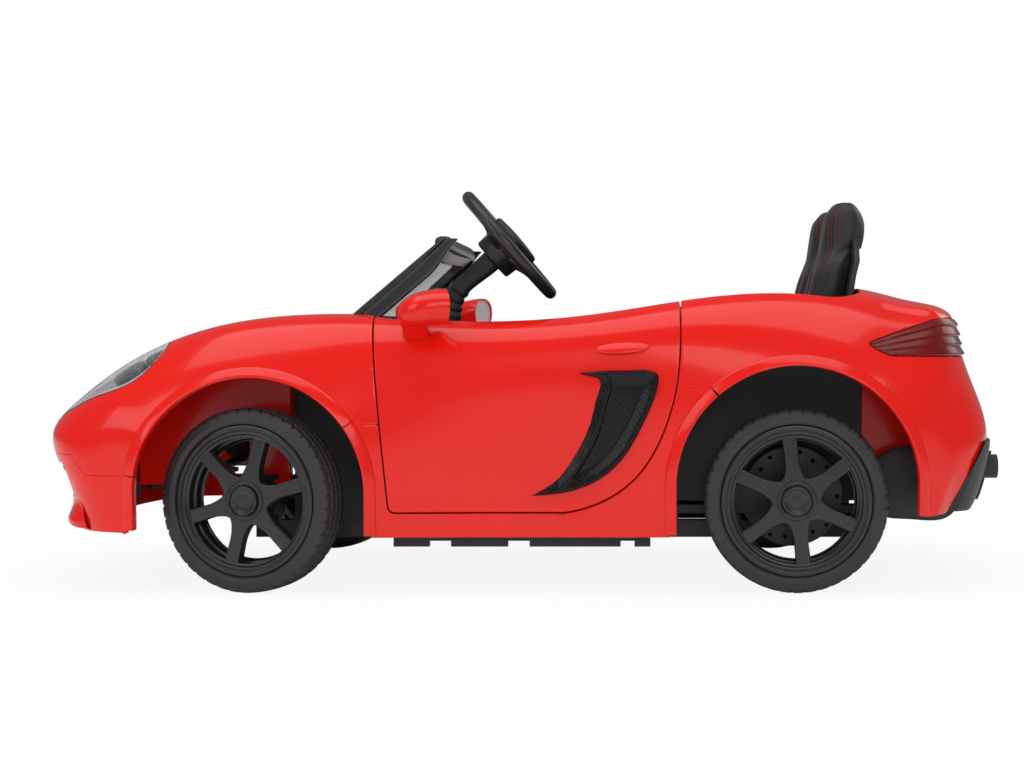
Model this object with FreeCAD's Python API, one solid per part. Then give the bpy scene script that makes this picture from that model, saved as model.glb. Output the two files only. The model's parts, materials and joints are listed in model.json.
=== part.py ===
import FreeCAD, Part
import math
import os

os.makedirs("parts", exist_ok=True)
V = FreeCAD.Vector

# Driving sizes in mm. X runs from the nose (-) to the tail (+), Y to the car's right, Z up from the ground.
BODY_LENGTH = 1354
BODY_WIDTH = 722
BODY_HEIGHT = 422
WALL = 3
SEAM = 0.3
DOOR_GAP = 3
FIT = 0.1
SEAT_GAP = 0.2

WHEELBASE = 738
FRONT_AXLE_X = -361
WHEEL_DIAMETER = 254
TYRE_WIDTH = 60
TYRE_DEPTH = 23
HALF_TRACK = 305
STEER_REST = -17
FRONT_SPOKE_PHASE = 16
REAR_SPOKE_PHASE = 36.5
FRONT_ARCH_MARGIN = 29
REAR_ARCH_MARGIN = 37
FRONT_ARCH_SHIFT = -8
FRONT_ARCH_RISE = 11
REAR_ARCH_RISE = 20
ARCH_LIP_WIDTH = 16
ARCH_LIP_HEIGHT = 3.5

HALF_LENGTH = BODY_LENGTH / 2
HALF_WIDTH = BODY_WIDTH / 2
WHEEL_R = WHEEL_DIAMETER / 2
AXLE_Z = WHEEL_R
REAR_AXLE_X = FRONT_AXLE_X + WHEELBASE
FRONT_ARCH_R = WHEEL_R + FRONT_ARCH_MARGIN
REAR_ARCH_R = WHEEL_R + REAR_ARCH_MARGIN
FRONT_ARCH_X = FRONT_AXLE_X + FRONT_ARCH_SHIFT
FRONT_ARCH_Z = AXLE_Z + FRONT_ARCH_RISE
REAR_ARCH_Z = AXLE_Z + REAR_ARCH_RISE
FAR = 2 * BODY_LENGTH

# Body surface: five lines along the car, each point as shares of half length, half width and body height.
# Centre line over nose, bonnet, deck and tail
CENTRE_shares = [
    (-0.945, 0.000, 0.201), (-0.972, 0.000, 0.355), (-1.000, 0.000, 0.514), (-0.968, 0.000, 0.592),
    (-0.827, 0.000, 0.723), (-0.650, 0.000, 0.818), (-0.458, 0.000, 0.870), (-0.318, 0.000, 0.886),
    (-0.089, 0.000, 0.891), (0.148, 0.000, 0.924), (0.355, 0.000, 0.972), (0.539, 0.000, 0.998),
    (0.724, 0.000, 1.000), (0.827, 0.000, 0.960), (0.911, 0.000, 0.915), (0.934, 0.000, 0.794),
    (0.981, 0.000, 0.509), (0.945, 0.000, 0.273),
]
# Line half way out to the wing crest
BONNET_shares = [
    (-0.941, 0.388, 0.201), (-0.968, 0.388, 0.355), (-0.996, 0.388, 0.517), (-0.960, 0.388, 0.595),
    (-0.827, 0.377, 0.725), (-0.650, 0.377, 0.820), (-0.458, 0.382, 0.870), (-0.318, 0.393, 0.889),
    (-0.089, 0.416, 0.889), (0.148, 0.416, 0.919), (0.355, 0.416, 0.969), (0.539, 0.404, 0.995),
    (0.716, 0.388, 0.995), (0.824, 0.377, 0.955), (0.904, 0.366, 0.910), (0.926, 0.366, 0.794),
    (0.976, 0.360, 0.507), (0.941, 0.355, 0.270),
]
# Crest of the wings and door tops
CREST_shares = [
    (-0.913, 0.715, 0.201), (-0.945, 0.715, 0.355), (-0.972, 0.715, 0.521), (-0.928, 0.715, 0.611),
    (-0.809, 0.709, 0.754), (-0.650, 0.726, 0.858), (-0.458, 0.742, 0.898), (-0.318, 0.781, 0.893),
    (-0.089, 0.823, 0.874), (0.148, 0.831, 0.896), (0.355, 0.820, 0.948), (0.539, 0.787, 0.976),
    (0.694, 0.753, 0.957), (0.805, 0.731, 0.919), (0.873, 0.715, 0.891), (0.900, 0.709, 0.787),
    (0.957, 0.698, 0.502), (0.919, 0.681, 0.265),
]
# Widest line of the sides
WAIST_shares = [
    (-0.854, 0.892, 0.201), (-0.871, 0.903, 0.344), (-0.869, 0.914, 0.464), (-0.820, 0.945, 0.526),
    (-0.727, 0.967, 0.564), (-0.613, 0.983, 0.581), (-0.465, 0.981, 0.585), (-0.318, 0.956, 0.588),
    (-0.089, 0.936, 0.588), (0.148, 0.939, 0.597), (0.355, 0.970, 0.621), (0.532, 1.000, 0.640),
    (0.672, 0.997, 0.645), (0.761, 0.975, 0.635), (0.820, 0.945, 0.611), (0.857, 0.911, 0.533),
    (0.892, 0.864, 0.403), (0.880, 0.820, 0.265),
]
# Lower edge
SKIRT_shares = [
    (-0.798, 0.942, 0.201), (-0.771, 0.950, 0.201), (-0.739, 0.956, 0.199), (-0.687, 0.964, 0.197),
    (-0.613, 0.972, 0.194), (-0.532, 0.978, 0.190), (-0.436, 0.970, 0.185), (-0.318, 0.945, 0.185),
    (-0.089, 0.922, 0.185), (0.148, 0.925, 0.185), (0.347, 0.947, 0.187), (0.502, 0.975, 0.194),
    (0.620, 0.981, 0.213), (0.702, 0.970, 0.235), (0.761, 0.956, 0.246), (0.805, 0.936, 0.251),
    (0.842, 0.909, 0.256), (0.857, 0.875, 0.258),
]
RIB_LINES = (CENTRE_shares, BONNET_shares, CREST_shares, WAIST_shares, SKIRT_shares)
ACROSS_shares = (0, 0.24, 0.45, 0.72, 1)
GRID_ALONG = 46
GRID_ACROSS = 25


def natural_spline(places, values):
    """Return a function for the natural cubic spline through (place, value) pairs."""
    count = len(places)
    steps = [places[i + 1] - places[i] for i in range(count - 1)]
    diagonal = [1] * count
    upper = [0] * count
    right = [0] * count
    for i in range(1, count - 1):
        slope_after = (values[i + 1] - values[i]) / steps[i]
        slope_before = (values[i] - values[i - 1]) / steps[i - 1]
        lower = steps[i - 1] / diagonal[i - 1]
        diagonal[i] = 2 * (steps[i - 1] + steps[i]) - lower * upper[i - 1]
        upper[i] = steps[i]
        right[i] = 6 * (slope_after - slope_before) - lower * right[i - 1]
    bend = [0] * count
    for i in range(count - 2, 0, -1):
        bend[i] = (right[i] - upper[i] * bend[i + 1]) / diagonal[i]

    def value_at(place):
        i = 0
        while i < count - 2 and place > places[i + 1]:
            i += 1
        step = steps[i]
        p = (places[i + 1] - place) / step
        q = (place - places[i]) / step
        curve = (p ** 3 - p) * bend[i] + (q ** 3 - q) * bend[i + 1]
        return p * values[i] + q * values[i + 1] + curve * step * step / 6

    return value_at


def scaled(point):
    return (point[0] * HALF_LENGTH, point[1] * HALF_WIDTH, point[2] * BODY_HEIGHT)


def spline3(places, points):
    axes = [natural_spline(places, [p[k] for p in points]) for k in range(3)]
    return lambda t: tuple(axis(t) for axis in axes)


crest_points = [scaled(p) for p in CREST_shares]
along = [0]
for first, second in zip(crest_points, crest_points[1:]):
    along.append(along[-1] + math.dist(first, second))
along = [a / along[-1] for a in along]
line_curves = [spline3(along, [scaled(p) for p in line]) for line in RIB_LINES]
across = [-a for a in ACROSS_shares[:0:-1]] + list(ACROSS_shares)


def surface_points():
    """Points of the body's outer face, in rows from the lower nose edge over the car to the lower tail edge."""
    rows = []
    for i in range(GRID_ALONG):
        half = [curve(i / (GRID_ALONG - 1)) for curve in line_curves]
        full = [(x, -y, z) for x, y, z in half[:0:-1]] + half
        rib = spline3(across, full)
        rows.append([V(*rib(2 * j / (GRID_ACROSS - 1) - 1)) for j in range(GRID_ACROSS)])
    return rows


BODY_POINTS = surface_points()


def offset_surface(offset):
    """The body face moved outwards by an offset along its normals."""
    rows = []
    for i in range(GRID_ALONG):
        row = []
        for j in range(GRID_ACROSS):
            ahead = BODY_POINTS[min(i + 1, GRID_ALONG - 1)][j] - BODY_POINTS[max(i - 1, 0)][j]
            aside = BODY_POINTS[i][min(j + 1, GRID_ACROSS - 1)] - BODY_POINTS[i][max(j - 1, 0)]
            normal = ahead.cross(aside)
            normal.normalize()
            row.append(BODY_POINTS[i][j] + normal * offset)
        rows.append(row)
    surface = Part.BSplineSurface()
    surface.interpolate(rows)
    return surface


def borders(surface):
    u0, u1, v0, v1 = surface.bounds()
    curves = (surface.uIso(u0), surface.uIso(u1), surface.vIso(v0), surface.vIso(v1))
    return [curve.toShape() for curve in curves]


def body_layer(outer, inner):
    """Solid layer between two offsets of the body face."""
    top = offset_surface(outer)
    under = offset_surface(inner)
    faces = [top.toShape(), under.toShape()]
    for one, other in zip(borders(top), borders(under)):
        faces.append(Part.makeRuledSurface(one, other))
    sewn = Part.Compound(faces)
    sewn.sewShape()
    solid = Part.Solid(sewn.Shells[0])
    if solid.Volume < 0:
        solid.reverse()
    return solid


def box(x0, x1, y0, y1, z0, z1):
    return Part.makeBox(x1 - x0, y1 - y0, z1 - z0, V(x0, y0, z0))


def cylinder(radius, start, end):
    line = end - start
    return Part.makeCylinder(radius, line.Length, start, line)


ROUND_REACH_share = 0.45


def outline_at(shares, middle, span):
    """Points of an outline given as shares of one span about its middle."""
    return [(middle[0] + a * span, middle[1] + b * span) for a, b in shares]


def rounded_wire(points, radius):
    """Closed wire through corner points, every corner rounded by up to one radius."""
    count = len(points)
    edges = []
    joins = []
    for i in range(count):
        corner = points[i]
        before = points[i - 1] - corner
        after = points[(i + 1) % count] - corner
        half = before.getAngle(after) / 2
        cut = min(radius / math.tan(half), before.Length * ROUND_REACH_share,
                  after.Length * ROUND_REACH_share)
        real = cut * math.tan(half)
        one = corner + V(before).normalize() * cut
        two = corner + V(after).normalize() * cut
        middle = V(before).normalize() + V(after).normalize()
        middle.normalize()
        top = corner + middle * (real / math.sin(half) - real)
        joins.append((one, top, two))
    for i in range(count):
        one, top, two = joins[i]
        if radius > 0:
            edges.append(Part.Arc(one, top, two).toShape())
        following = joins[(i + 1) % count][0]
        if (following - two).Length > SEAM / 100:
            edges.append(Part.makeLine(two, following))
    return Part.Wire(edges)


def sharp_wire(points):
    return Part.makePolygon(points + points[:1])


def prism_xz(points, y0, y1, radius=0):
    corners = [V(x, y0, z) for x, z in points]
    wire = rounded_wire(corners, radius) if radius else sharp_wire(corners)
    return Part.Face(wire).extrude(V(0, y1 - y0, 0))


def prism_xy(points, z0, z1, radius=0):
    corners = [V(x, y, z0) for x, y in points]
    wire = rounded_wire(corners, radius) if radius else sharp_wire(corners)
    return Part.Face(wire).extrude(V(0, 0, z1 - z0))


def prism_yz(points, x0, x1, radius=0):
    corners = [V(x0, y, z) for y, z in points]
    wire = rounded_wire(corners, radius) if radius else sharp_wire(corners)
    return Part.Face(wire).extrude(V(x1 - x0, 0, 0))


def curve_wire(points):
    """Closed smooth wire through points."""
    curve = Part.BSplineCurve()
    curve.interpolate(points, PeriodicFlag=True)
    return Part.Wire(curve.toShape())


def mirrored(shape):
    return shape.mirror(V(0, 0, 0), V(0, 1, 0))


def joined(shapes):
    whole = shapes[0].multiFuse(shapes[1:])
    return whole.removeSplitter()


def keep(name, shape):
    """Write one node."""
    solids = shape.Solids
    whole = solids[0] if len(solids) == 1 else Part.Compound(solids)
    whole.exportStep("parts/" + name + ".step")


def largest(shape, count=1):
    ordered = sorted(shape.Solids, key=lambda s: -s.Volume)
    return ordered[0] if count == 1 else Part.Compound(ordered[:count])


OUTER_FACE = offset_surface(0).toShape()


def side_y(x, z):
    """Half width of the body face at a place on its side."""
    line = Part.makeLine(V(x, HALF_WIDTH / 2, z), V(x, 2 * HALF_WIDTH, z))
    return OUTER_FACE.distToShape(line)[1][0][0].y


def top_z(x, y):
    """Height of the body face over a place in plan."""
    line = Part.makeLine(V(x, y, BODY_HEIGHT / 2), V(x, y, 2 * BODY_HEIGHT))
    return OUTER_FACE.distToShape(line)[1][0][0].z

# Red body: seams in the side view and openings.
DOOR_FRONT_TOP_X = -203
DOOR_FRONT_LOW_X = -180
DOOR_LOW_Z = 111
DOOR_FLAT_X = 60
DOOR_CURVE_X = 150
DOOR_CURVE_Z = 152
DOOR_BACK_X = 201
DOOR_BACK_Z = 238
DOOR_REAR_X = 213
DOOR_REAR_Z = 285
DOOR_TOP_X = 218
DOOR_CORNER_R = 10
SWEEP_POINTS = 12
DOOR_OVER = 30
DOOR_OVER_Z = BODY_HEIGHT + DOOR_OVER
SILL_FRONT_Z = 232
SILL_REAR_Z = 277
SILL_REACH = 300
BUMPER_Z = 162
BUMPER_NOSE_Z = 190
BUMPER_STEP_X = -597
BUMPER_STEP_RUN = 24
COCKPIT_FRONT_X = -228
COCKPIT_REAR_X = 474
COCKPIT_HALF = 284
COCKPIT_CORNER_R = 60
COCKPIT_LOW_Z = 340
TAIL_TOP_X = 643
TAIL_TOP_Z = 206
TAIL_LOW_X = 587
TAIL_LOW_Z = 113


def arch_hole(x, z, radius, grow):
    """Wheel opening right across the car: a round top with straight sides below."""
    r = radius + grow
    round_top = cylinder(r, V(x, -FAR, z), V(x, FAR, z))
    return round_top.fuse(box(x - r, x + r, -FAR, FAR, -BODY_HEIGHT, z))


def door_wire(grow):
    """Door outline in the side view, grown or shrunk."""
    top_front = V(DOOR_FRONT_TOP_X, 0, COCKPIT_LOW_Z)
    low_front = V(DOOR_FRONT_LOW_X, 0, DOOR_LOW_Z)
    down = V(low_front - top_front).normalize()
    shift = V(down.z, 0, -down.x) * grow
    low_z = DOOR_LOW_Z - grow
    start = top_front + shift + down * ((top_front.z + shift.z - DOOR_OVER_Z) / -down.z)
    start = V(start.x, 0, DOOR_OVER_Z)
    run = (low_z - start.z) / down.z
    low = start + down * run
    radius = DOOR_CORNER_R + grow
    corner_start = low - down * radius
    corner_end = low + V(radius, 0, 0)
    middle = V(corner_start + corner_end - low * 2).normalize()
    corner_mid = low + middle * (radius * (math.sqrt(2) - 1))
    base = [V(DOOR_FLAT_X, 0, DOOR_LOW_Z), V(DOOR_CURVE_X, 0, DOOR_CURVE_Z), V(DOOR_BACK_X, 0, DOOR_BACK_Z)]
    base += [V(DOOR_REAR_X, 0, DOOR_REAR_Z), V(DOOR_TOP_X, 0, BODY_HEIGHT)]
    sweep = Part.BSplineCurve()
    sweep.interpolate(base, InitialTangent=V(1, 0, 0), FinalTangent=V(0, 0, 1))
    points = []
    for i in range(SWEEP_POINTS):
        place = sweep.FirstParameter + (sweep.LastParameter - sweep.FirstParameter) * i / (SWEEP_POINTS - 1)
        way = sweep.tangent(place)[0]
        points.append(sweep.value(place) + V(way.z, 0, -way.x) * grow)
    moved = Part.BSplineCurve()
    moved.interpolate(points, InitialTangent=V(1, 0, 0), FinalTangent=V(0, 0, 1))
    over = V(points[-1].x, 0, DOOR_OVER_Z)
    edges = [Part.makeLine(start, corner_start), Part.Arc(corner_start, corner_mid, corner_end).toShape()]
    edges += [Part.makeLine(corner_end, points[0]), moved.toShape(), Part.makeLine(points[-1], over)]
    edges.append(Part.makeLine(over, start))
    return Part.Wire(edges)


def door_prism(grow, side):
    """Door outline carried through the left (-1) or right (1) side of the car."""
    face = Part.Face(door_wire(grow))
    return face.extrude(V(0, side * FAR, 0))


SILL_POINTS = [(-SILL_REACH, 0), (-SILL_REACH, SILL_FRONT_Z), (0, SILL_FRONT_Z)]
SILL_POINTS += [(0, SILL_REAR_Z), (SILL_REACH, SILL_REAR_Z), (SILL_REACH, 0)]
BUMPER_TOP = [(FRONT_ARCH_X, 0), (FRONT_ARCH_X, BUMPER_Z), (BUMPER_STEP_X, BUMPER_Z)]
BUMPER_TOP += [(BUMPER_STEP_X - BUMPER_STEP_RUN, BUMPER_NOSE_Z), (-BODY_LENGTH, BUMPER_NOSE_Z),
               (-BODY_LENGTH, 0)]
TAIL_SLOPE = (TAIL_TOP_X - TAIL_LOW_X) / (TAIL_TOP_Z - TAIL_LOW_Z)
TAIL_POINTS = [(TAIL_LOW_X - TAIL_SLOPE * TAIL_LOW_Z, 0), (TAIL_TOP_X, TAIL_TOP_Z)]
TAIL_POINTS += [(BODY_LENGTH, TAIL_TOP_Z), (BODY_LENGTH, 0)]


def seam_prism(points, grow):
    wire = sharp_wire([V(x, -FAR, z) for x, z in points])
    wire = wire.makeOffset2D(grow, 2) if grow else wire
    return Part.Face(wire).extrude(V(0, 2 * FAR, 0))


SKIN = body_layer(0, -WALL)
LIP = body_layer(ARCH_LIP_HEIGHT, -WALL)
CLEAR = body_layer(WALL, -WALL - SEAT_GAP)

front_arch = arch_hole(FRONT_ARCH_X, FRONT_ARCH_Z, FRONT_ARCH_R, 0)
rear_arch = arch_hole(REAR_AXLE_X, REAR_ARCH_Z, REAR_ARCH_R, 0)
front_band = arch_hole(FRONT_ARCH_X, FRONT_ARCH_Z, FRONT_ARCH_R, ARCH_LIP_WIDTH)
rear_band = arch_hole(REAR_AXLE_X, REAR_ARCH_Z, REAR_ARCH_R, ARCH_LIP_WIDTH)
cockpit_corners = [(COCKPIT_FRONT_X, -COCKPIT_HALF), (COCKPIT_REAR_X, -COCKPIT_HALF)]
cockpit_corners += [(COCKPIT_REAR_X, COCKPIT_HALF), (COCKPIT_FRONT_X, COCKPIT_HALF)]
cockpit_hole = prism_xy(cockpit_corners, COCKPIT_LOW_Z, 2 * BODY_HEIGHT, COCKPIT_CORNER_R)
lips = LIP.common(front_band.fuse(rear_band))
body = SKIN.fuse(lips).cut(front_arch).cut(rear_arch).cut(cockpit_hole)

# Lights: outlines and depths.
HEADLIGHT_MIDDLE = (-568, 255)
HEADLIGHT_SPAN = 200
HEADLIGHT_OUTER_shares = [(-0.36, 0.035), (-0.175, 0.185), (-0.02, 0.26), (0.125, 0.29), (0.255, 0.255),
                          (0.345, 0.165)]
HEADLIGHT_OUTER = outline_at(HEADLIGHT_OUTER_shares, HEADLIGHT_MIDDLE, HEADLIGHT_SPAN)
HEADLIGHT_INNER_shares = [(0.37, 0.035), (0.3, -0.15), (0.14, -0.275), (-0.06, -0.29), (-0.25, -0.215),
                          (-0.37, -0.085)]
HEADLIGHT_INNER = outline_at(HEADLIGHT_INNER_shares, HEADLIGHT_MIDDLE, HEADLIGHT_SPAN)
HEADLIGHT_LOW_Z = 229
LENS_THICKNESS = 2.4
LENS_PROUD = 0.4
LAMP_DEPTH = 26
LAMP_RIM = 4
LAMP_WALL = 2
PROJECTOR_R = 17
PROJECTOR_PLACES_shares = [(-0.11, -0.015), (0.115, 0.015)]
PROJECTOR_PLACES = outline_at(PROJECTOR_PLACES_shares, HEADLIGHT_MIDDLE, HEADLIGHT_SPAN)
TAILLIGHT_MIDDLE = (600, 355)
TAILLIGHT_SPAN = 250
TAILLIGHT_shares = [(-0.512, -0.048), (-0.32, 0.02), (-0.08, 0.096), (-0.008, 0.092), (0.4, 0.092),
                    (0.4, -0.096), (-0.04, -0.096), (-0.4, -0.092)]
TAILLIGHT = outline_at(TAILLIGHT_shares, TAILLIGHT_MIDDLE, TAILLIGHT_SPAN)
TAILLIGHT_INNER_Y = 150
TAILLIGHT_RIB = 7
TAILLIGHT_RIB_CUT = 1.5


def headlight_prism(grow):
    points = [V(x, y, HEADLIGHT_LOW_Z) for x, y in HEADLIGHT_OUTER + HEADLIGHT_INNER]
    middle = V(0, 0, 0)
    for p in points:
        middle += p / len(points)
    moved = [p + (p - middle).normalize() * grow for p in points]
    return Part.Face(curve_wire(moved)).extrude(V(0, 0, FAR))


def taillight_prism(grow):
    corners = [V(x, TAILLIGHT_INNER_Y - grow, z) for x, z in TAILLIGHT]
    wire = rounded_wire(corners, WALL)
    wire = wire.makeOffset2D(grow) if grow else wire
    return Part.Face(wire).extrude(V(0, FAR, 0))


def both_sides(shape):
    return Part.Compound([shape, mirrored(shape)])


headlight_hole = headlight_prism(SEAM)
taillight_hole = taillight_prism(SEAM)
for hole in (headlight_hole, taillight_hole):
    body = body.cut(both_sides(hole))

lens_layer = body_layer(LENS_PROUD, LENS_PROUD - LENS_THICKNESS)
head_lens = lens_layer.common(headlight_prism(0))
keep("headlight_lenses", both_sides(head_lens))

bowl_out = body_layer(-WALL - SEAT_GAP, -LAMP_DEPTH).common(headlight_prism(LAMP_RIM))
bowl_in = body_layer(WALL, LAMP_WALL - LAMP_DEPTH).common(headlight_prism(-LAMP_WALL))
bowl = bowl_out.cut(bowl_in)
for lamp_x, lamp_y in PROJECTOR_PLACES:
    lamp_top = top_z(lamp_x, lamp_y)
    floor = V(lamp_x, lamp_y, lamp_top - LAMP_DEPTH - LAMP_RIM)
    lamp = cylinder(PROJECTOR_R, floor, V(lamp_x, lamp_y, lamp_top))
    lamp = lamp.common(body_layer(-2 * LENS_THICKNESS, -LAMP_DEPTH).common(headlight_prism(-LAMP_WALL)))
    bowl = bowl.fuse(lamp)
keep("headlight_reflectors", both_sides(largest(bowl)))

tail_lens = lens_layer.common(taillight_prism(0))
rib_layer = body_layer(WALL, LENS_PROUD - TAILLIGHT_RIB_CUT)
rib_count = int((TAILLIGHT[2][1] - TAILLIGHT[5][1]) / TAILLIGHT_RIB)
for i in range(1, rib_count):
    rib_z = TAILLIGHT[5][1] + i * TAILLIGHT_RIB
    groove = box(0, FAR, 0, FAR, rib_z, rib_z + TAILLIGHT_RIB / 3)
    tail_lens = tail_lens.cut(groove.common(rib_layer))
keep("taillight_lenses", both_sides(largest(tail_lens)))

# Front intakes and their grille.
CENTRE_INTAKE_MIDDLE = (0, 130)
CENTRE_INTAKE_SPAN = 250
CENTRE_INTAKE_shares = [(-0.512, 0.112), (0.512, 0.112), (0.416, -0.112), (-0.416, -0.112)]
CENTRE_INTAKE = outline_at(CENTRE_INTAKE_shares, CENTRE_INTAKE_MIDDLE, CENTRE_INTAKE_SPAN)
SIDE_INTAKE_MIDDLE = (236, 144)
SIDE_INTAKE_SPAN = 125
SIDE_INTAKE_shares = [(-0.512, 0.208), (0.448, 0.272), (0.384, -0.224), (-0.32, -0.272)]
SIDE_INTAKE = outline_at(SIDE_INTAKE_shares, SIDE_INTAKE_MIDDLE, SIDE_INTAKE_SPAN)
INTAKE_R = 9
INTAKE_DEEP_X = -540
GRILLE_RIM = 6
GRILLE_DEPTH = 9
GRILLE_BAR = 5
GRILLE_PITCH = 11


def intake(points, grow):
    wire = rounded_wire([V(-FAR, y, z) for y, z in points], INTAKE_R)
    wire = wire.makeOffset2D(grow) if grow else wire
    return Part.Face(wire).extrude(V(FAR + INTAKE_DEEP_X, 0, 0))


intakes = [intake(CENTRE_INTAKE, 0), intake(SIDE_INTAKE, 0), mirrored(intake(SIDE_INTAKE, 0))]
grille_ends = [intake(CENTRE_INTAKE, GRILLE_RIM), intake(SIDE_INTAKE, GRILLE_RIM)]
grille_ends.append(mirrored(grille_ends[1]))
grille_layer = body_layer(-WALL - SEAT_GAP, -WALL - GRILLE_DEPTH)
slots = []
for points in (CENTRE_INTAKE, SIDE_INTAKE):
    heights = [z for y, z in points]
    slot_z = min(heights) + GRILLE_BAR
    while slot_z < max(heights) - GRILLE_BAR:
        slots.append(box(-FAR, INTAKE_DEEP_X, -HALF_WIDTH, HALF_WIDTH, slot_z,
                         slot_z + GRILLE_PITCH - GRILLE_BAR))
        slot_z += GRILLE_PITCH
    slots.append(None)
centre_slots = Part.Compound(slots[:slots.index(None)])
side_slots = Part.Compound([s for s in slots[slots.index(None) + 1:] if s])
pieces = []
for hole, rim, cuts in zip(intakes, grille_ends, (centre_slots, side_slots, side_slots)):
    inner = hole.common(cuts)
    pieces.append(largest(grille_layer.common(rim).cut(inner)))
keep("front_grille", Part.Compound(pieces))

# Fixed red panels.
INNER_WALL_Y = 216
INNER_WALL_FRONT_X = -548
INNER_WALL_REAR_X = -333
INNER_WALL_LOW_Z = 142
ROD_GAP_FRONT_X = -450
ROD_GAP_REAR_X = -390
ROD_GAP_TOP_Z = 217
bumper_zone = seam_prism(BUMPER_TOP, 0)
bumper_zone_big = seam_prism(BUMPER_TOP, SEAM)
sill_zone = seam_prism(SILL_POINTS, 0)
sill_zone_big = seam_prism(SILL_POINTS, SEAM)
tail_zone_big = seam_prism(TAIL_POINTS, SEAM)
doors_big = door_prism(DOOR_GAP / 2, 1).fuse(door_prism(DOOR_GAP / 2, -1))
front_half = box(-FAR, 0, -FAR, FAR, -FAR, FAR)
rear_half = box(0, FAR, -FAR, FAR, -FAR, FAR)


def inner_walls():
    """Red walls beside the front wheels, hung from the skin, open round the tie rod."""
    middle = INNER_WALL_Y + WALL / 2
    top = []
    for i in range(SWEEP_POINTS):
        x = INNER_WALL_FRONT_X + (INNER_WALL_REAR_X - INNER_WALL_FRONT_X) * i / (SWEEP_POINTS - 1)
        top.append((x, top_z(x, middle) - WALL / 2))
    outline = [(INNER_WALL_FRONT_X, INNER_WALL_LOW_Z)] + top + [(INNER_WALL_REAR_X, INNER_WALL_LOW_Z)]
    wall = prism_xz(outline, INNER_WALL_Y, INNER_WALL_Y + WALL)
    rod_gap = box(ROD_GAP_FRONT_X, ROD_GAP_REAR_X, 0, FAR, 0, ROD_GAP_TOP_Z)
    lamp_gap = body_layer(WALL, -LAMP_DEPTH - WALL).common(headlight_prism(LAMP_RIM + DOOR_GAP))
    wall = largest(wall.cut(rod_gap).cut(lamp_gap))
    return both_sides(wall)


fixed = body.cut(doors_big)
front_bumper = largest(fixed.common(bumper_zone).cut(Part.Compound(intakes)))
keep("front_bumper", front_bumper)
front_shell = largest(fixed.common(front_half).cut(bumper_zone_big).cut(sill_zone_big).cut(Part.Compound(intakes)))
front_shell = front_shell.fuse(inner_walls()).removeSplitter()
rear_shell = largest(fixed.common(rear_half).cut(sill_zone_big).cut(tail_zone_big))
sills = fixed.common(sill_zone)
left_sill = largest(sills.common(box(-FAR, FAR, -FAR, 0, -FAR, FAR)))
right_sill = largest(sills.common(box(-FAR, FAR, 0, FAR, -FAR, FAR)))
keep("left_sill", left_sill)
keep("right_sill", right_sill)
keep("front_shell", front_shell)
keep("rear_shell", rear_shell)

# Rear diffuser with fins and two exhaust ends.
DIFFUSER_PROUD = 5
DIFFUSER_DEPTH = 6
FIN_COUNT = 6
FIN_THICKNESS = 5
FIN_SPREAD = 150
FIN_PROUD = 14.5
FIN_LOW_Z = 116
FIN_HIGH_Z = 186
EXHAUST_R = 17
EXHAUST_WALL = 3
EXHAUST_Y = 185
EXHAUST_Z = 166
EXHAUST_END_X = 674
EXHAUST_START_X = 630
DIFFUSER_HALF = 300

tail_zone = seam_prism(TAIL_POINTS, 0)
wide = box(0, FAR, -DIFFUSER_HALF, DIFFUSER_HALF, -FAR, FAR)
diffuser = body_layer(DIFFUSER_PROUD, -DIFFUSER_DEPTH).common(tail_zone).common(wide)
fin_layer = body_layer(FIN_PROUD, -1).common(tail_zone)
exhausts = []
for i in range(FIN_COUNT):
    y = FIN_SPREAD * (2 * i / (FIN_COUNT - 1) - 1)
    fin = box(0, FAR, y - FIN_THICKNESS / 2, y + FIN_THICKNESS / 2, FIN_LOW_Z, FIN_HIGH_Z)
    diffuser = diffuser.fuse(fin_layer.common(fin))
for side in (-1, 1):
    start = V(EXHAUST_START_X, side * EXHAUST_Y, EXHAUST_Z)
    end = V(EXHAUST_END_X, side * EXHAUST_Y, EXHAUST_Z)
    diffuser = diffuser.fuse(cylinder(EXHAUST_R, start, end))
    exhausts.append(cylinder(EXHAUST_R - EXHAUST_WALL, start + V(EXHAUST_WALL, 0, 0),
                             end + V(EXHAUST_R, 0, 0)))
diffuser = diffuser.cut(Part.Compound(exhausts))
keep("rear_diffuser", largest(diffuser))

# Frame: two lower rails with a raised rear truss, and two crossmembers.
RAIL_Y = 190
RAIL_WIDTH = 28
RAIL_LOW_Z = 66
RAIL_HEIGHT = 24
RAIL_FRONT_REACH = 24
RAIL_FRONT_X = FRONT_AXLE_X - RAIL_FRONT_REACH
RAIL_REAR_REACH = 110
RAIL_REAR_X = REAR_AXLE_X + RAIL_REAR_REACH
TRUSS_REACH = 172
TRUSS_FRONT_X = REAR_AXLE_X - TRUSS_REACH
TRUSS_Z = 100
TRUSS_HEIGHT = 12
TRUSS_POST = 12
RAIL_TOP_Z = RAIL_LOW_Z + RAIL_HEIGHT
TRUSS_TOP_Z = TRUSS_Z + TRUSS_HEIGHT


def rail():
    y0 = RAIL_Y - RAIL_WIDTH / 2
    y1 = RAIL_Y + RAIL_WIDTH / 2
    bars = [box(RAIL_FRONT_X, RAIL_REAR_X, y0, y1, RAIL_LOW_Z, RAIL_TOP_Z)]
    bars.append(box(TRUSS_FRONT_X, RAIL_REAR_X, y0, y1, TRUSS_Z, TRUSS_TOP_Z))
    post_count = 4
    span = (RAIL_REAR_X - TRUSS_FRONT_X - TRUSS_POST) / (post_count - 1)
    for i in range(post_count):
        x = TRUSS_FRONT_X + i * span
        bars.append(box(x, x + TRUSS_POST, y0, y1, RAIL_TOP_Z, TRUSS_Z))
    return joined(bars)


keep("frame_rails", both_sides(rail()))

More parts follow.
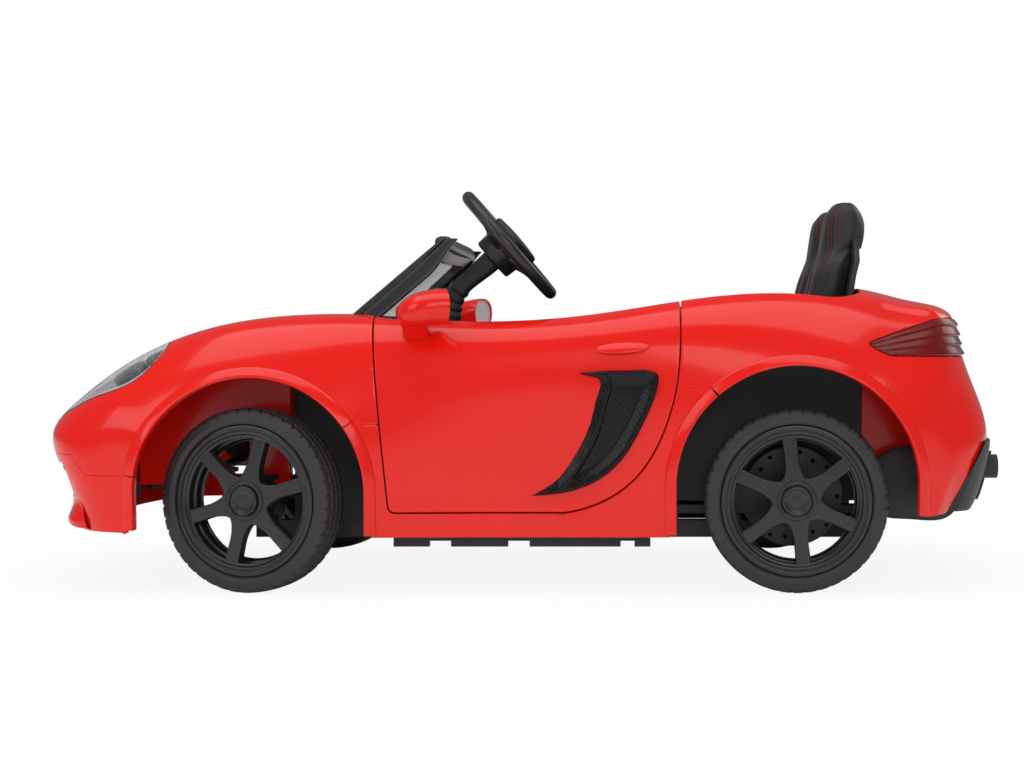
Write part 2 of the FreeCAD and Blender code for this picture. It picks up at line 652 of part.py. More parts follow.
# Steering line in the driver's half: wheel centre, axis and places along it measured downwards.
WHEEL_CENTRE = V(-26.5, -160, 484)
AXIS_DEG = 40.6
STEER_AXIS = V(math.cos(math.radians(AXIS_DEG)), 0, math.sin(math.radians(AXIS_DEG)))
STEER_UP = V(-STEER_AXIS.z, 0, STEER_AXIS.x)
SHAFT_R = 6
SHAFT_END = 470
CRANK_THICKNESS = 8
CRANK_R = 32.4
CRANK_PIN_R = 5
CRANK_PIN_END = 490
STEER_RATIO = 0.5
COLUMN_REST = STEER_REST / STEER_RATIO


def on_axis(down, up=0):
    """Point at a distance down the steering line, and up across it."""
    return WHEEL_CENTRE - STEER_AXIS * down + STEER_UP * up


def shaft_hole(radius):
    return cylinder(radius, on_axis(-BODY_HEIGHT / 4), on_axis(SHAFT_END + BODY_HEIGHT / 4))


# Front crossmember with bushes for the king pins and a bearing post for the shaft.
KINGPIN_Y = 270
KINGPIN_R = 6
BUSH_R = 13
BUSH_HALF_HEIGHT = 25
BEAM_WIDTH = 24
BEAM_HEIGHT = 25
POST_HALF = 14
POST_AHEAD = 4
POST_FRONT_X = FRONT_AXLE_X - POST_AHEAD
POST_BEHIND = 16
POST_REAR_X = FRONT_AXLE_X + POST_BEHIND
POST_TOP = 15
BEAM_LOW_Z = AXLE_Z - BEAM_HEIGHT / 2
BEAM_TOP_Z = AXLE_Z + BEAM_HEIGHT / 2
beam = box(FRONT_AXLE_X - BEAM_WIDTH / 2, FRONT_AXLE_X + BEAM_WIDTH / 2, -KINGPIN_Y, KINGPIN_Y, BEAM_LOW_Z,
           BEAM_TOP_Z)
pieces = [beam]
holes = [shaft_hole(SHAFT_R + FIT)]
for side in (-1, 1):
    low = V(FRONT_AXLE_X, side * KINGPIN_Y, AXLE_Z - BUSH_HALF_HEIGHT)
    high = V(FRONT_AXLE_X, side * KINGPIN_Y, AXLE_Z + BUSH_HALF_HEIGHT)
    pieces.append(cylinder(BUSH_R, low, high))
    holes.append(cylinder(KINGPIN_R + FIT, low - V(0, 0, BUSH_R), high + V(0, 0, BUSH_R)))
    y0 = side * RAIL_Y - RAIL_WIDTH / 2
    beam_front = FRONT_AXLE_X - BEAM_WIDTH / 2
    pieces.append(box(beam_front, beam_front + BEAM_WIDTH, y0, y0 + RAIL_WIDTH, RAIL_TOP_Z, BEAM_LOW_Z))
bearing_down = (WHEEL_CENTRE.x - POST_FRONT_X) / STEER_AXIS.x
post_z = on_axis(bearing_down).z + POST_TOP + (POST_REAR_X - POST_FRONT_X)
shaft_y = WHEEL_CENTRE.y
pieces.append(box(POST_FRONT_X, POST_REAR_X, shaft_y - POST_HALF, shaft_y + POST_HALF, BEAM_TOP_Z, post_z))
pieces.append(box(POST_FRONT_X, POST_REAR_X, shaft_y - POST_HALF, shaft_y + POST_HALF, BEAM_LOW_Z,
                  BEAM_TOP_Z))
crossmember = joined(pieces).cut(Part.Compound(holes))
keep("front_crossmember", largest(crossmember))

# Rear crossmember under the gearbox.
CROSS_SETBACK = 60
CROSS_X = REAR_AXLE_X + CROSS_SETBACK
CROSS_WIDTH = 40
cross_inner = RAIL_Y - RAIL_WIDTH / 2
keep("rear_crossmember", box(CROSS_X, CROSS_X + CROSS_WIDTH, -cross_inner, cross_inner, RAIL_LOW_Z,
                             RAIL_TOP_Z))

# Cockpit tub: floor, walls, seat shelf, wheel-house walls, flange and under-ribs.
TUB_FLOOR = 4
TUB_WALL = 4
TUB_FRONT_SETBACK = 31
TUB_FRONT_X = FRONT_AXLE_X + TUB_FRONT_SETBACK
TUB_WIDE_GAP = 15
TUB_WIDE_X = FRONT_ARCH_X + FRONT_ARCH_R + TUB_WIDE_GAP
TUB_RISER_GAP = 9
TUB_RISER_X = REAR_AXLE_X - REAR_ARCH_R - TUB_RISER_GAP
TUB_REAR_GAP = 4
TUB_REAR_X = COCKPIT_REAR_X + TUB_REAR_GAP
TUB_FRONT_HALF = 203
TUB_WIDE_HALF = 288
TUB_REAR_HALF = 215
TUB_FRONT_TOP_Z = 345
TUB_SIDE_TOP_Z = 325
TUB_REAR_TOP_Z = 352
TUB_BACK_TOP_Z = 404
SHELF_Z = 190
SHELF_THICKNESS = 5
WHEELHOUSE_LOW_Z = 119
FLOOR_END_GAP = 62
FLOOR_END_X = REAR_AXLE_X - FLOOR_END_GAP
FLANGE_RISE = 18
FLANGE_LOW_Z = RAIL_TOP_Z + FLANGE_RISE
FLANGE_HEIGHT = 5
UNDER_RIB_Y = 306
UNDER_RIB_HALF = 7
UNDER_RIB_LOW_Z = 63
UNDER_RIB_FRONT_X = -176
UNDER_RIB_REAR_X = 177
NOTCH_SPAN = 200
NOTCH_shares = [(-0.635, 0.15), (-0.095, 0.15), (0.68, 0.095)]
NOTCHES = outline_at(NOTCH_shares, (0, 0), NOTCH_SPAN)
NOTCH_DEPTH = 8
AXLE_NOTCH_HALF = 26
TUB_Z = RAIL_TOP_Z

doors_inner = body_layer(WALL, -LAMP_DEPTH - LAMP_RIM).common(doors_big)
front_out = box(TUB_FRONT_X, TUB_WIDE_X + TUB_WALL, -TUB_FRONT_HALF, TUB_FRONT_HALF, TUB_Z, TUB_FRONT_TOP_Z)
wide_out = box(TUB_WIDE_X, TUB_RISER_X, -TUB_WIDE_HALF, TUB_WIDE_HALF, TUB_Z, TUB_SIDE_TOP_Z)
inner_z = TUB_Z + TUB_FLOOR
front_in = box(TUB_FRONT_X + TUB_WALL, TUB_WIDE_X + 2 * TUB_WALL, TUB_WALL - TUB_FRONT_HALF,
               TUB_FRONT_HALF - TUB_WALL,
               inner_z, TUB_FRONT_TOP_Z + TUB_WALL)
wide_in = box(TUB_WIDE_X + TUB_WALL, TUB_RISER_X - TUB_WALL, TUB_WALL - TUB_WIDE_HALF,
              TUB_WIDE_HALF - TUB_WALL,
              inner_z, TUB_FRONT_TOP_Z + TUB_WALL)
tub = front_out.fuse(wide_out).cut(front_in.fuse(wide_in))
rear_in_half = TUB_REAR_HALF - TUB_WALL
tub = tub.cut(box(TUB_RISER_X - 2 * TUB_WALL, FLOOR_END_X, -rear_in_half, rear_in_half, SHELF_Z,
                  TUB_FRONT_TOP_Z))
rear_parts = [box(TUB_RISER_X - TUB_WALL, TUB_REAR_X, -TUB_REAR_HALF, TUB_REAR_HALF,
                  SHELF_Z - SHELF_THICKNESS, SHELF_Z)]
for side in (-1, 1):
    y0 = min(side * TUB_REAR_HALF, side * rear_in_half)
    wall = box(TUB_RISER_X - TUB_WALL, TUB_REAR_X, y0, y0 + TUB_WALL, WHEELHOUSE_LOW_Z, TUB_REAR_TOP_Z)
    notch = box(REAR_AXLE_X - AXLE_NOTCH_HALF, REAR_AXLE_X + AXLE_NOTCH_HALF, y0 - TUB_WALL,
                y0 + 2 * TUB_WALL,
                0, AXLE_Z + AXLE_NOTCH_HALF)
    rear_parts.append(wall.cut(notch))
back = box(TUB_REAR_X - TUB_WALL, TUB_REAR_X, -TUB_REAR_HALF, TUB_REAR_HALF, SHELF_Z, TUB_BACK_TOP_Z)
rear_parts.append(back)
tray = box(TUB_RISER_X - TUB_WALL, FLOOR_END_X, -rear_in_half + TUB_WALL, rear_in_half - TUB_WALL, TUB_Z,
           TUB_Z + TUB_FLOOR)
truss_gap = RAIL_Y + RAIL_WIDTH / 2 + TUB_WALL
tray = tray.cut(box(TRUSS_FRONT_X - TUB_WALL, FAR, truss_gap - RAIL_WIDTH - 2 * TUB_WALL, FAR, 0, FAR))
tray = tray.cut(box(TRUSS_FRONT_X - TUB_WALL, FAR, -FAR, RAIL_WIDTH + 2 * TUB_WALL - truss_gap, 0, FAR))
rear_parts.append(tray)
flange = box(TUB_WIDE_X, TUB_RISER_X, -FAR, FAR, FLANGE_LOW_Z - FLANGE_HEIGHT, FLANGE_LOW_Z)
flange = flange.cut(box(-FAR, FAR, TUB_WALL - TUB_WIDE_HALF, TUB_WIDE_HALF - TUB_WALL, -FAR, FAR))
flange = flange.cut(CLEAR).common(box(-FAR, FAR, -HALF_WIDTH, HALF_WIDTH, 0, FAR))
flange_parts = [s for s in flange.Solids if abs(s.CenterOfMass.y) < HALF_WIDTH - WALL]
rear_parts += flange_parts
for side in (-1, 1):
    y0 = side * UNDER_RIB_Y - UNDER_RIB_HALF
    rib = box(UNDER_RIB_FRONT_X, UNDER_RIB_REAR_X, y0, y0 + 2 * UNDER_RIB_HALF, UNDER_RIB_LOW_Z,
              FLANGE_LOW_Z)
    for notch_x, notch_width in NOTCHES:
        rib = rib.cut(box(notch_x, notch_x + notch_width, -FAR, FAR, 0, UNDER_RIB_LOW_Z + NOTCH_DEPTH))
    rear_parts.append(rib)
ledge = box(TUB_RISER_X - TUB_WALL, TUB_REAR_X, -FAR, FAR, TUB_REAR_TOP_Z - TUB_WALL, TUB_REAR_TOP_Z)
ledge = ledge.cut(box(-FAR, FAR, -rear_in_half, rear_in_half, -FAR, FAR)).cut(CLEAR)
ledge = ledge.common(box(-FAR, FAR, -HALF_WIDTH, HALF_WIDTH, 0, FAR)).cut(doors_inner)
rear_parts += [s for s in ledge.Solids if abs(s.CenterOfMass.y) < HALF_WIDTH - WALL]

# Pedal ears stand on the tub's floor.
PEDAL_PIN_R = 4
PEDAL_AXIS_SETBACK = 78
PEDAL_AXIS_X = TUB_FRONT_X + PEDAL_AXIS_SETBACK
PEDAL_AXIS_RISE = 14
PEDAL_AXIS_Z = inner_z + PEDAL_AXIS_RISE
PEDAL_HALF = 20
PEDAL_LENGTH = 72
PEDAL_THICKNESS = 8
PEDAL_LEAN = 42
PEDAL_PLACES = {"accelerator_pedal": -102, "brake_pedal": -166}
EAR_THICKNESS = 4
EAR_R = 9
EAR_GAP = 1
ear_holes = []
for y in PEDAL_PLACES.values():
    for side in (-1, 1):
        y0 = y + side * (PEDAL_HALF + EAR_GAP)
        y1 = y0 + side * EAR_THICKNESS
        ear = cylinder(EAR_R, V(PEDAL_AXIS_X, y0, PEDAL_AXIS_Z), V(PEDAL_AXIS_X, y1, PEDAL_AXIS_Z))
        foot = box(PEDAL_AXIS_X - EAR_R, PEDAL_AXIS_X + EAR_R, min(y0, y1), max(y0, y1), inner_z - 1,
                   PEDAL_AXIS_Z)
        rear_parts += [ear, foot]
        ear_holes.append(cylinder(PEDAL_PIN_R + FIT, V(PEDAL_AXIS_X, y0 - side, PEDAL_AXIS_Z),
                                  V(PEDAL_AXIS_X, y1 + side, PEDAL_AXIS_Z)))
tub = tub.multiFuse(rear_parts).cut(Part.Compound(ear_holes)).cut(shaft_hole(SHAFT_R + TUB_WALL))

# Dashboard on the tub's front walls, with a column shroud and pockets for its controls.
DASH_MIDDLE = (-212, 330)
DASH_SPAN = 200
DASH_POINTS_shares = [(-0.55, 0.075), (-0.55, 0.11), (-0.14, 0.16), (0.31, 0.175), (0.5, 0.11),
                      (0.54, -0.06), (0.42, -0.15), (0.08, -0.17), (0.08, 0.075)]
DASH_POINTS = outline_at(DASH_POINTS_shares, DASH_MIDDLE, DASH_SPAN)
DASH_HALF = 254
DASH_R = 6
DASH_FACE_TOP = V(-112, 0, 352)
DASH_FACE_LOW = V(-104, 0, 318)
BUTTON_Y = -62
BUTTON_R = 11
BUTTON_DEPTH = 12
BUTTON_PROUD = 5
BUTTON_TRAVEL = 3
ROCKER_Y = 0
ROCKER_HALF = 12
ROCKER_HEIGHT = 22
ROCKER_R = 9
ROCKER_PIN_R = 2.5
ROCKER_SINK = 5
CONTROL_GAP = 0.6
face_middle = (DASH_FACE_TOP + DASH_FACE_LOW) / 2
face_down = V(DASH_FACE_LOW - DASH_FACE_TOP).normalize()
face_out = V(-face_down.z, 0, face_down.x)
button_face = face_middle + V(0, BUTTON_Y, 0)
rocker_axis = face_middle + V(0, ROCKER_Y, 0) - face_out * ROCKER_SINK


def rocker_block(grow):
    """Rocker body across its pin: a drum with a flat paddle, grown for its pocket."""
    y0 = -ROCKER_HALF - grow
    drum = cylinder(ROCKER_R + grow, rocker_axis + V(0, y0, 0), rocker_axis - V(0, y0, 0))
    return drum


dash = prism_xz(DASH_POINTS, -DASH_HALF, DASH_HALF, DASH_R)
pocket_deep = BUTTON_DEPTH + BUTTON_TRAVEL + CONTROL_GAP
dash = dash.cut(cylinder(BUTTON_R + CONTROL_GAP, button_face - face_out * pocket_deep,
                         button_face + face_out * BUTTON_R))
dash = dash.cut(rocker_block(CONTROL_GAP))
dash = dash.cut(cylinder(ROCKER_PIN_R + FIT, rocker_axis - V(0, 2 * ROCKER_HALF, 0),
                         rocker_axis + V(0, 2 * ROCKER_HALF, 0)))
SHROUD_TOP = 42
SHROUD_HALF = 17
SHROUD_R = 6
SHROUD_LOW_X = -92
SHROUD_FRONT_X = -172
SHROUD_UP = 15
SHROUD_DOWN = 22
SHROUD_RIB = 4
SHROUD_RIBS = 3
DASH_TOP_Z = 365
top_front = on_axis(SHROUD_TOP, SHROUD_UP)
top_rear = on_axis(SHROUD_TOP, -SHROUD_DOWN)
shroud_points = [(top_front.x, top_front.z), (top_rear.x, top_rear.z)]
shroud_points += [(SHROUD_LOW_X, DASH_TOP_Z), (SHROUD_FRONT_X, DASH_TOP_Z)]
shroud = prism_xz(shroud_points, shaft_y - SHROUD_HALF, shaft_y + SHROUD_HALF, SHROUD_R)
for i in range(SHROUD_RIBS):
    rib_z = DASH_TOP_Z + (2 * i + 1.5) * SHROUD_RIB
    band = box(-FAR, FAR, -FAR, FAR, rib_z, rib_z + SHROUD_RIB)
    slab = shroud.common(band)
    core = box(SHROUD_FRONT_X + SHROUD_RIB, SHROUD_LOW_X - 2 * SHROUD_RIB,
               shaft_y - SHROUD_HALF + SHROUD_RIB / 2,
               shaft_y + SHROUD_HALF - SHROUD_RIB / 2, rib_z, rib_z + SHROUD_RIB)
    shroud = shroud.cut(slab.cut(core))
shroud = shroud.cut(dash).cut(shaft_hole(SHAFT_R + FIT))
keep("column_cover", largest(shroud))
dash = dash.cut(shaft_hole(SHAFT_R + TUB_WALL))
keep("dashboard", largest(dash))
keep("cockpit_tub", largest(tub.cut(dash)))

# Start button and direction rocker.
head = cylinder(BUTTON_R, button_face - face_out * BUTTON_DEPTH, button_face + face_out * BUTTON_PROUD)
head = head.makeFillet(BUTTON_TRAVEL / 2, [max(head.Edges, key=lambda e: e.CenterOfMass.dot(face_out))])
keep("start_button", head)
drum = rocker_block(0)
pin = cylinder(ROCKER_PIN_R, rocker_axis - V(0, 2 * ROCKER_HALF - 1, 0),
               rocker_axis + V(0, 2 * ROCKER_HALF - 1, 0))
paddle = box(0, ROCKER_R, -ROCKER_HALF, ROCKER_HALF, -ROCKER_HEIGHT / 2, ROCKER_HEIGHT / 2)
paddle = paddle.cut(box(-1, ROCKER_SINK + CONTROL_GAP + 2, -FAR, FAR, -FAR, FAR))
turn = FreeCAD.Rotation(V(1, 0, 0), face_out)
paddle.Placement = FreeCAD.Placement(rocker_axis, turn)
keep("direction_rocker", joined([drum, pin, paddle]))

# Windscreen: a bowed slab cut by its outline seen from the front.
SCREEN_BASE_X = -295
SCREEN_BASE_Z = 352
SCREEN_TOP_X = -132
SCREEN_TOP_Z = 492
SCREEN_BASE_HALF = 268
SCREEN_TOP_HALF = 222
SCREEN_BOW = 20
SCREEN_THICKNESS = 20
PILLAR_DEPTH = 46
PILLAR_BEND_Z = 436
SCREEN_FRAME = 15
SCREEN_R = 46
GLASS_THICKNESS = 3
GLASS_SINK = 5
GLASS_CLEAR = 0.15
SCREEN_CLEAR = 0.2


SCREEN_UNDER_share = 0.4
SCREEN_SIDE_share = 1.2


def bowed_slab(front, thickness):
    """Slab bowed forward in plan, drawn up along the rake of the screen."""
    rake = V(SCREEN_TOP_X - SCREEN_BASE_X, 0, SCREEN_TOP_Z - SCREEN_BASE_Z)
    start = V(SCREEN_BASE_X + front, 0, SCREEN_BASE_Z) - rake * SCREEN_UNDER_share
    half = SCREEN_BASE_HALF * SCREEN_SIDE_share
    bow = SCREEN_BOW * SCREEN_SIDE_share**2
    ends = []
    for x in (0, thickness):
        left = start + V(x + bow, -half, 0)
        right = start + V(x + bow, half, 0)
        ends.append((left, start + V(x, 0, 0), right))
    fore = Part.Arc(*ends[0]).toShape()
    aft = Part.Arc(*ends[1]).toShape()
    sides = [Part.makeLine(ends[0][k], ends[1][k]) for k in (0, 2)]
    face = Part.Face(Part.Wire(Part.__sortEdges__([fore, sides[1], aft, sides[0]])))
    return face.extrude(rake * (1 + 2 * SCREEN_UNDER_share))


def screen_outline(inset):
    low_z = SCREEN_BASE_Z - SCREEN_THICKNESS
    spread = (SCREEN_BASE_HALF - SCREEN_TOP_HALF) / (SCREEN_TOP_Z - SCREEN_BASE_Z)
    base = SCREEN_BASE_HALF + spread * SCREEN_THICKNESS - inset
    top = SCREEN_TOP_HALF - inset
    points = [(-base, low_z), (-top, SCREEN_TOP_Z - inset), (top, SCREEN_TOP_Z - inset), (base, low_z)]
    return points


def screen_prism(inset):
    points = [V(-FAR, y, z) for y, z in screen_outline(inset)]
    below = V(0, 0, -BODY_HEIGHT)
    corners = [points[0] + below, points[0], points[1], points[2], points[3], points[3] + below]
    return Part.Face(rounded_wire(corners, max(SCREEN_R - inset, SEAM))).extrude(V(2 * FAR, 0, 0))


def pillar_side():
    """Side view of the pillars: full depth up to the bend, then tapering to the frame's top."""
    slope = (SCREEN_TOP_X - SCREEN_BASE_X) / (SCREEN_TOP_Z - SCREEN_BASE_Z)
    low_z = window_low_z - SCREEN_FRAME
    bend_x = SCREEN_BASE_X + slope * (PILLAR_BEND_Z - SCREEN_BASE_Z) + SCREEN_BOW + PILLAR_DEPTH
    top_x = SCREEN_TOP_X + SCREEN_BOW + SCREEN_THICKNESS
    low_x = bend_x - slope * (PILLAR_BEND_Z - low_z)
    return [(-BODY_LENGTH, low_z), (-BODY_LENGTH, SCREEN_TOP_Z), (top_x, SCREEN_TOP_Z),
            (bend_x, PILLAR_BEND_Z),
            (low_x, low_z)]


above_skin = body_layer(SCREEN_CLEAR, -BODY_HEIGHT / 8)
WINDOW_SILL = 10
window_low_z = SCREEN_BASE_Z + 2 * SCREEN_FRAME + WINDOW_SILL
over_base = box(-FAR, FAR, -FAR, FAR, SCREEN_BASE_Z - SCREEN_THICKNESS, FAR)
window = screen_prism(SCREEN_FRAME).common(box(-FAR, FAR, -FAR, FAR, window_low_z, FAR))
screen_frame = bowed_slab(0, SCREEN_THICKNESS).common(screen_prism(0)).common(over_base).cut(window)
pillars = bowed_slab(0, PILLAR_DEPTH).common(screen_prism(0).cut(screen_prism(SCREEN_FRAME)))
pillars = pillars.common(prism_xz(pillar_side(), -FAR, FAR))
screen_frame = screen_frame.fuse(pillars).cut(above_skin)
dash_space = box(COCKPIT_FRONT_X - SCREEN_CLEAR - WALL, FAR, -FAR, FAR, 0, DASH_TOP_Z + SCREEN_CLEAR + WALL)
screen_frame = largest(screen_frame.cut(dash_space))
keep("windscreen_frame", screen_frame)
glass = bowed_slab(GLASS_SINK, GLASS_THICKNESS).common(screen_prism(SCREEN_FRAME + GLASS_CLEAR))
glass = glass.common(box(-FAR, FAR, -FAR, FAR, window_low_z + GLASS_CLEAR, FAR))
keep("windscreen_glass", largest(glass))

# Seats: lofted pads on one moulded shell.
SEAT_Y = 106
CUSHION_FRONT_GAP = 6
CUSHION_FRONT_X = TUB_RISER_X + CUSHION_FRONT_GAP
CUSHION_REAR_SETBACK = 58
CUSHION_REAR_X = REAR_AXLE_X + CUSHION_REAR_SETBACK
CUSHION_HEIGHT = 52
CUSHION_EDGE = 36
CUSHION_SIDE_shares = [(0.03, 0), (0.25, 0), (0.5, 0), (0.75, 0), (0.97, 0), (1, 0.4), (0.97, 0.85),
                       (0.75, 0.93),
                       (0.5, 0.9), (0.25, 1), (0.07, 0.97), (0, 0.5)]
CUSHION_CROWN_shares = [(-1, 0.62), (-0.93, 0.9), (-0.75, 1), (-0.5, 0.97), (-0.25, 1), (-0.06, 0.9),
                        (0, 0.8),
                        (0.06, 0.9), (0.25, 1), (0.5, 0.97), (0.75, 1), (0.93, 0.9), (1, 0.62)]
CUSHION_SIDE_GAP = 3
CUSHION_HALF = TUB_REAR_HALF - TUB_WALL - CUSHION_SIDE_GAP
PAD_HALF = 96
PAD_BACK_X = 440
PAD_SPAN = 200
PAD_shares = [(0.02, 0.92, -0.22, -0.02), (0.15, 0.98, -0.29, 0.0), (0.45, 1.0, -0.25, 0.03),
              (0.75, 1.0, -0.19, 0.065), (0.98, 0.95, -0.13, 0.105), (1.13, 0.83, -0.085, 0.145),
              (1.31, 0.72, -0.025, 0.19), (1.49, 0.62, 0.04, 0.215), (1.555, 0.52, 0.1, 0.22)]
PAD_SECTIONS = [(rise * PAD_SPAN, share, PAD_BACK_X + front * PAD_SPAN, PAD_BACK_X + rear * PAD_SPAN)
                for rise, share, front, rear in PAD_shares]
PAD_REAR_shares = (-0.8, -0.4, 0, 0.4, 0.8)
PAD_SIDE_share = 0.35
PAD_FRONT_shares = [(-0.9, 0.3), (-0.72, 0.05), (-0.5, 0.16), (-0.28, 0.02), (0, 0), (0.28, 0.02),
                    (0.5, 0.16), (0.72, 0.05),
                    (0.9, 0.3)]
SHELL_THICKNESS = 11
SHELL_GROW = 4
SHELL_LOW_Z = SHELF_Z + CUSHION_HEIGHT / 2
PAD_SINK = 2
PAD_LOW_Z = SHELF_Z + CUSHION_HEIGHT - PAD_SINK
SEAT_CLEAR = 0.25


def cushion_section(y, height):
    """Side-view section of the cushion: flat under, drawn-in sides, crowned top."""
    length = CUSHION_REAR_X - CUSHION_FRONT_X
    low_z = SHELF_Z + SEAT_CLEAR
    return curve_wire([V(CUSHION_FRONT_X + a * length, y, low_z + b * height)
                       for a, b in CUSHION_SIDE_shares])


cushion_wires = [cushion_section(share * CUSHION_HALF, level * CUSHION_HEIGHT)
                 for share, level in CUSHION_CROWN_shares]
cushion = Part.makeLoft(cushion_wires, True)
cushion = cushion.common(box(-FAR, FAR, -FAR, FAR, SHELF_Z, FAR))
keep("seat_cushion", largest(cushion))


def pad_section(rise, share, front, rear):
    """Plan section of a seat back: flat behind, soft sides, two channels in front."""
    half = PAD_HALF * share
    deep = rear - front
    points = [V(rear, share * half, 0) for share in PAD_REAR_shares]
    points += [V(rear - PAD_SIDE_share * deep, half, 0)]
    points += [V(front + b * deep, -a * half, 0) for a, b in PAD_FRONT_shares]
    points += [V(rear - PAD_SIDE_share * deep, -half, 0)]
    return curve_wire([p + V(0, SEAT_Y, PAD_LOW_Z + rise) for p in points])


pad = Part.makeLoft([pad_section(*row) for row in PAD_SECTIONS], True)
pad_back = [(row[3], PAD_LOW_Z + row[0]) for row in PAD_SECTIONS]
shell_front = [(x + SEAT_CLEAR, z) for x, z in pad_back]
shell_top = shell_front[-1][1] + SHELL_GROW
shell_profile = [(shell_front[0][0], SHELL_LOW_Z)] + shell_front + [(shell_front[-1][0], shell_top)]
shell_profile += [(x + SHELL_THICKNESS, z) for x, z in reversed([(shell_front[0][0],
                                                                  SHELL_LOW_Z)] + shell_front[:-1])]
shell_profile.insert(len(shell_front) + 2, (shell_front[-1][0] + SHELL_THICKNESS, shell_top))
shell_outline = [(SEAT_Y - PAD_HALF - SHELL_GROW, SHELL_LOW_Z)]
for row in PAD_SECTIONS:
    shell_outline.append((SEAT_Y - PAD_HALF * row[1] - SHELL_GROW, PAD_LOW_Z + row[0]))
shell_outline.append((SEAT_Y - PAD_HALF * PAD_SECTIONS[-1][1] + SHELL_GROW, shell_top))
shell_outline += [(2 * SEAT_Y - y, z) for y, z in reversed(shell_outline)]
pad = pad.cut(prism_xz(shell_profile, -FAR, FAR))
keep("right_seat_back", largest(pad))
keep("left_seat_back", mirrored(largest(pad)))
bridge_half = SEAT_Y - PAD_HALF
half_shell = prism_xz(shell_profile, -FAR, FAR).common(prism_yz(shell_outline, -FAR, FAR, SHELL_GROW))
bridge = prism_xz(shell_profile, -2 * bridge_half, 2 * bridge_half)
bridge = bridge.common(box(-FAR, FAR, -FAR, FAR, SHELL_LOW_Z, PAD_LOW_Z + PAD_SECTIONS[3][0]))
foot = box(pad_back[1][0] + SEAT_CLEAR + SHELL_THICKNESS / 2, TUB_REAR_X - TUB_WALL, -SEAT_Y - PAD_HALF / 2,
           SEAT_Y + PAD_HALF / 2, SHELL_LOW_Z, SHELL_LOW_Z + CUSHION_HEIGHT)
seat_shell = joined([half_shell, mirrored(half_shell), bridge, foot])
keep("seat_shell", largest(seat_shell.cut(cushion).cut(tub)))

# Battery under the seat, controller on the front bulkhead.
BATTERY_LENGTH = 92
BATTERY_WIDTH = 150
BATTERY_HEIGHT = 86
BATTERY_GAP = 4
TERMINAL_R = 4
TERMINAL_HEIGHT = 4
CONTROLLER_SIZE = (28, 110, 70)
CONTROLLER_Y = 40
CONTROLLER_Z = 190
bricks = []
TERMINAL_shares = (0.2, 0.8)
floor_top = TUB_Z + TUB_FLOOR
for side in (-1, 1):
    y0 = side * (BATTERY_GAP + BATTERY_WIDTH / 2) - BATTERY_WIDTH / 2
    x0 = TUB_RISER_X + BATTERY_GAP
    brick = box(x0, x0 + BATTERY_LENGTH, y0, y0 + BATTERY_WIDTH, floor_top,
                floor_top + BATTERY_HEIGHT - TERMINAL_HEIGHT)
    for place in TERMINAL_shares:
        base = V(x0 + BATTERY_LENGTH / 2, y0 + place * BATTERY_WIDTH,
                 floor_top + BATTERY_HEIGHT - 2 * TERMINAL_HEIGHT)
        brick = brick.fuse(cylinder(TERMINAL_R, base, base + V(0, 0, 2 * TERMINAL_HEIGHT)))
    bricks.append(brick.removeSplitter())
keep("battery", Part.Compound(bricks))
depth, wide_box, tall = CONTROLLER_SIZE
keep("controller_box", box(TUB_FRONT_X - depth, TUB_FRONT_X, CONTROLLER_Y, CONTROLLER_Y + wide_box,
                           CONTROLLER_Z, CONTROLLER_Z + tall))

# Rear axle: bearings, gearbox, motor, disc and caliper.
AXLE_R = 7.5
BEARING_LENGTH = 40
BEARING_RISE = 24
GEARBOX_HALF = 40
GEARBOX_R = 42
GEARBOX_FOOT = 12
MOTOR_R = 35
MOTOR_SETBACK = 74
MOTOR_X = REAR_AXLE_X + MOTOR_SETBACK
MOTOR_RISE = 8
MOTOR_Z = AXLE_Z + MOTOR_RISE
MOTOR_LENGTH = 98
MOTOR_END_R = 26
MOTOR_STEP = 10
DISC_Y = 238
DISC_R = 70
DISC_HALF = 2
DISC_HOLES = 18
DISC_HOLE_R = 3.2
DISC_ROW_share = 2.2
DISC_STAGGER_share = 1.6
DISC_HUB_R = 17
CALIPER_REACH = 82
CALIPER_FRONT_X = REAR_AXLE_X - CALIPER_REACH
CALIPER_LENGTH = 34
CALIPER_HALF = 13
CALIPER_LOW_Z = 104
CALIPER_TOP_Z = 150
CALIPER_GAP = 1.5
CALIPER_LUG = 5
TYRE_OUT = HALF_TRACK + TYRE_WIDTH / 2
AXLE_END_INSET = 17
AXLE_END = TYRE_OUT - AXLE_END_INSET

blocks = []
axle_bore = cylinder(AXLE_R + FIT, V(REAR_AXLE_X, -FAR, AXLE_Z), V(REAR_AXLE_X, FAR, AXLE_Z))
for side in (-1, 1):
    y0 = side * RAIL_Y - RAIL_WIDTH / 2
    x0 = REAR_AXLE_X - BEARING_LENGTH / 2
    block = box(x0, x0 + BEARING_LENGTH, y0, y0 + RAIL_WIDTH, TRUSS_TOP_Z, AXLE_Z + BEARING_RISE)
    blocks.append(block.cut(axle_bore))
keep("axle_bearings", Part.Compound(blocks))

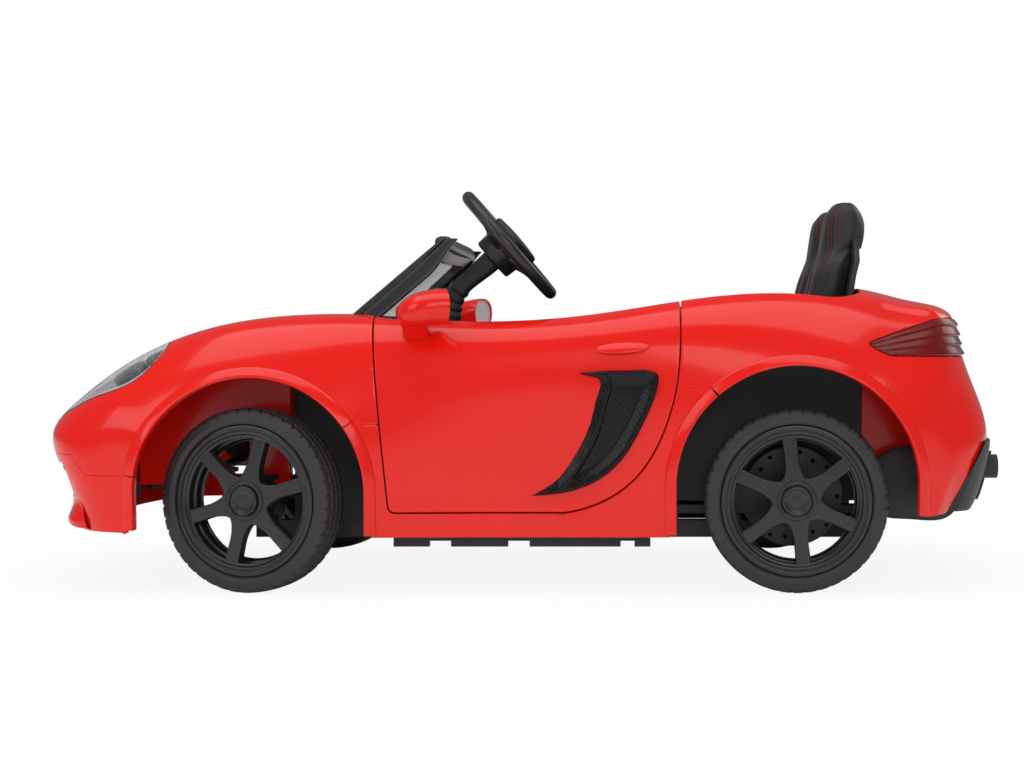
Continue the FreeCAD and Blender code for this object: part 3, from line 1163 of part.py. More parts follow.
ends = [V(REAR_AXLE_X, -GEARBOX_HALF, AXLE_Z), V(MOTOR_X, -GEARBOX_HALF, MOTOR_Z)]
width = V(0, 2 * GEARBOX_HALF, 0)
lobes = [cylinder(GEARBOX_R, ends[0], ends[0] + width), cylinder(MOTOR_R, ends[1], ends[1] + width)]
web = [(REAR_AXLE_X, AXLE_Z - GEARBOX_R), (REAR_AXLE_X, AXLE_Z + GEARBOX_R), (MOTOR_X, MOTOR_Z + MOTOR_R),
       (MOTOR_X, MOTOR_Z - MOTOR_R)]
lobes.append(prism_xz(web, -GEARBOX_HALF, GEARBOX_HALF))
lobes.append(box(CROSS_X, CROSS_X + CROSS_WIDTH, -GEARBOX_HALF, GEARBOX_HALF, RAIL_TOP_Z, MOTOR_Z))
gearbox = joined(lobes).cut(box(-FAR, FAR, -FAR, FAR, 0, RAIL_TOP_Z - GEARBOX_FOOT))
gearbox = gearbox.cut(box(CROSS_X - 1, CROSS_X + CROSS_WIDTH + 1, -FAR, FAR, 0, RAIL_TOP_Z))
gearbox = gearbox.cut(axle_bore)
keep("gearbox_housing", largest(gearbox))
start = V(MOTOR_X, GEARBOX_HALF, MOTOR_Z)
can = cylinder(MOTOR_R - 1, start, start + V(0, MOTOR_LENGTH - MOTOR_STEP, 0))
end_cap = cylinder(MOTOR_END_R, start, start + V(0, MOTOR_LENGTH, 0))
keep("drive_motor", joined([can, end_cap]))

disc_face = V(REAR_AXLE_X, -DISC_Y - DISC_HALF, AXLE_Z)
disc = cylinder(DISC_R, disc_face, disc_face + V(0, 2 * DISC_HALF, 0))
disc = disc.fuse(cylinder(DISC_HUB_R, disc_face - V(0, DISC_HUB_R / 2, 0),
                          disc_face + V(0, DISC_HUB_R / 2, 0)))
cuts = []
for i in range(DISC_HOLES):
    angle = 2 * math.pi * i / DISC_HOLES
    reach = DISC_R - (DISC_ROW_share + DISC_STAGGER_share * (i % 2)) * DISC_HOLE_R
    hole = disc_face + V(reach * math.cos(angle), 0, reach * math.sin(angle))
    cuts.append(cylinder(DISC_HOLE_R, hole - V(0, DISC_R, 0), hole + V(0, DISC_R, 0)))
disc = disc.cut(Part.Compound(cuts)).cut(cylinder(AXLE_R + FIT / 2, disc_face - V(0, DISC_R, 0),
                                                  disc_face + V(0, DISC_R, 0)))
keep("brake_disc", disc.removeSplitter())
caliper_end = CALIPER_FRONT_X + CALIPER_LENGTH
caliper = box(CALIPER_FRONT_X, caliper_end, -DISC_Y - CALIPER_HALF, CALIPER_HALF - DISC_Y, CALIPER_LOW_Z,
              CALIPER_TOP_Z)
slot_half = DISC_HALF + CALIPER_GAP
caliper = caliper.cut(cylinder(DISC_R + CALIPER_GAP, disc_face - V(0, CALIPER_GAP, 0),
                               disc_face + V(0, slot_half + DISC_HALF, 0)))
lug = box(CALIPER_FRONT_X, caliper_end, CALIPER_HALF - DISC_Y - 1, RAIL_WIDTH / 2 - RAIL_Y, TRUSS_TOP_Z,
          TRUSS_TOP_Z + CALIPER_LUG)
keep("brake_caliper", largest(joined([caliper, lug])))
rear_line = cylinder(AXLE_R, V(REAR_AXLE_X, -AXLE_END, AXLE_Z), V(REAR_AXLE_X, AXLE_END, AXLE_Z))
keep("rear_axle", rear_line)

# Wheels. Each is drawn for the left side about its own centre, outwards being -Y.
FLANGE_R = WHEEL_R - TYRE_DEPTH
SEAT_DROP = 6
SEAT_R = FLANGE_R - SEAT_DROP
SEAT_HALF = 20
BARREL_DROP = 4
BARREL_R = SEAT_R - BARREL_DROP
TYRE_HALF = TYRE_WIDTH / 2
TYRE_BEAD_INSET = 4
TYRE_BEAD_RISE = 6
TYRE_SHOULDER = 9
TYRE_TREAD_INSET = 6
TYRE_TREAD_DROP = 1
TYRE_ROUND = 3
TREAD_GROOVE = 3
TREAD_GROOVE_shares = (-0.4, 0, 0.4)
TREAD_DEPTH = 3
TREAD_BLOCKS = 44
NOTCH_WIDTH = 3.5
NOTCH_REACH = 12
RIM_INSET = 3
RIM_FACE = TYRE_HALF - RIM_INSET
RIM_BACK = 26
RIM_EDGE = 2
RIM_EDGE_DROP = 4
RING_EDGE = 1
SPOKE_LAP = 2
RING_STEP = 4
RING_R = 90
RING_INNER_R = 86
RING_BACK = 17
SPOKE_COUNT = 6
SPOKE_shares = [(0.2, 0.19), (0.4, 0.125), (0.56, 0.108), (1.0, 0.118)]
SPOKE_BACK = 8
SPOKE_FRONT = 21
SPOKE_CHAMFER = 2.5
HUB_R = 26
HUB_BACK = -8
HUB_FRONT = 22
NUT_POCKET_R = 14
NUT_POCKET = 10
NUT_R = 11
CAP_R = 20
CAP_RISE = 5
CAP_STEM_R = 13.7
CAP_STEM = 14.5
STUB_R = 6
STUB_END = 13
NUT_GAP = 0.2
TYRE_CLEAR = 0.15


def revolved(points, radius=0):
    """Ring from an outline of (outwards, radius) points about the wheel's axis."""
    corners = [V(r, -o, 0) for o, r in points]
    wire = rounded_wire(corners, radius) if radius else sharp_wire(corners)
    return Part.Face(wire).revolve(V(0, 0, 0), V(0, 1, 0), 360)


def tyre():
    inner = FLANGE_R + TYRE_CLEAR
    side = [(SEAT_HALF, SEAT_R), (SEAT_HALF, inner), (TYRE_HALF - TYRE_BEAD_INSET, inner)]
    side += [(TYRE_HALF, inner + TYRE_BEAD_RISE), (TYRE_HALF, WHEEL_R - TYRE_SHOULDER)]
    side += [(TYRE_HALF - TYRE_TREAD_INSET, WHEEL_R - TYRE_TREAD_DROP), (TYRE_HALF / 4, WHEEL_R)]
    outline = side + [(-o, r) for o, r in reversed(side)]
    ring = revolved(outline)
    for place in TREAD_GROOVE_shares:
        o = place * TYRE_HALF
        low = WHEEL_R - TREAD_DEPTH
        groove = [(o - TREAD_GROOVE / 2, low), (o + TREAD_GROOVE / 2, low)]
        groove += [(o + TREAD_GROOVE / 2, 2 * WHEEL_R), (o - TREAD_GROOVE / 2, 2 * WHEEL_R)]
        ring = ring.cut(revolved(groove))
    notches = []
    for i in range(TREAD_BLOCKS):
        for side_sign in (-1, 1):
            y0 = side_sign * (TYRE_HALF - NOTCH_REACH / 2) - NOTCH_REACH / 2
            cut = box(-NOTCH_WIDTH / 2, NOTCH_WIDTH / 2, y0, y0 + NOTCH_REACH, WHEEL_R - 2 * TREAD_DEPTH,
                      2 * WHEEL_R)
            cut.rotate(V(0, 0, 0), V(0, 1, 0), 360 * (i + side_sign / 4) / TREAD_BLOCKS)
            notches.append(cut)
    return ring.cut(Part.Compound(notches))


def rim(bore, phase):
    barrel = [(-RIM_BACK, BARREL_R), (-RIM_BACK, FLANGE_R), (-SEAT_HALF - TYRE_CLEAR, FLANGE_R)]
    barrel += [(-SEAT_HALF - TYRE_CLEAR, SEAT_R - TYRE_CLEAR),
               (SEAT_HALF + TYRE_CLEAR, SEAT_R - TYRE_CLEAR)]
    barrel += [(SEAT_HALF + TYRE_CLEAR, FLANGE_R), (RIM_FACE - RIM_EDGE, FLANGE_R),
               (RIM_FACE, FLANGE_R - RIM_EDGE_DROP)]
    barrel += [(RIM_FACE, RING_R), (RIM_FACE - RING_STEP, RING_R - RING_EDGE),
               (RIM_FACE - RING_STEP, RING_INNER_R)]
    barrel += [(RING_BACK, RING_INNER_R), (RING_BACK, BARREL_R)]
    parts = [revolved(barrel)]
    parts.append(cylinder(HUB_R, V(0, -HUB_BACK, 0), V(0, -HUB_FRONT, 0)))
    outline = [(RING_INNER_R * a + SPOKE_LAP * (a == 1.0), RING_INNER_R * b) for a, b in SPOKE_shares]
    corners = [V(r, -SPOKE_BACK, w) for r, w in outline] + [V(r, -SPOKE_BACK, -w)
                                                            for r, w in reversed(outline)]
    spoke = Part.Face(sharp_wire(corners)).extrude(V(0, SPOKE_BACK - SPOKE_FRONT, 0))
    front = [e for e in spoke.Edges if abs(e.CenterOfMass.y + SPOKE_FRONT) < SEAM and abs(e.CenterOfMass.z) > SEAM]
    spoke = spoke.makeChamfer(SPOKE_CHAMFER, front)
    for i in range(SPOKE_COUNT):
        turned = spoke.copy()
        turned.rotate(V(0, 0, 0), V(0, -1, 0), phase + 360 * i / SPOKE_COUNT)
        parts.append(turned)
    whole = joined(parts)
    whole = whole.cut(cylinder(bore, V(0, WHEEL_R, 0), V(0, -WHEEL_R, 0)))
    return whole.cut(cylinder(NUT_POCKET_R, V(0, -NUT_POCKET, 0), V(0, -WHEEL_R, 0)))


CAP_FACE_share = 0.7
CAP_GROOVE_share = 0.74
CAP_RIM_share = 0.85
CAP_GROOVE = 1.5
CAP_EDGE = 3


def cap():
    face = HUB_FRONT + TYRE_CLEAR
    top = face + CAP_RISE
    outline = [(CAP_STEM, 0), (top, 0), (top, CAP_R * CAP_FACE_share),
               (top - CAP_GROOVE, CAP_R * CAP_GROOVE_share)]
    outline += [(top - CAP_GROOVE, CAP_R * CAP_RIM_share), (top - CAP_EDGE, CAP_R), (face, CAP_R),
                (face, CAP_STEM_R)]
    outline += [(CAP_STEM, CAP_STEM_R)]
    return revolved(outline)


def placed(shape, x, y, turn=0, pivot_y=0):
    """Left-hand wheel piece moved to its place, then turned about a king pin."""
    moved = shape.copy()
    moved.translate(V(x, y, AXLE_Z))
    if turn:
        moved.rotate(V(x, pivot_y, AXLE_Z), V(0, 0, 1), turn)
    return moved


tyre_shape = tyre()
front_rim = rim(STUB_R + FIT, FRONT_SPOKE_PHASE)
rear_rim = rim(AXLE_R + FIT / 2, REAR_SPOKE_PHASE)
cap_shape = cap()
for name, shape in (("tyre", tyre_shape), ("rim", front_rim), ("cap", cap_shape)):
    keep("left_front_" + name, placed(shape, FRONT_AXLE_X, -HALF_TRACK, STEER_REST, -KINGPIN_Y))
    other = placed(mirrored(shape), FRONT_AXLE_X, HALF_TRACK, STEER_REST, KINGPIN_Y)
    keep("right_front_" + name, other)
for name, shape in (("rear_tyres", tyre_shape), ("rear_rims", rear_rim), ("rear_wheel_caps", cap_shape)):
    left = placed(shape, REAR_AXLE_X, -HALF_TRACK)
    keep(name, Part.Compound([left, placed(mirrored(shape), REAR_AXLE_X, HALF_TRACK)]))

# Knuckles: a yoke round the bush, a stub axle and a forward steering arm.
YOKE_HALF = 15
YOKE_GAP = 0.5
YOKE_THICKNESS = 7
YOKE_BACK = 13
WEB_NEAR = 17
WEB_FAR = 24
ARM_LENGTH = 60
ARM_HALF = 8
ARM_PIN_R = 4
ARM_PIN = 14
WHEEL_REACH = HALF_TRACK - KINGPIN_Y


def knuckle():
    """Left knuckle about its king pin's middle, outwards being -Y."""
    low = BUSH_HALF_HEIGHT + YOKE_GAP
    high = low + YOKE_THICKNESS
    parts = []
    for sign in (-1, 1):
        z0 = min(sign * low, sign * high)
        parts.append(box(-YOKE_HALF, YOKE_HALF, -WEB_FAR, YOKE_BACK, z0, z0 + YOKE_THICKNESS))
    parts.append(box(-YOKE_HALF, YOKE_HALF, -WEB_FAR, -WEB_NEAR, -high, high))
    parts.append(cylinder(KINGPIN_R, V(0, 0, -high), V(0, 0, high)))
    parts.append(cylinder(STUB_R, V(0, -WEB_NEAR - 1, 0), V(0, -WHEEL_REACH - STUB_END, 0)))
    nut_start = WHEEL_REACH + NUT_POCKET + NUT_GAP
    parts.append(cylinder(NUT_R, V(0, -nut_start, 0), V(0, -WHEEL_REACH - STUB_END, 0)))
    parts.append(box(-ARM_LENGTH, 0, -ARM_HALF, ARM_HALF, low, high))
    parts.append(cylinder(ARM_HALF, V(-ARM_LENGTH, 0, low), V(-ARM_LENGTH, 0, high)))
    parts.append(cylinder(ARM_PIN_R, V(-ARM_LENGTH, 0, low), V(-ARM_LENGTH, 0, high + ARM_PIN)))
    return joined(parts)


left_knuckle = knuckle()
right_knuckle = mirrored(left_knuckle)
for name, shape, y in (("left_knuckle", left_knuckle, -KINGPIN_Y),
                       ("right_knuckle", right_knuckle, KINGPIN_Y)):
    keep(name, placed(shape, FRONT_AXLE_X, y, STEER_REST, y))

# Tie rod with slotted end plates and a fork for the crank pin.
ROD_R = 6
ROD_RISE = 20
PLATE_GAP = 3
PLATE_THICKNESS = 6
PLATE_HALF = 12
SLOT_CLEAR = 0.7
FORK_NEAR = 477
FORK_FAR = 507
FORK_LOW = 14
FORK_HIGH = 44
FORK_CLEAR = 1.4
FORK_CHEEK = 6
ARM_SWING = 6
rod_x = FRONT_AXLE_X - ARM_LENGTH
arm_top = AXLE_Z + BUSH_HALF_HEIGHT + YOKE_GAP + YOKE_THICKNESS
plate_z = arm_top + PLATE_GAP
rod_z = plate_z + PLATE_THICKNESS + ROD_R / 2
rod_shift = -ARM_LENGTH * math.sin(math.radians(STEER_REST))
rod_end = KINGPIN_Y - PLATE_HALF / 2
parts = [cylinder(ROD_R, V(rod_x, rod_shift - rod_end, rod_z), V(rod_x, rod_shift + rod_end, rod_z))]
slots = []
for side in (-1, 1):
    y = side * KINGPIN_Y + rod_shift
    parts.append(box(rod_x - PLATE_HALF, rod_x + PLATE_HALF + ARM_SWING, y - PLATE_HALF, y + PLATE_HALF,
                     plate_z, plate_z + PLATE_THICKNESS))
    slot_r = ARM_PIN_R + SLOT_CLEAR
    for reach in (0, ARM_SWING):
        slots.append(cylinder(slot_r, V(rod_x + reach, y, plate_z - 1),
                              V(rod_x + reach, y, rod_z + 2 * ROD_R)))
    slots.append(box(rod_x, rod_x + ARM_SWING, y - slot_r, y + slot_r, plate_z - 1, rod_z + 2 * ROD_R))


def steer_block(near, far, low, high, y0, y1):
    """Block squared to the steering line."""
    corners = [on_axis(near, low), on_axis(near, high), on_axis(far, high), on_axis(far, low)]
    return prism_xz([(c.x, c.z) for c in corners], y0, y1)


fork_y = shaft_y + rod_shift
for side in (-1, 1):
    y0 = fork_y + side * (CRANK_PIN_R + FORK_CLEAR)
    y1 = y0 + side * FORK_CHEEK
    parts.append(steer_block(FORK_NEAR, FORK_FAR, FORK_LOW, FORK_HIGH, min(y0, y1), max(y0, y1)))
keep("tie_rod", largest(joined(parts).cut(Part.Compound(slots))))

# Steering shaft with its crank, turned to the rest angle.
SHAFT_START = 10
CRANK_HALF = 9
crank = steer_block(SHAFT_END - CRANK_THICKNESS, SHAFT_END, -CRANK_HALF, CRANK_R + CRANK_HALF,
                    shaft_y - CRANK_HALF,
                    shaft_y + CRANK_HALF)
crank_pin = cylinder(CRANK_PIN_R, on_axis(SHAFT_END - 1, CRANK_R), on_axis(CRANK_PIN_END, CRANK_R))
shaft = joined([cylinder(SHAFT_R, on_axis(SHAFT_START), on_axis(SHAFT_END)), crank, crank_pin])
shaft.rotate(WHEEL_CENTRE, STEER_AXIS, COLUMN_REST)
keep("steering_shaft", shaft)

# Steering wheel and horn pad, drawn about the wheel's centre with Z towards the driver.
GRIP_RING_R = 92
GRIP_R = 10
GRIP_SPOKE_HALF = 13
GRIP_SPOKE_THICKNESS = 9
BOSS_R = 33
BOSS_DEPTH = 34
BOSS_FRONT = 2
PAD_WIDTH = 76
PAD_TALL = 58
PAD_THICKNESS = 11
PAD_LIFT = 4
PAD_R = 14
STEM_R = 9
STEM_DEPTH = 8
STEM_POCKET = 13
HORN_TRAVEL = 3
to_wheel = FreeCAD.Placement(WHEEL_CENTRE, FreeCAD.Rotation(STEER_UP, V(0, -1, 0), STEER_AXIS, "ZXY"))


def at_wheel(shape):
    whole = shape.copy()
    whole.Placement = to_wheel
    whole.rotate(WHEEL_CENTRE, STEER_AXIS, COLUMN_REST)
    return whole


parts = [Part.makeTorus(GRIP_RING_R, GRIP_R)]
SPOKE_TURNS = (90, 180, 270)
for turn in SPOKE_TURNS:
    arm = box(0, GRIP_RING_R, -GRIP_SPOKE_HALF, GRIP_SPOKE_HALF, -GRIP_SPOKE_THICKNESS, 0)
    arm.rotate(V(0, 0, 0), V(0, 0, 1), turn)
    parts.append(arm)
parts.append(cylinder(BOSS_R, V(0, 0, -BOSS_DEPTH), V(0, 0, BOSS_FRONT)))
wheel = joined(parts)
wheel = wheel.cut(cylinder(SHAFT_R + FIT / 2, V(0, 0, -FAR), V(0, 0, -SHAFT_START + FIT)))
wheel = wheel.cut(cylinder(STEM_R + FIT, V(0, 0, BOSS_FRONT - STEM_POCKET + 1), V(0, 0, FAR)))
keep("steering_wheel", at_wheel(largest(wheel)))
pad_corners = [(-PAD_TALL / 2, -PAD_WIDTH / 2), (PAD_TALL / 2, -PAD_WIDTH / 2)]
pad_corners += [(PAD_TALL / 2, PAD_WIDTH / 2), (-PAD_TALL / 2, PAD_WIDTH / 2)]
pad_low = BOSS_FRONT + PAD_LIFT
horn = prism_xy(pad_corners, pad_low, pad_low + PAD_THICKNESS, PAD_R)
rims = [e for e in horn.Edges if abs(e.CenterOfMass.z - pad_low - PAD_THICKNESS) < SEAM]
horn = horn.makeFillet(HORN_TRAVEL, rims)
horn = horn.fuse(cylinder(STEM_R, V(0, 0, BOSS_FRONT - STEM_DEPTH), V(0, 0, pad_low + 1)))
keep("horn_pad", at_wheel(horn.removeSplitter()))

# Pedals: a leaning plate with its pin.
GRIP_COUNT = 4
GRIP_START_share = 0.3
GRIP_STEP_share = 0.17
GRIP_DEPTH = 1.5
for name, y in PEDAL_PLACES.items():
    plate = box(-PEDAL_THICKNESS / 2, PEDAL_THICKNESS / 2, -PEDAL_HALF, PEDAL_HALF, 0, PEDAL_LENGTH)
    for i in range(GRIP_COUNT):
        z0 = PEDAL_LENGTH * (GRIP_START_share + GRIP_STEP_share * i)
        plate = plate.cut(box(PEDAL_THICKNESS / 2 - GRIP_DEPTH, PEDAL_THICKNESS, -FAR, FAR, z0,
                              z0 + PEDAL_THICKNESS / 2))
    plate.rotate(V(0, 0, 0), V(0, 1, 0), -PEDAL_LEAN)
    pin_half = PEDAL_HALF + EAR_GAP + EAR_THICKNESS
    plate = plate.fuse(cylinder(PEDAL_PIN_R, V(0, -pin_half, 0), V(0, pin_half, 0))).removeSplitter()
    plate.translate(V(PEDAL_AXIS_X, y, PEDAL_AXIS_Z))
    keep(name, plate)

# Doors: skin with returned edges, closed by a trim panel, on a standing pin.
DOOR_DEPTH = 22
TRIM_THICKNESS = 3
HINGE_SETBACK = 17
HINGE_X = DOOR_FRONT_LOW_X + HINGE_SETBACK
HINGE_SINK = 11.5
HINGE_PIN_R = 4
HINGE_TUBE_R = 7
HINGE_LOW_Z = 136
HINGE_RISE = 130
HINGE_LENGTH = 32
HINGE_SPANS = [(z, z + HINGE_LENGTH) for z in (HINGE_LOW_Z, HINGE_LOW_Z + HINGE_RISE)]
HINGE_TOP_Z = 300
HINGE_FOOT_R = 9
HINGE_FOOT = 2.5
HANDLE_MIDDLE = (130, 335)
HANDLE_SPAN = 80
HANDLE_shares = [(-0.5, -0.1), (0.5, -0.0625), (0.475, 0.1375), (-0.475, 0.1)]
HANDLE = outline_at(HANDLE_shares, HANDLE_MIDDLE, HANDLE_SPAN)
HANDLE_PROUD = 8
HANDLE_R = 6
HANDLE_SLOT_shares = [(-0.4, -0.025), (0.4, 0.0), (0.4, 0.025), (-0.4, 0.0)]
HANDLE_SLOT = outline_at(HANDLE_SLOT_shares, HANDLE_MIDDLE, HANDLE_SPAN)
VENT_MIDDLE = (101, 220)
VENT_SPAN = 200
VENT_shares = [(-0.115, 0.41), (0.41, 0.425), (0.44, 0.37), (0.31, 0.02), (0.035, -0.35), (-0.44, -0.43),
               (-0.285, -0.34), (-0.16, -0.19), (-0.025, 0.09), (0.035, 0.35)]
VENT = outline_at(VENT_shares, VENT_MIDDLE, VENT_SPAN)
VENT_PROUD = 2.6
VENT_FLOOR = 1
VENT_RIM = 3.5
VENT_R = 4

hinge_low_z, hinge_high_z = HINGE_SPANS[0][0], HINGE_SPANS[1][1]
hinge_y = min(side_y(HINGE_X, hinge_low_z), side_y(HINGE_X, hinge_high_z)) - HINGE_SINK
FLANGE_LAP = 0.5
flange_layer = body_layer(-WALL + FLANGE_LAP, -DOOR_DEPTH)
trim_layer = body_layer(-DOOR_DEPTH - SEAT_GAP, -DOOR_DEPTH - TRIM_THICKNESS)
inside_layer = body_layer(-1, -DOOR_DEPTH + 1)
edge_in = DOOR_GAP / 2
door_zone = door_prism(-edge_in, 1)
door_core = door_prism(-edge_in - WALL, 1)
right_zone = box(-FAR, FAR, 0, FAR, -FAR, FAR)
skin = body.common(right_zone).common(door_zone)
ahead_of_hinge = box(-FAR, HINGE_X, 0, hinge_y - HINGE_TUBE_R, -FAR, TUB_SIDE_TOP_Z)
edge = flange_layer.common(door_zone.cut(door_core)).cut(cockpit_hole).cut(ahead_of_hinge)
top_edge = flange_layer.common(door_zone).common(box(-FAR, FAR, COCKPIT_HALF, COCKPIT_HALF + WALL,
                                                     COCKPIT_LOW_Z, FAR))
door_parts = [skin, edge, top_edge]
for z0, z1 in HINGE_SPANS:
    door_parts.append(cylinder(HINGE_TUBE_R, V(HINGE_X, hinge_y, z0), V(HINGE_X, hinge_y, z1)))
    web = box(HINGE_X - HINGE_PIN_R, HINGE_X + HINGE_PIN_R, hinge_y, FAR, z0, z1)
    door_parts.append(web.common(inside_layer))
handle = body_layer(HANDLE_PROUD, -1).common(prism_xz(HANDLE, 0, FAR, HANDLE_R))
handle = handle.cut(body_layer(2 * HANDLE_PROUD, HANDLE_PROUD / 2).common(prism_xz(HANDLE_SLOT, 0, FAR)))
door_parts.append(handle)
pin_space = cylinder(HINGE_PIN_R + FIT, V(HINGE_X, hinge_y, 0), V(HINGE_X, hinge_y, HINGE_TOP_Z + 1))
door = largest(door_parts[0].multiFuse(door_parts[1:]).cut(pin_space))
keep("right_door_panel", door)
keep("left_door_panel", mirrored(door))
trim_zone = box(HINGE_X, FAR, 0, FAR, -FAR, FAR)
trim = largest(trim_layer.common(door_zone).common(trim_zone).cut(cockpit_hole))
keep("right_door_trim", trim)
keep("left_door_trim", mirrored(trim))
vent_wire = rounded_wire([V(x, 0, z) for x, z in VENT], VENT_R)
vent = body_layer(VENT_PROUD, SEAT_GAP / 2).common(Part.Face(vent_wire).extrude(V(0, FAR, 0)))
vent_core = Part.Face(vent_wire.makeOffset2D(-VENT_RIM)).extrude(V(0, FAR, 0))
vent = largest(vent.cut(body_layer(2 * VENT_PROUD, VENT_FLOOR).common(vent_core)))
keep("right_side_vent", vent)
keep("left_side_vent", mirrored(vent))
pin_low = V(HINGE_X, hinge_y, FLANGE_LOW_Z)
hinge_pin = cylinder(HINGE_PIN_R, pin_low, V(HINGE_X, hinge_y, HINGE_TOP_Z))
hinge_pin = hinge_pin.fuse(cylinder(HINGE_FOOT_R, pin_low, pin_low + V(0, 0, HINGE_FOOT))).removeSplitter()
keep("door_hinge_pins", both_sides(hinge_pin))

# Mirrors: a pod on a stem, with a glass in its rear face.
MIRROR_Y = 353
MIRROR_Z = 392
MIRROR_BACK_X = -102
MIRROR_SPAN = 80
MIRROR_shares = [(-0.8, 0.1125, 0.075), (-0.6875, 0.275, 0.1875), (-0.5, 0.3875, 0.2625),
                 (-0.225, 0.45, 0.3),
                 (0, 0.475, 0.3125)]
MIRROR_SECTIONS = [(MIRROR_BACK_X + a * MIRROR_SPAN, b * MIRROR_SPAN, c * MIRROR_SPAN)
                   for a, b, c in MIRROR_shares]
MIRROR_GLASS_IN = 3.5
MIRROR_GLASS_DEPTH = 3
MIRROR_GLASS_THICKNESS = 2
STEM_FRONT_X = -152
STEM_REAR_X = -112
MIRROR_STEM_MIDDLE = (332, 361)
MIRROR_STEM_SPAN = 50
STEM_POINTS_shares = [(-0.2, -0.46), (0.06, -0.46), (0.48, 0.26), (0.48, 0.46), (-0.08, 0.46),
                      (-0.48, -0.22)]
STEM_POINTS = outline_at(STEM_POINTS_shares, MIRROR_STEM_MIDDLE, MIRROR_STEM_SPAN)
STEM_ROUND = 4


def ellipse_wire(x, half_width, half_height):
    curve = Part.Ellipse(V(0, 0, 0), half_width, half_height)
    wire = Part.Wire(curve.toShape())
    axes = FreeCAD.Rotation(V(0, 1, 0), V(0, 0, 1), V(1, 0, 0), "ZXY")
    wire.Placement = FreeCAD.Placement(V(x, MIRROR_Y, MIRROR_Z), axes)
    return wire


pod = Part.makeLoft([ellipse_wire(*row) for row in MIRROR_SECTIONS], True)
pod_end, pod_half, pod_tall = MIRROR_SECTIONS[-1]
recess = Part.Face(ellipse_wire(pod_end + 1, pod_half - MIRROR_GLASS_IN, pod_tall - MIRROR_GLASS_IN))
recess = recess.extrude(V(-MIRROR_GLASS_DEPTH - 1, 0, 0))
stem = prism_yz(STEM_POINTS, STEM_FRONT_X, STEM_REAR_X, STEM_ROUND)
mirror_body = pod.fuse(stem).cut(recess).cut(body_layer(SEAT_GAP / 2, -WALL - TUB_WALL))
mirror_body = mirror_body.cut(box(-FAR, FAR, 0, COCKPIT_HALF + 2 * WALL, 0, FAR))
keep("right_mirror_housing", largest(mirror_body))
keep("left_mirror_housing", mirrored(largest(mirror_body)))
glass_x = pod_end - MIRROR_GLASS_DEPTH + SEAT_GAP / 2
glass = Part.Face(ellipse_wire(glass_x, pod_half - MIRROR_GLASS_IN - SEAT_GAP,
                               pod_tall - MIRROR_GLASS_IN - SEAT_GAP))
glass = glass.extrude(V(MIRROR_GLASS_THICKNESS, 0, 0))
keep("right_mirror_glass", glass)
keep("left_mirror_glass", mirrored(glass))
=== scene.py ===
"""Looks of an electric ride-on car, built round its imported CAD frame.

Every new piece is a surface worked out on a grid in millimetres in the car's frame:
X runs from the nose (-) to the tail (+), Y to the car's right, Z up from the ground.
"""

import json
import logging
import math
from dataclasses import dataclass, field
from enum import Enum
from typing import Callable, Sequence

import bpy
import numpy as np
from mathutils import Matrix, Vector
from mathutils.bvhtree import BVHTree

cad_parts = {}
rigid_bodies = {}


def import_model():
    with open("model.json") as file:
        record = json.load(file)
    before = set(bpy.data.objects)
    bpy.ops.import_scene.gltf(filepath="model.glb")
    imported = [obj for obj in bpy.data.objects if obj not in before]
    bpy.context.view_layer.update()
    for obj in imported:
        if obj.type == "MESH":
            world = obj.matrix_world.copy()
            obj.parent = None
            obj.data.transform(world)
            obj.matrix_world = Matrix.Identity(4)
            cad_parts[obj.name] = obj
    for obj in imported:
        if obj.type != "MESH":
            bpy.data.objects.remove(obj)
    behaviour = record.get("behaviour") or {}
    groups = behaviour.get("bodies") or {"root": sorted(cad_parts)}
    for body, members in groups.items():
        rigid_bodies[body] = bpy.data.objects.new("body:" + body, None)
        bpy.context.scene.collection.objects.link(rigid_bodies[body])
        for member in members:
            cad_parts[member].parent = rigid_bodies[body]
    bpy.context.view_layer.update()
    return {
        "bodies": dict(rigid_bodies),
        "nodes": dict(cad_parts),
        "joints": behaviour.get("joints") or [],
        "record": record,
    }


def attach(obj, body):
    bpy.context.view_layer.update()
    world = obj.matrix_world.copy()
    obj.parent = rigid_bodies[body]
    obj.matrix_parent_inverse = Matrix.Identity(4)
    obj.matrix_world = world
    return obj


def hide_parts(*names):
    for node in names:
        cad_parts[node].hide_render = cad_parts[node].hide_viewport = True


Array = np.ndarray
Region = Callable[[Array], Array]
Socket = bpy.types.NodeSocket
MM = 0.001
TINY = 1e-12
FAR = 1e9
NEAR_MM = 60.0
LOG = logging.getLogger("ride_on_car")


class Side(Enum):
    """Side of the car, with the sign of its Y."""

    LEFT = -1
    RIGHT = 1

    def span(self) -> tuple[float, float]:
        """Part of the skin's second parameter that covers the flank of this side."""
        return (0.35, 1.0) if self is Side.RIGHT else (-1.0, -0.35)


# Shapes on grids


@dataclass
class Patch:
    """Part of a mesh: points in mm, faces as rows of three or four places, and a flat place per point."""

    points: Array
    faces: list[Array]
    flat: Array | None = None

    def moved(self, turn: Array, shift: Sequence[float]) -> "Patch":
        """Return the patch turned by a 3 by 3 matrix and then shifted; a mirror turns its faces round."""
        faces = self.faces if np.linalg.det(turn) > 0 else [f[:, ::-1] for f in self.faces]
        return Patch(self.points @ np.asarray(turn).T + np.asarray(shift, float), faces, self.flat)

    def laid(self, *axes: int) -> "Patch":
        """Return the patch with two of its coordinates, in metres, as the flat places."""
        return Patch(self.points, self.faces, self.points[:, axes] * MM)


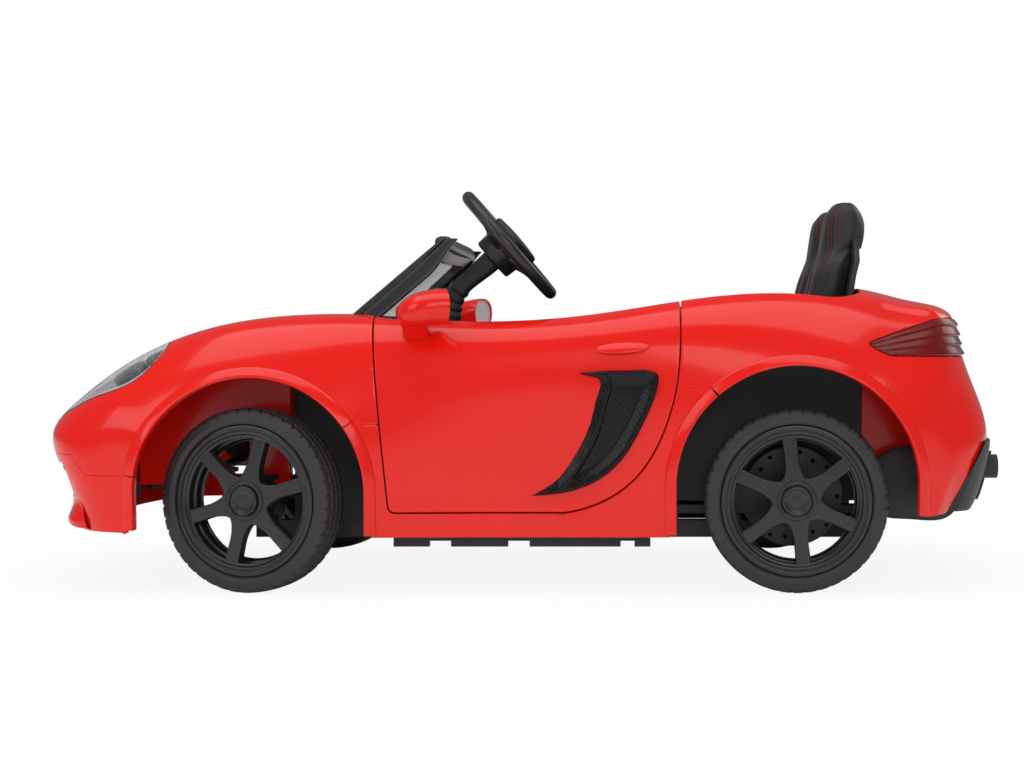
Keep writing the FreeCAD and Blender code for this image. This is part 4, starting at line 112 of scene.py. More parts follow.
def grid_faces(rows: int, columns: int, ring_rows: bool = False, ring_columns: bool = False) -> Array:
    """Quads of a grid whose point (i, j) has place i * columns + j.

    Args:
        rows: points along the first parameter.
        columns: points along the second parameter.
        ring_rows: whether the last row joins the first.
        ring_columns: whether the last column joins the first.

    Returns:
        Array of quads, one row each.
    """
    i, j = np.meshgrid(np.arange(rows - (not ring_rows)), np.arange(columns - (not ring_columns)),
                       indexing="ij")
    one, two = (i + 1) % rows, (j + 1) % columns
    quads = [i * columns + j, one * columns + j, one * columns + two, i * columns + two]
    return np.stack(quads, -1).reshape(-1, 4)


def surface(points: Array, ring_rows: bool = False, ring_columns: bool = False,
            turned: bool = False) -> Patch:
    """Grid of points (rows, columns, 3) as a patch, with its two parameters as the flat places."""
    rows, columns = points.shape[:2]
    faces = grid_faces(rows, columns, ring_rows, ring_columns)
    flat = np.stack(np.meshgrid(np.linspace(0, 1, rows), np.linspace(0, 1, columns), indexing="ij"), -1)
    return Patch(points.reshape(-1, 3), [faces[:, ::-1] if turned else faces], flat.reshape(-1, 2))


def capped(rings: Sequence[Array], turned: bool = False) -> Patch:
    """Closed body through rings of points, with a fan from each end ring to its middle."""
    ends = [np.repeat(rings[k].mean(0)[None], len(rings[k]), 0) for k in (0, -1)]
    return surface(np.stack([ends[0], *rings, ends[1]]), ring_columns=True, turned=turned)


def levels(loop: Array, rows: Sequence[tuple[float, float]]) -> Array:
    """Rings from rows (share, height): the flat loop drawn in to a share about its middle, at that height."""
    middle = loop.mean(0)
    return np.stack([np.column_stack([middle + share * (loop - middle), np.full(len(loop), z)])
                     for share, z in rows])


def full_turn(count: int) -> Array:
    """Angles evenly spaced round a circle."""
    return np.linspace(0, 2 * math.pi, count, endpoint=False)


def squared(angle: Array, power: float) -> tuple[Array, Array]:
    """Superellipse |x|^n + |y|^n = 1 at the given angles, with n = power."""
    cos, sin = np.cos(angle), np.sin(angle)
    return np.sign(cos) * np.abs(cos) ** (2 / power), np.sign(sin) * np.abs(sin) ** (2 / power)


def spin(angle: float) -> Array:
    """Turn round the Z axis by an angle in radians."""
    cos, sin = math.cos(angle), math.sin(angle)
    return np.array([[cos, -sin, 0], [sin, cos, 0], [0, 0, 1]])


def unit(rows: Array) -> Array:
    """Rows scaled to length one."""
    return rows / np.linalg.norm(rows, axis=1)[:, None]


def revolved(profile: Sequence[tuple[float, float]], count: int) -> Patch:
    """Ring round the Y axis: a row (out, r) of the profile at angle a gives (r cos a, -out, r sin a)."""
    angle = full_turn(count)[:, None]
    out, radius = np.array(profile, float).T[:, None]
    points = np.stack([radius * np.cos(angle), -out + 0 * angle, radius * np.sin(angle)], -1)
    return surface(points, ring_rows=True)


def smooth_step(low: float, high: float, value: Array) -> Array:
    """Zero below low, one above high, and 3t^2 - 2t^3 between them."""
    share = np.clip((value - low) / (high - low), 0, 1)
    return share * share * (3 - 2 * share)


def spline_weights(places: Array, at: Array) -> Array:
    """Weights that the natural cubic spline through the places gives to each of its values.

    Args:
        places: rising parameters of the values.
        at: parameters to evaluate, of any shape.

    Returns:
        Array of the shape of at, with one more axis as long as places.
    """
    count = len(places)
    step = np.diff(places)
    left, right = np.eye(count), np.zeros((count, count))
    for i in range(1, count - 1):
        left[i, i - 1 : i + 2] = step[i - 1], 2 * (step[i - 1] + step[i]), step[i]
        right[i, i - 1 : i + 2] = 6 / step[i - 1], -6 / step[i - 1] - 6 / step[i], 6 / step[i]
    bend = np.linalg.solve(left, right)
    unit = np.eye(count)
    i = np.clip(np.searchsorted(places, at, side="right") - 1, 0, count - 2)
    h = step[i][..., None]
    p = ((places[i + 1] - at) / step[i])[..., None]
    q = 1 - p
    return p * unit[i] + q * unit[i + 1] + ((p**3 - p) * bend[i] + (q**3 - q) * bend[i + 1]) * h * h / 6


def chord_lengths(line: Array) -> Array:
    """Length along a line's chords up to each of its points."""
    return np.concatenate([[0], np.cumsum(np.linalg.norm(np.diff(line, axis=0), axis=1))])


def smooth_loop(points: Sequence[Sequence[float]], count: int) -> Array:
    """Closed smooth curve: a natural spline over the loop, wrapped three points past both ends."""
    loop = np.asarray(points, float)
    wrapped = np.concatenate([loop[-3:], loop, loop[:4]])
    chord = chord_lengths(wrapped)
    at = np.linspace(chord[3], chord[3 + len(loop)], count, endpoint=False)
    return spline_weights(chord, at) @ wrapped


def smooth_line(points: Sequence[Sequence[float]], count: int) -> Array:
    """Open smooth curve through points: a natural spline over their chord lengths."""
    line = np.asarray(points, float)
    chord = chord_lengths(line)
    return spline_weights(chord, np.linspace(0, chord[-1], count)) @ line


def rounded_loop(points: Sequence[Sequence[float]], radius: float, count: int = 7) -> Array:
    """Closed outline with each corner an arc that touches both sides within 45% of their lengths."""
    corner = np.asarray(points, float)
    before, after = np.roll(corner, 1, 0) - corner, np.roll(corner, -1, 0) - corner
    long_before, long_after = np.linalg.norm(before, axis=1), np.linalg.norm(after, axis=1)
    before, after = before / long_before[:, None], after / long_after[:, None]
    half = np.arccos(np.clip((before * after).sum(1), -1, 1)) / 2
    cut = np.minimum(radius / np.tan(half), 0.45 * np.minimum(long_before, long_after))
    real = cut * np.tan(half)
    inward = before + after
    inward /= np.linalg.norm(inward, axis=1)[:, None]
    centre = corner + inward * (real / np.sin(half))[:, None]
    start = corner + before * cut[:, None] - centre
    sweep = math.pi - 2 * half
    sign = np.sign(before[:, 0] * after[:, 1] - before[:, 1] * after[:, 0])
    turn = np.linspace(0, 1, count)[None, :] * (-sign * sweep)[:, None]
    cos, sin = np.cos(turn), np.sin(turn)
    arc = np.stack([cos * start[:, :1] - sin * start[:, 1:], sin * start[:, :1] + cos * start[:, 1:]], -1)
    return (centre[:, None] + arc).reshape(-1, 2)


def side_gap(p: Array, start: Array, end: Array) -> Array:
    """Squared distances from points to the straight side between two points."""
    side = end - start
    share = np.clip(((p - start) @ side) / max(side @ side, TINY), 0, 1)
    gap = p - start - share[:, None] * side
    return (gap * gap).sum(1)


def line_gap(p: Array, line: Array) -> Array:
    """Squared distances from points to an open line."""
    best = np.full(len(p), FAR)
    for start, end in zip(line, line[1:]):
        best = np.minimum(best, side_gap(p, start, end))
    return best


def outline_distance(at: Array, outline: Array) -> Array:
    """Distance in mm from flat points to a closed outline, above zero inside it.

    The sign comes from counting the outline's crossings of a ray; the size is the least distance to a side,
    and points further than NEAR_MM from the outline's box are simply outside by that much.
    """
    flat = at.reshape(-1, 2)
    low, high = outline.min(0) - NEAR_MM, outline.max(0) + NEAR_MM
    near = np.all((flat > low) & (flat < high), axis=1)
    result = np.full(len(flat), -NEAR_MM)
    p = flat[near]
    inside = np.zeros(len(p), bool)
    for start, end in zip(outline, np.roll(outline, -1, 0)):
        side = end - start
        crosses = (start[1] > p[:, 1]) != (end[1] > p[:, 1])
        inside ^= crosses & (p[:, 0] < start[0] + (p[:, 1] - start[1]) * side[0] / (side[1] or TINY))
    closed = np.concatenate([outline, outline[:1]])
    result[near] = np.where(inside, 1, -1) * np.sqrt(line_gap(p, closed))
    return result.reshape(at.shape[:-1])


class Sheet:
    """A face S(u, v) that panels are cut from; a unit of u is about long_mm and one of v about wide_mm."""

    long_mm: float = 1.0
    wide_mm: float = 1.0
    halvings: int = 14
    edge_deg: tuple = (30, 60, 90)

    def at(self, uv: Array) -> Array:
        """Points of the face in mm for rows (u, v)."""
        raise NotImplementedError

    def normal(self, uv: Array) -> Array:
        """Outward unit normals for rows (u, v)."""
        raise NotImplementedError

    def clipped(self, inside: Region, u_span: tuple[float, float], v_span: tuple[float, float],
                cell: float) -> tuple:
        """Cut the face to the region where a function of the points isn't below zero.

        Triangles across the border are cut where bisection along their edges finds zero.

        Args:
            inside: signed distance of points in mm, above zero inside.
            u_span: part of the face to look at.
            v_span: part of the face to look at.
            cell: grid spacing in mm.

        Returns:
            Parameters (u, v) of the kept points and triangles between them.
        """
        long = self.long_mm * (u_span[1] - u_span[0])
        wide = self.wide_mm * (v_span[1] - v_span[0])
        rows, columns = max(int(long / cell), 4), max(int(wide / cell), 4)
        u, v = np.meshgrid(np.linspace(*u_span, rows), np.linspace(*v_span, columns), indexing="ij")
        uv = np.stack([u.ravel(), v.ravel()], -1)
        value = inside(self.at(uv))
        quads = grid_faces(rows, columns)
        triangles = np.concatenate([quads[:, [0, 1, 2]], quads[:, [0, 2, 3]]])
        kept = value >= 0
        count = kept[triangles].sum(1)
        whole = triangles[count == 3]
        cut = triangles[(count == 1) | (count == 2)]
        lone_is_in = kept[cut].sum(1) == 1
        lone = np.argmax(kept[cut] == lone_is_in[:, None], axis=1)
        order = (lone[:, None] + np.arange(3)) % 3
        cut = np.take_along_axis(cut, order, 1)
        pairs = np.concatenate([cut[:, [0, 1]], cut[:, [0, 2]]])
        unique, place = np.unique(np.sort(pairs, 1), axis=0, return_inverse=True)
        place = place.ravel()
        first_in = kept[unique[:, 0]]
        good = uv[np.where(first_in, unique[:, 0], unique[:, 1])].copy()
        bad = uv[np.where(first_in, unique[:, 1], unique[:, 0])].copy()
        for _ in range(self.halvings):
            middle = (good + bad) / 2
            fine = inside(self.at(middle)) >= 0
            good[fine], bad[~fine] = middle[fine], middle[~fine]
        new = len(uv) + place
        one, two = new[: len(cut)], new[len(cut) :]
        tips = np.stack([cut[:, 0], one, two], -1)[lone_is_in]
        rest = ~lone_is_in
        bases = np.concatenate([
            np.stack([one, cut[:, 1], cut[:, 2]], -1)[rest],
            np.stack([one, cut[:, 2], two], -1)[rest],
        ])
        triangles = np.concatenate([whole, tips, bases])
        uv = np.concatenate([uv, good])
        used, triangles = np.unique(triangles, return_inverse=True)
        return uv[used], triangles.reshape(-1, 3)

    def panel(self, inside: Region, u_span: tuple[float, float] = (0, 1),
              v_span: tuple[float, float] = (-1, 1), cell: float = 4.0, lift: float = 0.0, wall: float = 3.0,
              edge: float = 1.0, flange: float = 0.0) -> Patch:
        """Moulded panel over a region: an outer face, rounded edges and an inner face one wall below.

        An edge leaves the outer face along a quarter circle of radius edge and goes straight down to the
        inner face.

        Args:
            inside: signed distance of points in mm, above zero inside the panel's finished outline.
            u_span: part of the face to look at.
            v_span: part of the face to look at.
            cell: grid spacing in mm.
            lift: height of the outer face over the body's face in mm.
            wall: thickness in mm.
            edge: radius of the rounded edges in mm.
            flange: depth of a turned-in edge in mm, if it is deeper than the wall.

        Returns:
            The closed panel.
        """
        uv, triangles = self.clipped(lambda p: inside(p) - edge, u_span, v_span, cell)
        normal = self.normal(uv)
        outer = self.at(uv) + normal * lift
        sides = np.concatenate([triangles[:, [0, 1]], triangles[:, [1, 2]], triangles[:, [2, 0]]])
        _, place, count = np.unique(np.sort(sides, 1), axis=0, return_inverse=True, return_counts=True)
        border = sides[count[place.ravel()] == 1]
        rim, local = np.unique(border, return_inverse=True)
        local = local.reshape(-1, 2)
        run = outer[border[:, 1]] - outer[border[:, 0]]
        aside = np.cross(run, normal[border[:, 0]])
        out = np.zeros((len(rim), 3))
        np.add.at(out, local[:, 0], aside)
        np.add.at(out, local[:, 1], aside)
        out /= np.maximum(np.linalg.norm(out, axis=1), 1e-9)[:, None]
        base, down = outer[rim], normal[rim]
        rows = [base + out * edge * math.sin(a) - down * edge * (1 - math.cos(a))
                for a in np.radians(self.edge_deg)]
        if flange > wall:
            rows.append(base + out * edge - down * flange)
            rows.append(base + out * (edge - wall) - down * flange)
            rows.append(base + out * (edge - wall) - down * (wall + 1))
        else:
            rows.append(base + out * edge - down * wall)
        count_all, ring = len(outer), len(rim)
        inner = outer - normal * wall
        points = np.concatenate([outer] + rows + [inner])
        last = count_all + len(rows) * ring
        places = [rim] + [count_all + k * ring + np.arange(ring) for k in range(len(rows))] + [last + rim]
        strips = [np.stack([a[local[:, 1]], a[local[:, 0]], b[local[:, 0]], b[local[:, 1]]], -1)
                  for a, b in zip(places, places[1:])]
        flat = points[:, [0, 2]] * MM
        return Patch(points, [triangles, np.concatenate(strips), triangles[:, ::-1] + last], flat)


# The body's skin

NET_MM = np.array([
    [(-640, 0, 85), (-637, 140, 85), (-618, 258, 85), (-578, 322, 85), (-540, 340, 85)],
    [(-658, 0, 150), (-655, 140, 150), (-640, 258, 150), (-590, 326, 145), (-522, 343, 85)],
    [(-677, 0, 217), (-674, 140, 218), (-658, 258, 220), (-588, 330, 196), (-500, 345, 84)],
    [(-655, 0, 250), (-650, 140, 251), (-628, 258, 258), (-555, 341, 222), (-465, 348, 83)],
    [(-560, 0, 305), (-560, 136, 306), (-548, 256, 318), (-492, 349, 238), (-415, 351, 82)],
    [(-440, 0, 345), (-440, 136, 346), (-440, 262, 362), (-415, 355, 245), (-360, 353, 80)],
    [(-310, 0, 367), (-310, 138, 367), (-310, 268, 379), (-315, 354, 247), (-295, 350, 78)],
    [(-215, 0, 374), (-215, 142, 375), (-215, 282, 377), (-215, 345, 248), (-215, 341, 78)],
    [(-60, 0, 376), (-60, 150, 375), (-60, 297, 369), (-60, 338, 248), (-60, 333, 78)],
    [(100, 0, 390), (100, 150, 388), (100, 300, 378), (100, 339, 252), (100, 334, 78)],
    [(240, 0, 410), (240, 150, 409), (240, 296, 400), (240, 350, 262), (235, 342, 79)],
    [(365, 0, 421), (365, 146, 420), (365, 284, 412), (360, 361, 270), (340, 352, 82)],
    [(490, 0, 422), (485, 140, 420), (470, 272, 404), (455, 360, 272), (420, 354, 90)],
    [(560, 0, 405), (558, 136, 403), (545, 264, 388), (515, 352, 268), (475, 350, 99)],
    [(617, 0, 386), (612, 132, 384), (591, 258, 376), (555, 341, 258), (515, 345, 104)],
    [(632, 0, 335), (627, 132, 335), (609, 256, 332), (580, 329, 225), (545, 338, 106)],
    [(664, 0, 215), (661, 130, 214), (648, 252, 212), (604, 312, 170), (570, 328, 108)],
    [(640, 0, 115), (637, 128, 114), (622, 246, 112), (596, 296, 112), (580, 316, 109)],
], float)
ACROSS_SHARES = np.array([0, 0.24, 0.45, 0.72, 1.0])


class BodySkin(Sheet):
    """The body's outer face S(u, v): u runs from the lower nose to the lower tail, v from left to right.

    Five lines along the car, and their mirror images, are natural splines over the chord of the crest line;
    each cross rib is a natural spline through the lines at fixed shares.
    """

    long_mm = 1760.0
    wide_mm = 560.0
    seeds: tuple = (160, 121)
    step: float = 1e-4
    newton_steps: int = 12
    largest_step: tuple = (0.03, 0.06)
    least: tuple = (0, -1)

    def __init__(self) -> None:
        """Work out the parameters of the ribs and the full net of both sides."""
        crest = NET_MM[:, 2]
        chord = chord_lengths(crest)
        self.along = chord / chord[-1]
        self.across = np.concatenate([-ACROSS_SHARES[:0:-1], ACROSS_SHARES])
        self.net = np.concatenate([NET_MM[:, :0:-1] * (1, -1, 1), NET_MM], axis=1)
        rows, columns = self.seeds
        u, v = np.meshgrid(np.linspace(0, 1, rows), np.linspace(-1, 1, columns), indexing="ij")
        self.seed_uv = np.stack([u.ravel(), v.ravel()], -1)
        self.seed = self.at(self.seed_uv)

    def at(self, uv: Array) -> Array:
        """Points of the face in mm for rows (u, v)."""
        one = spline_weights(self.along, uv[:, 0])
        two = spline_weights(self.across, uv[:, 1])
        return np.einsum("nr,rak,na->nk", one, self.net, two, optimize=True)

    def normal(self, uv: Array) -> Array:
        """Outward unit normals for rows (u, v), from central differences."""
        moved = lambda step: self.at(np.clip(uv + step, self.least, 1))
        du, dv = np.array([2 * self.step, 0]), np.array([0, 2 * self.step])
        return unit(np.cross(moved(du) - moved(-du), moved(dv) - moved(-dv)))

    def locate(self, target: Array, axes: tuple[int, int], near: Region) -> Array:
        """Find (u, v) of points given by two of their coordinates, by Newton steps from the closest seed.

        Args:
            target: rows of the two coordinates in mm.
            axes: which two coordinates they are.
            near: tells by a value above zero which part of the body is meant.

        Returns:
            Rows (u, v).
        """
        seeds = np.flatnonzero(near(self.seed) > 0)
        flat = self.seed[seeds][:, axes]
        gap = ((target[:, None] - flat[None]) ** 2).sum(-1)
        uv = self.seed_uv[seeds[gap.argmin(1)]].copy()
        flat_cross = lambda a, b: a[:, 0] * b[:, 1] - a[:, 1] * b[:, 0]
        step, most, smallest = self.step, np.array(self.largest_step), 1e-6
        for _ in range(self.newton_steps):
            here = self.at(uv)[:, axes]
            by_u = (self.at(uv + (step, 0))[:, axes] - here) / step
            by_v = (self.at(uv + (0, step))[:, axes] - here) / step
            miss = target - here
            size = flat_cross(by_u, by_v)
            size = np.where(np.abs(size) < smallest, smallest, size)
            change = np.stack([flat_cross(miss, by_v) / size, flat_cross(by_u, miss) / size], -1)
            uv = np.clip(uv + np.clip(change, -most, most), self.least, 1)
        return uv

    def side_uv(self, flat: Array, side: Side) -> Array:
        """Parameters of the points of one flank with the given X and Z."""
        return self.locate(flat, (0, 2), lambda p: p[:, 1] * side.value - 100)


SKIN = BodySkin()


# Finishes


def linear(code: str) -> tuple[float, float, float, float]:
    """Linear colour of an sRGB hex code such as "e23026"."""
    parts = [int(code[i : i + 2], 16) / 255 for i in (0, 2, 4)]
    red, green, blue = [c / 12.92 if c <= 0.04045 else ((c + 0.055) / 1.055) ** 2.4 for c in parts]
    return red, green, blue, 1.0


def add_node(tree: bpy.types.NodeTree, kind: str, values: dict | None = None, links: dict | None = None,
             **settings) -> bpy.types.Node:
    """Add a node, set its properties and inputs, and link its inputs.

    Args:
        tree: node tree to add to.
        kind: node type, such as "ShaderNodeTexNoise".
        values: input name or place to a fixed value.
        links: input name or place to the output socket that feeds it.
        **settings: node properties.

    Returns:
        The new node.
    """
    node = tree.nodes.new(kind)
    for name, value in settings.items():
        setattr(node, name, value)
    for name, value in (values or {}).items():
        node.inputs[name].default_value = value
    for name, socket in (links or {}).items():
        tree.links.new(socket, node.inputs[name])
    return node


@dataclass(frozen=True)
class Finish:
    """A surface: common name, two colours that drift into each other, and a grain with a real width.

    The grain is a noise whose features are grain_mm wide; it moves the roughness a little and lifts the
    surface by depth_mm, and a second noise, drift_mm wide, mixes the two colours.
    """

    name: str
    colour: str
    second: str
    rough: float
    rough_swing: float = 0.06
    metallic: float = 0.0
    coat: float = 0.0
    coat_rough: float = 0.05
    grain_mm: float = 1.5
    depth_mm: float = 0.05
    drift_mm: float = 90.0
    sheen: float = 0.0
    transmission: float = 0.0
    ior: float = 1.5
    specular: float = 0.5

    def shader(self, tree: bpy.types.NodeTree, place: Socket, shown: bpy.types.Node) -> None:
        """Add the nodes of the finish.

        Args:
            tree: the material's node tree.
            place: socket with Object coordinates.
            shown: the material's shader node.
        """
        self.tint(tree, self.noise(tree, place, self.drift_mm, 3.0), shown)
        self.relief(tree, self.noise(tree, place, self.grain_mm, 2.0), shown, self.rough_swing)

    def noise(self, tree: bpy.types.NodeTree, place: Socket, wide_mm: float, detail: float) -> Socket:
        """Noise with features of a given width, as a socket."""
        settings = {"Scale": 1 / (wide_mm * MM), "Detail": detail}
        return add_node(tree, "ShaderNodeTexNoise", settings, {"Vector": place}).outputs[0]

    def tint(self, tree: bpy.types.NodeTree, drift: Socket, shown: bpy.types.Node) -> None:
        """Mix the two colours by a socket."""
        colours = {6: linear(self.colour), 7: linear(self.second)}
        mixed = add_node(tree, "ShaderNodeMix", colours, {0: drift}, data_type="RGBA")
        tree.links.new(mixed.outputs[2], shown.inputs["Base Color"])

    def relief(self, tree: bpy.types.NodeTree, height: Socket, shown: bpy.types.Node, swing: float) -> None:
        """Lift the surface by a height socket, and swing the roughness about its middle."""
        span = {"To Min": self.rough - swing, "To Max": self.rough + swing}
        rough = add_node(tree, "ShaderNodeMapRange", span, {"Value": height})
        tree.links.new(rough.outputs[0], shown.inputs["Roughness"])
        if self.depth_mm:
            depth = {"Strength": 0.6, "Distance": self.depth_mm * MM}
            bump = add_node(tree, "ShaderNodeBump", depth, {"Height": height})
            tree.links.new(bump.outputs[0], shown.inputs["Normal"])

    def material(self) -> bpy.types.Material:
        """Return the finish as a material, made once."""
        found = bpy.data.materials.get(self.name)
        if found:
            return found
        made = bpy.data.materials.new(self.name)
        made.use_nodes = True
        tree = made.node_tree
        shown = tree.nodes["Principled BSDF"]
        fixed = {"Metallic": self.metallic, "IOR": self.ior, "Coat Weight": self.coat,
                 "Coat Roughness": self.coat_rough, "Sheen Weight": self.sheen,
                 "Transmission Weight": self.transmission, "Specular IOR Level": self.specular}
        for socket, value in fixed.items():
            shown.inputs[socket].default_value = value
        made.diffuse_color = linear(self.colour)
        place = add_node(tree, "ShaderNodeTexCoord").outputs["Object"]
        self.shader(tree, place, shown)
        return made


@dataclass(frozen=True)
class WeaveFinish(Finish):
    """Moulded weave pattern: threads lie at 45 degrees and pass over and under each other.

    A checker pattern of thread_mm squares, turned by 45 degrees, gives the threads' shade and says which of
    two crossed waves, a thread wide, gives their height. A wave of Scale 1 is 0.314 m long.
    """

    thread_mm: float = 3.0
    wave_length: float = 0.314

    def shader(self, tree: bpy.types.NodeTree, place: Socket, shown: bpy.types.Node) -> None:
        """Add the nodes of the weave; the arguments are those of Finish.shader."""
        turn = add_node(tree, "ShaderNodeMapping", {"Rotation": (0.0, math.radians(45), 0.0)},
                        {"Vector": place})
        size = {"Scale": 1 / (self.thread_mm * MM), "Color1": linear(self.colour),
                "Color2": linear(self.second)}
        check = add_node(tree, "ShaderNodeTexChecker", size, {"Vector": turn.outputs[0]})
        tree.links.new(check.outputs[0], shown.inputs["Base Color"])
        bands = {"Scale": self.wave_length / (self.thread_mm * MM) / 2, "Distortion": 0.0}
        turned = {"Vector": turn.outputs[0]}
        along, across = [add_node(tree, "ShaderNodeTexWave", bands, turned, bands_direction=axis)
                         for axis in "XZ"]
        heights = {0: check.outputs[1], 2: along.outputs[1], 3: across.outputs[1]}
        thread = add_node(tree, "ShaderNodeMix", None, heights, data_type="FLOAT")
        self.relief(tree, thread.outputs[0], shown, self.rough_swing)


@dataclass(frozen=True)
class LeatherFinish(Finish):
    """Coated fabric with a pressed leather grain: cells grain_mm wide with narrow, duller valleys."""

    valley: float = 0.12

    def shader(self, tree: bpy.types.NodeTree, place: Socket, shown: bpy.types.Node) -> None:
        """Add the nodes of the grain; the arguments are those of Finish.shader."""
        self.tint(tree, self.noise(tree, place, self.drift_mm, 4.0), shown)
        cell = add_node(tree, "ShaderNodeTexVoronoi", {"Scale": 1 / (self.grain_mm * MM)}, {"Vector": place},
                        feature="DISTANCE_TO_EDGE")
        height = add_node(tree, "ShaderNodeMapRange", {"From Max": self.valley}, {"Value": cell.outputs[0]})
        self.relief(tree, height.outputs[0], shown, -self.rough_swing)


# Gloss ABS, moulded and polished in the tool: a strong red with a clear, faintly rippled reflection.
RED_ABS = Finish("gloss_red_abs", "e6180b", "df150a", 0.2, 0.03, coat=0.3, coat_rough=0.05, grain_mm=9,
                 depth_mm=0.02, drift_mm=260, specular=0.3)
# Polypropylene with a fine spark-eroded grain: near black and dull, with a soft grey sheen at its edges.
BLACK_PP = Finish("grained_black_polypropylene", "242425", "2c2c2d", 0.55, 0.08, grain_mm=1.2, depth_mm=0.12,
                  drift_mm=70)
# Polypropylene with a satin tool finish: smoother, so that broad lights show on it.
SATIN_PP = Finish("satin_black_polypropylene", "1f1f20", "292929", 0.34, 0.05, coat=0.1, grain_mm=1.6,
                  depth_mm=0.05, drift_mm=60)
# Satin black moulded wheel: even charcoal with a broad sheen along the spokes.
RIM_PP = Finish("satin_black_wheel_plastic", "1d1d1e", "252526", 0.28, 0.05, coat=0.15, grain_mm=1.4,
                depth_mm=0.06, drift_mm=50)
# Moulded tyre rubber: charcoal, dull, with faint dusty patches.
RUBBER = Finish("tyre_rubber", "272727", "313030", 0.5, 0.08, grain_mm=1.1, depth_mm=0.1, drift_mm=45)
# ABS with a moulded weave under lacquer: dark threads that flash one way and then the other.
WEAVE = WeaveFinish("carbon_look_abs", "0a0809", "151213", 0.3, 0.08, coat=0.14, depth_mm=0.25, thread_mm=3.2,
                    specular=0.2)
# Coated fabric: black with a pressed grain, dull valleys and a soft bloom.
LEATHER = LeatherFinish("black_coated_fabric", "19181a", "232122", 0.52, 0.06, grain_mm=2.6, depth_mm=0.18,
                        drift_mm=40, sheen=0.08)
# Twisted polyester thread and welt in dark red.
RED_WELT = Finish("dark_red_welt", "4e1114", "5c1518", 0.6, 0.05, grain_mm=0.9, depth_mm=0.08, drift_mm=8,
                  sheen=0.1)
# Powder-coated steel tube: black with a slight orange peel.
BLACK_STEEL = Finish("black_powder_coat", "202021", "272728", 0.42, 0.06, grain_mm=2.2, depth_mm=0.06,
                     drift_mm=60)
# Dull oiled steel: dark grey with a faint brushed unevenness.
DULL_STEEL = Finish("dull_oiled_steel", "4a4b4d", "3b3c3e", 0.36, 0.1, metallic=1.0, grain_mm=2.0,
                    depth_mm=0.03, drift_mm=25)
# Polycarbonate lamp lens: clear with a gloss face.
CLEAR_PC = Finish("clear_lamp_polycarbonate", "f6f8fa", "eef2f5", 0.05, 0.02, transmission=1.0, ior=1.45,
                  grain_mm=14, depth_mm=0.0, drift_mm=120)
# Vacuum-plated reflector: bright, slightly soft mirror.
PLATED = Finish("plated_reflector", "c9ccd0", "b4b8bd", 0.2, 0.05, metallic=1.0, grain_mm=6, depth_mm=0.03,
                drift_mm=30)
# Red lamp acrylic over a dark housing: deep wine red with a gloss face.
RED_PC = Finish("dark_red_lamp_acrylic", "7a120a", "580b07", 0.24, 0.03, coat=0.05, coat_rough=0.05,
                grain_mm=5, depth_mm=0.03, drift_mm=35, specular=0.3)
# Thin clear acrylic sheet of the screen.
SCREEN_PC = Finish("clear_screen_acrylic", "f4f6f6", "eceff0", 0.03, 0.01, transmission=1.0, ior=1.45,
                   grain_mm=40, depth_mm=0.0, drift_mm=200)
# Grey lamp housing: an even mid grey with a satin face.
LAMP_GREY = Finish("grey_lamp_housing", "a3a4a8", "96979c", 0.35, 0.05, grain_mm=3, depth_mm=0.03,
                   drift_mm=30)
# Smoked lamp lens: dark glass with a gloss face.
SMOKED = Finish("smoked_lamp_lens", "3c4046", "4a4e55", 0.08, 0.02, coat=0.5, grain_mm=6, depth_mm=0.0,
                drift_mm=20)
# Silvered plastic mirror film, only partly metallic: its pale grey base is a painted reflection of the white
# room, so that it looks pale.
MIRROR_PAINTED_REFLECTION = Finish("mirror_film", "dcdedf", "cfd2d3", 0.08, 0.02, metallic=0.35, grain_mm=20, depth_mm=0.0,
                drift_mm=40)
# Gloss button caps.
BUTTON_RED = Finish("gloss_red_button", "a01a16", "8c1512", 0.2, 0.03, coat=0.4, grain_mm=4, depth_mm=0.02,
                    drift_mm=20)
ROCKER_BLACK = Finish("gloss_black_rocker", "1e1e1f", "262627", 0.25, 0.04, coat=0.3, grain_mm=4,
                      depth_mm=0.02, drift_mm=20)

NODE_FINISHES = {
    "body_red": RED_ABS, "black_plastic": BLACK_PP, "satin_black": SATIN_PP, "carbon_look": WEAVE,
    "rim_black": RIM_PP, "tyre": RUBBER, "black_steel": BLACK_STEEL, "bare_steel": DULL_STEEL,
    "seat_leather": LEATHER, "clear_lens": CLEAR_PC, "reflector": PLATED, "red_lens": RED_PC,
    "screen_glass": SCREEN_PC, "mirror": MIRROR_PAINTED_REFLECTION, "button_red": BUTTON_RED, "rocker_black": ROCKER_BLACK,
}


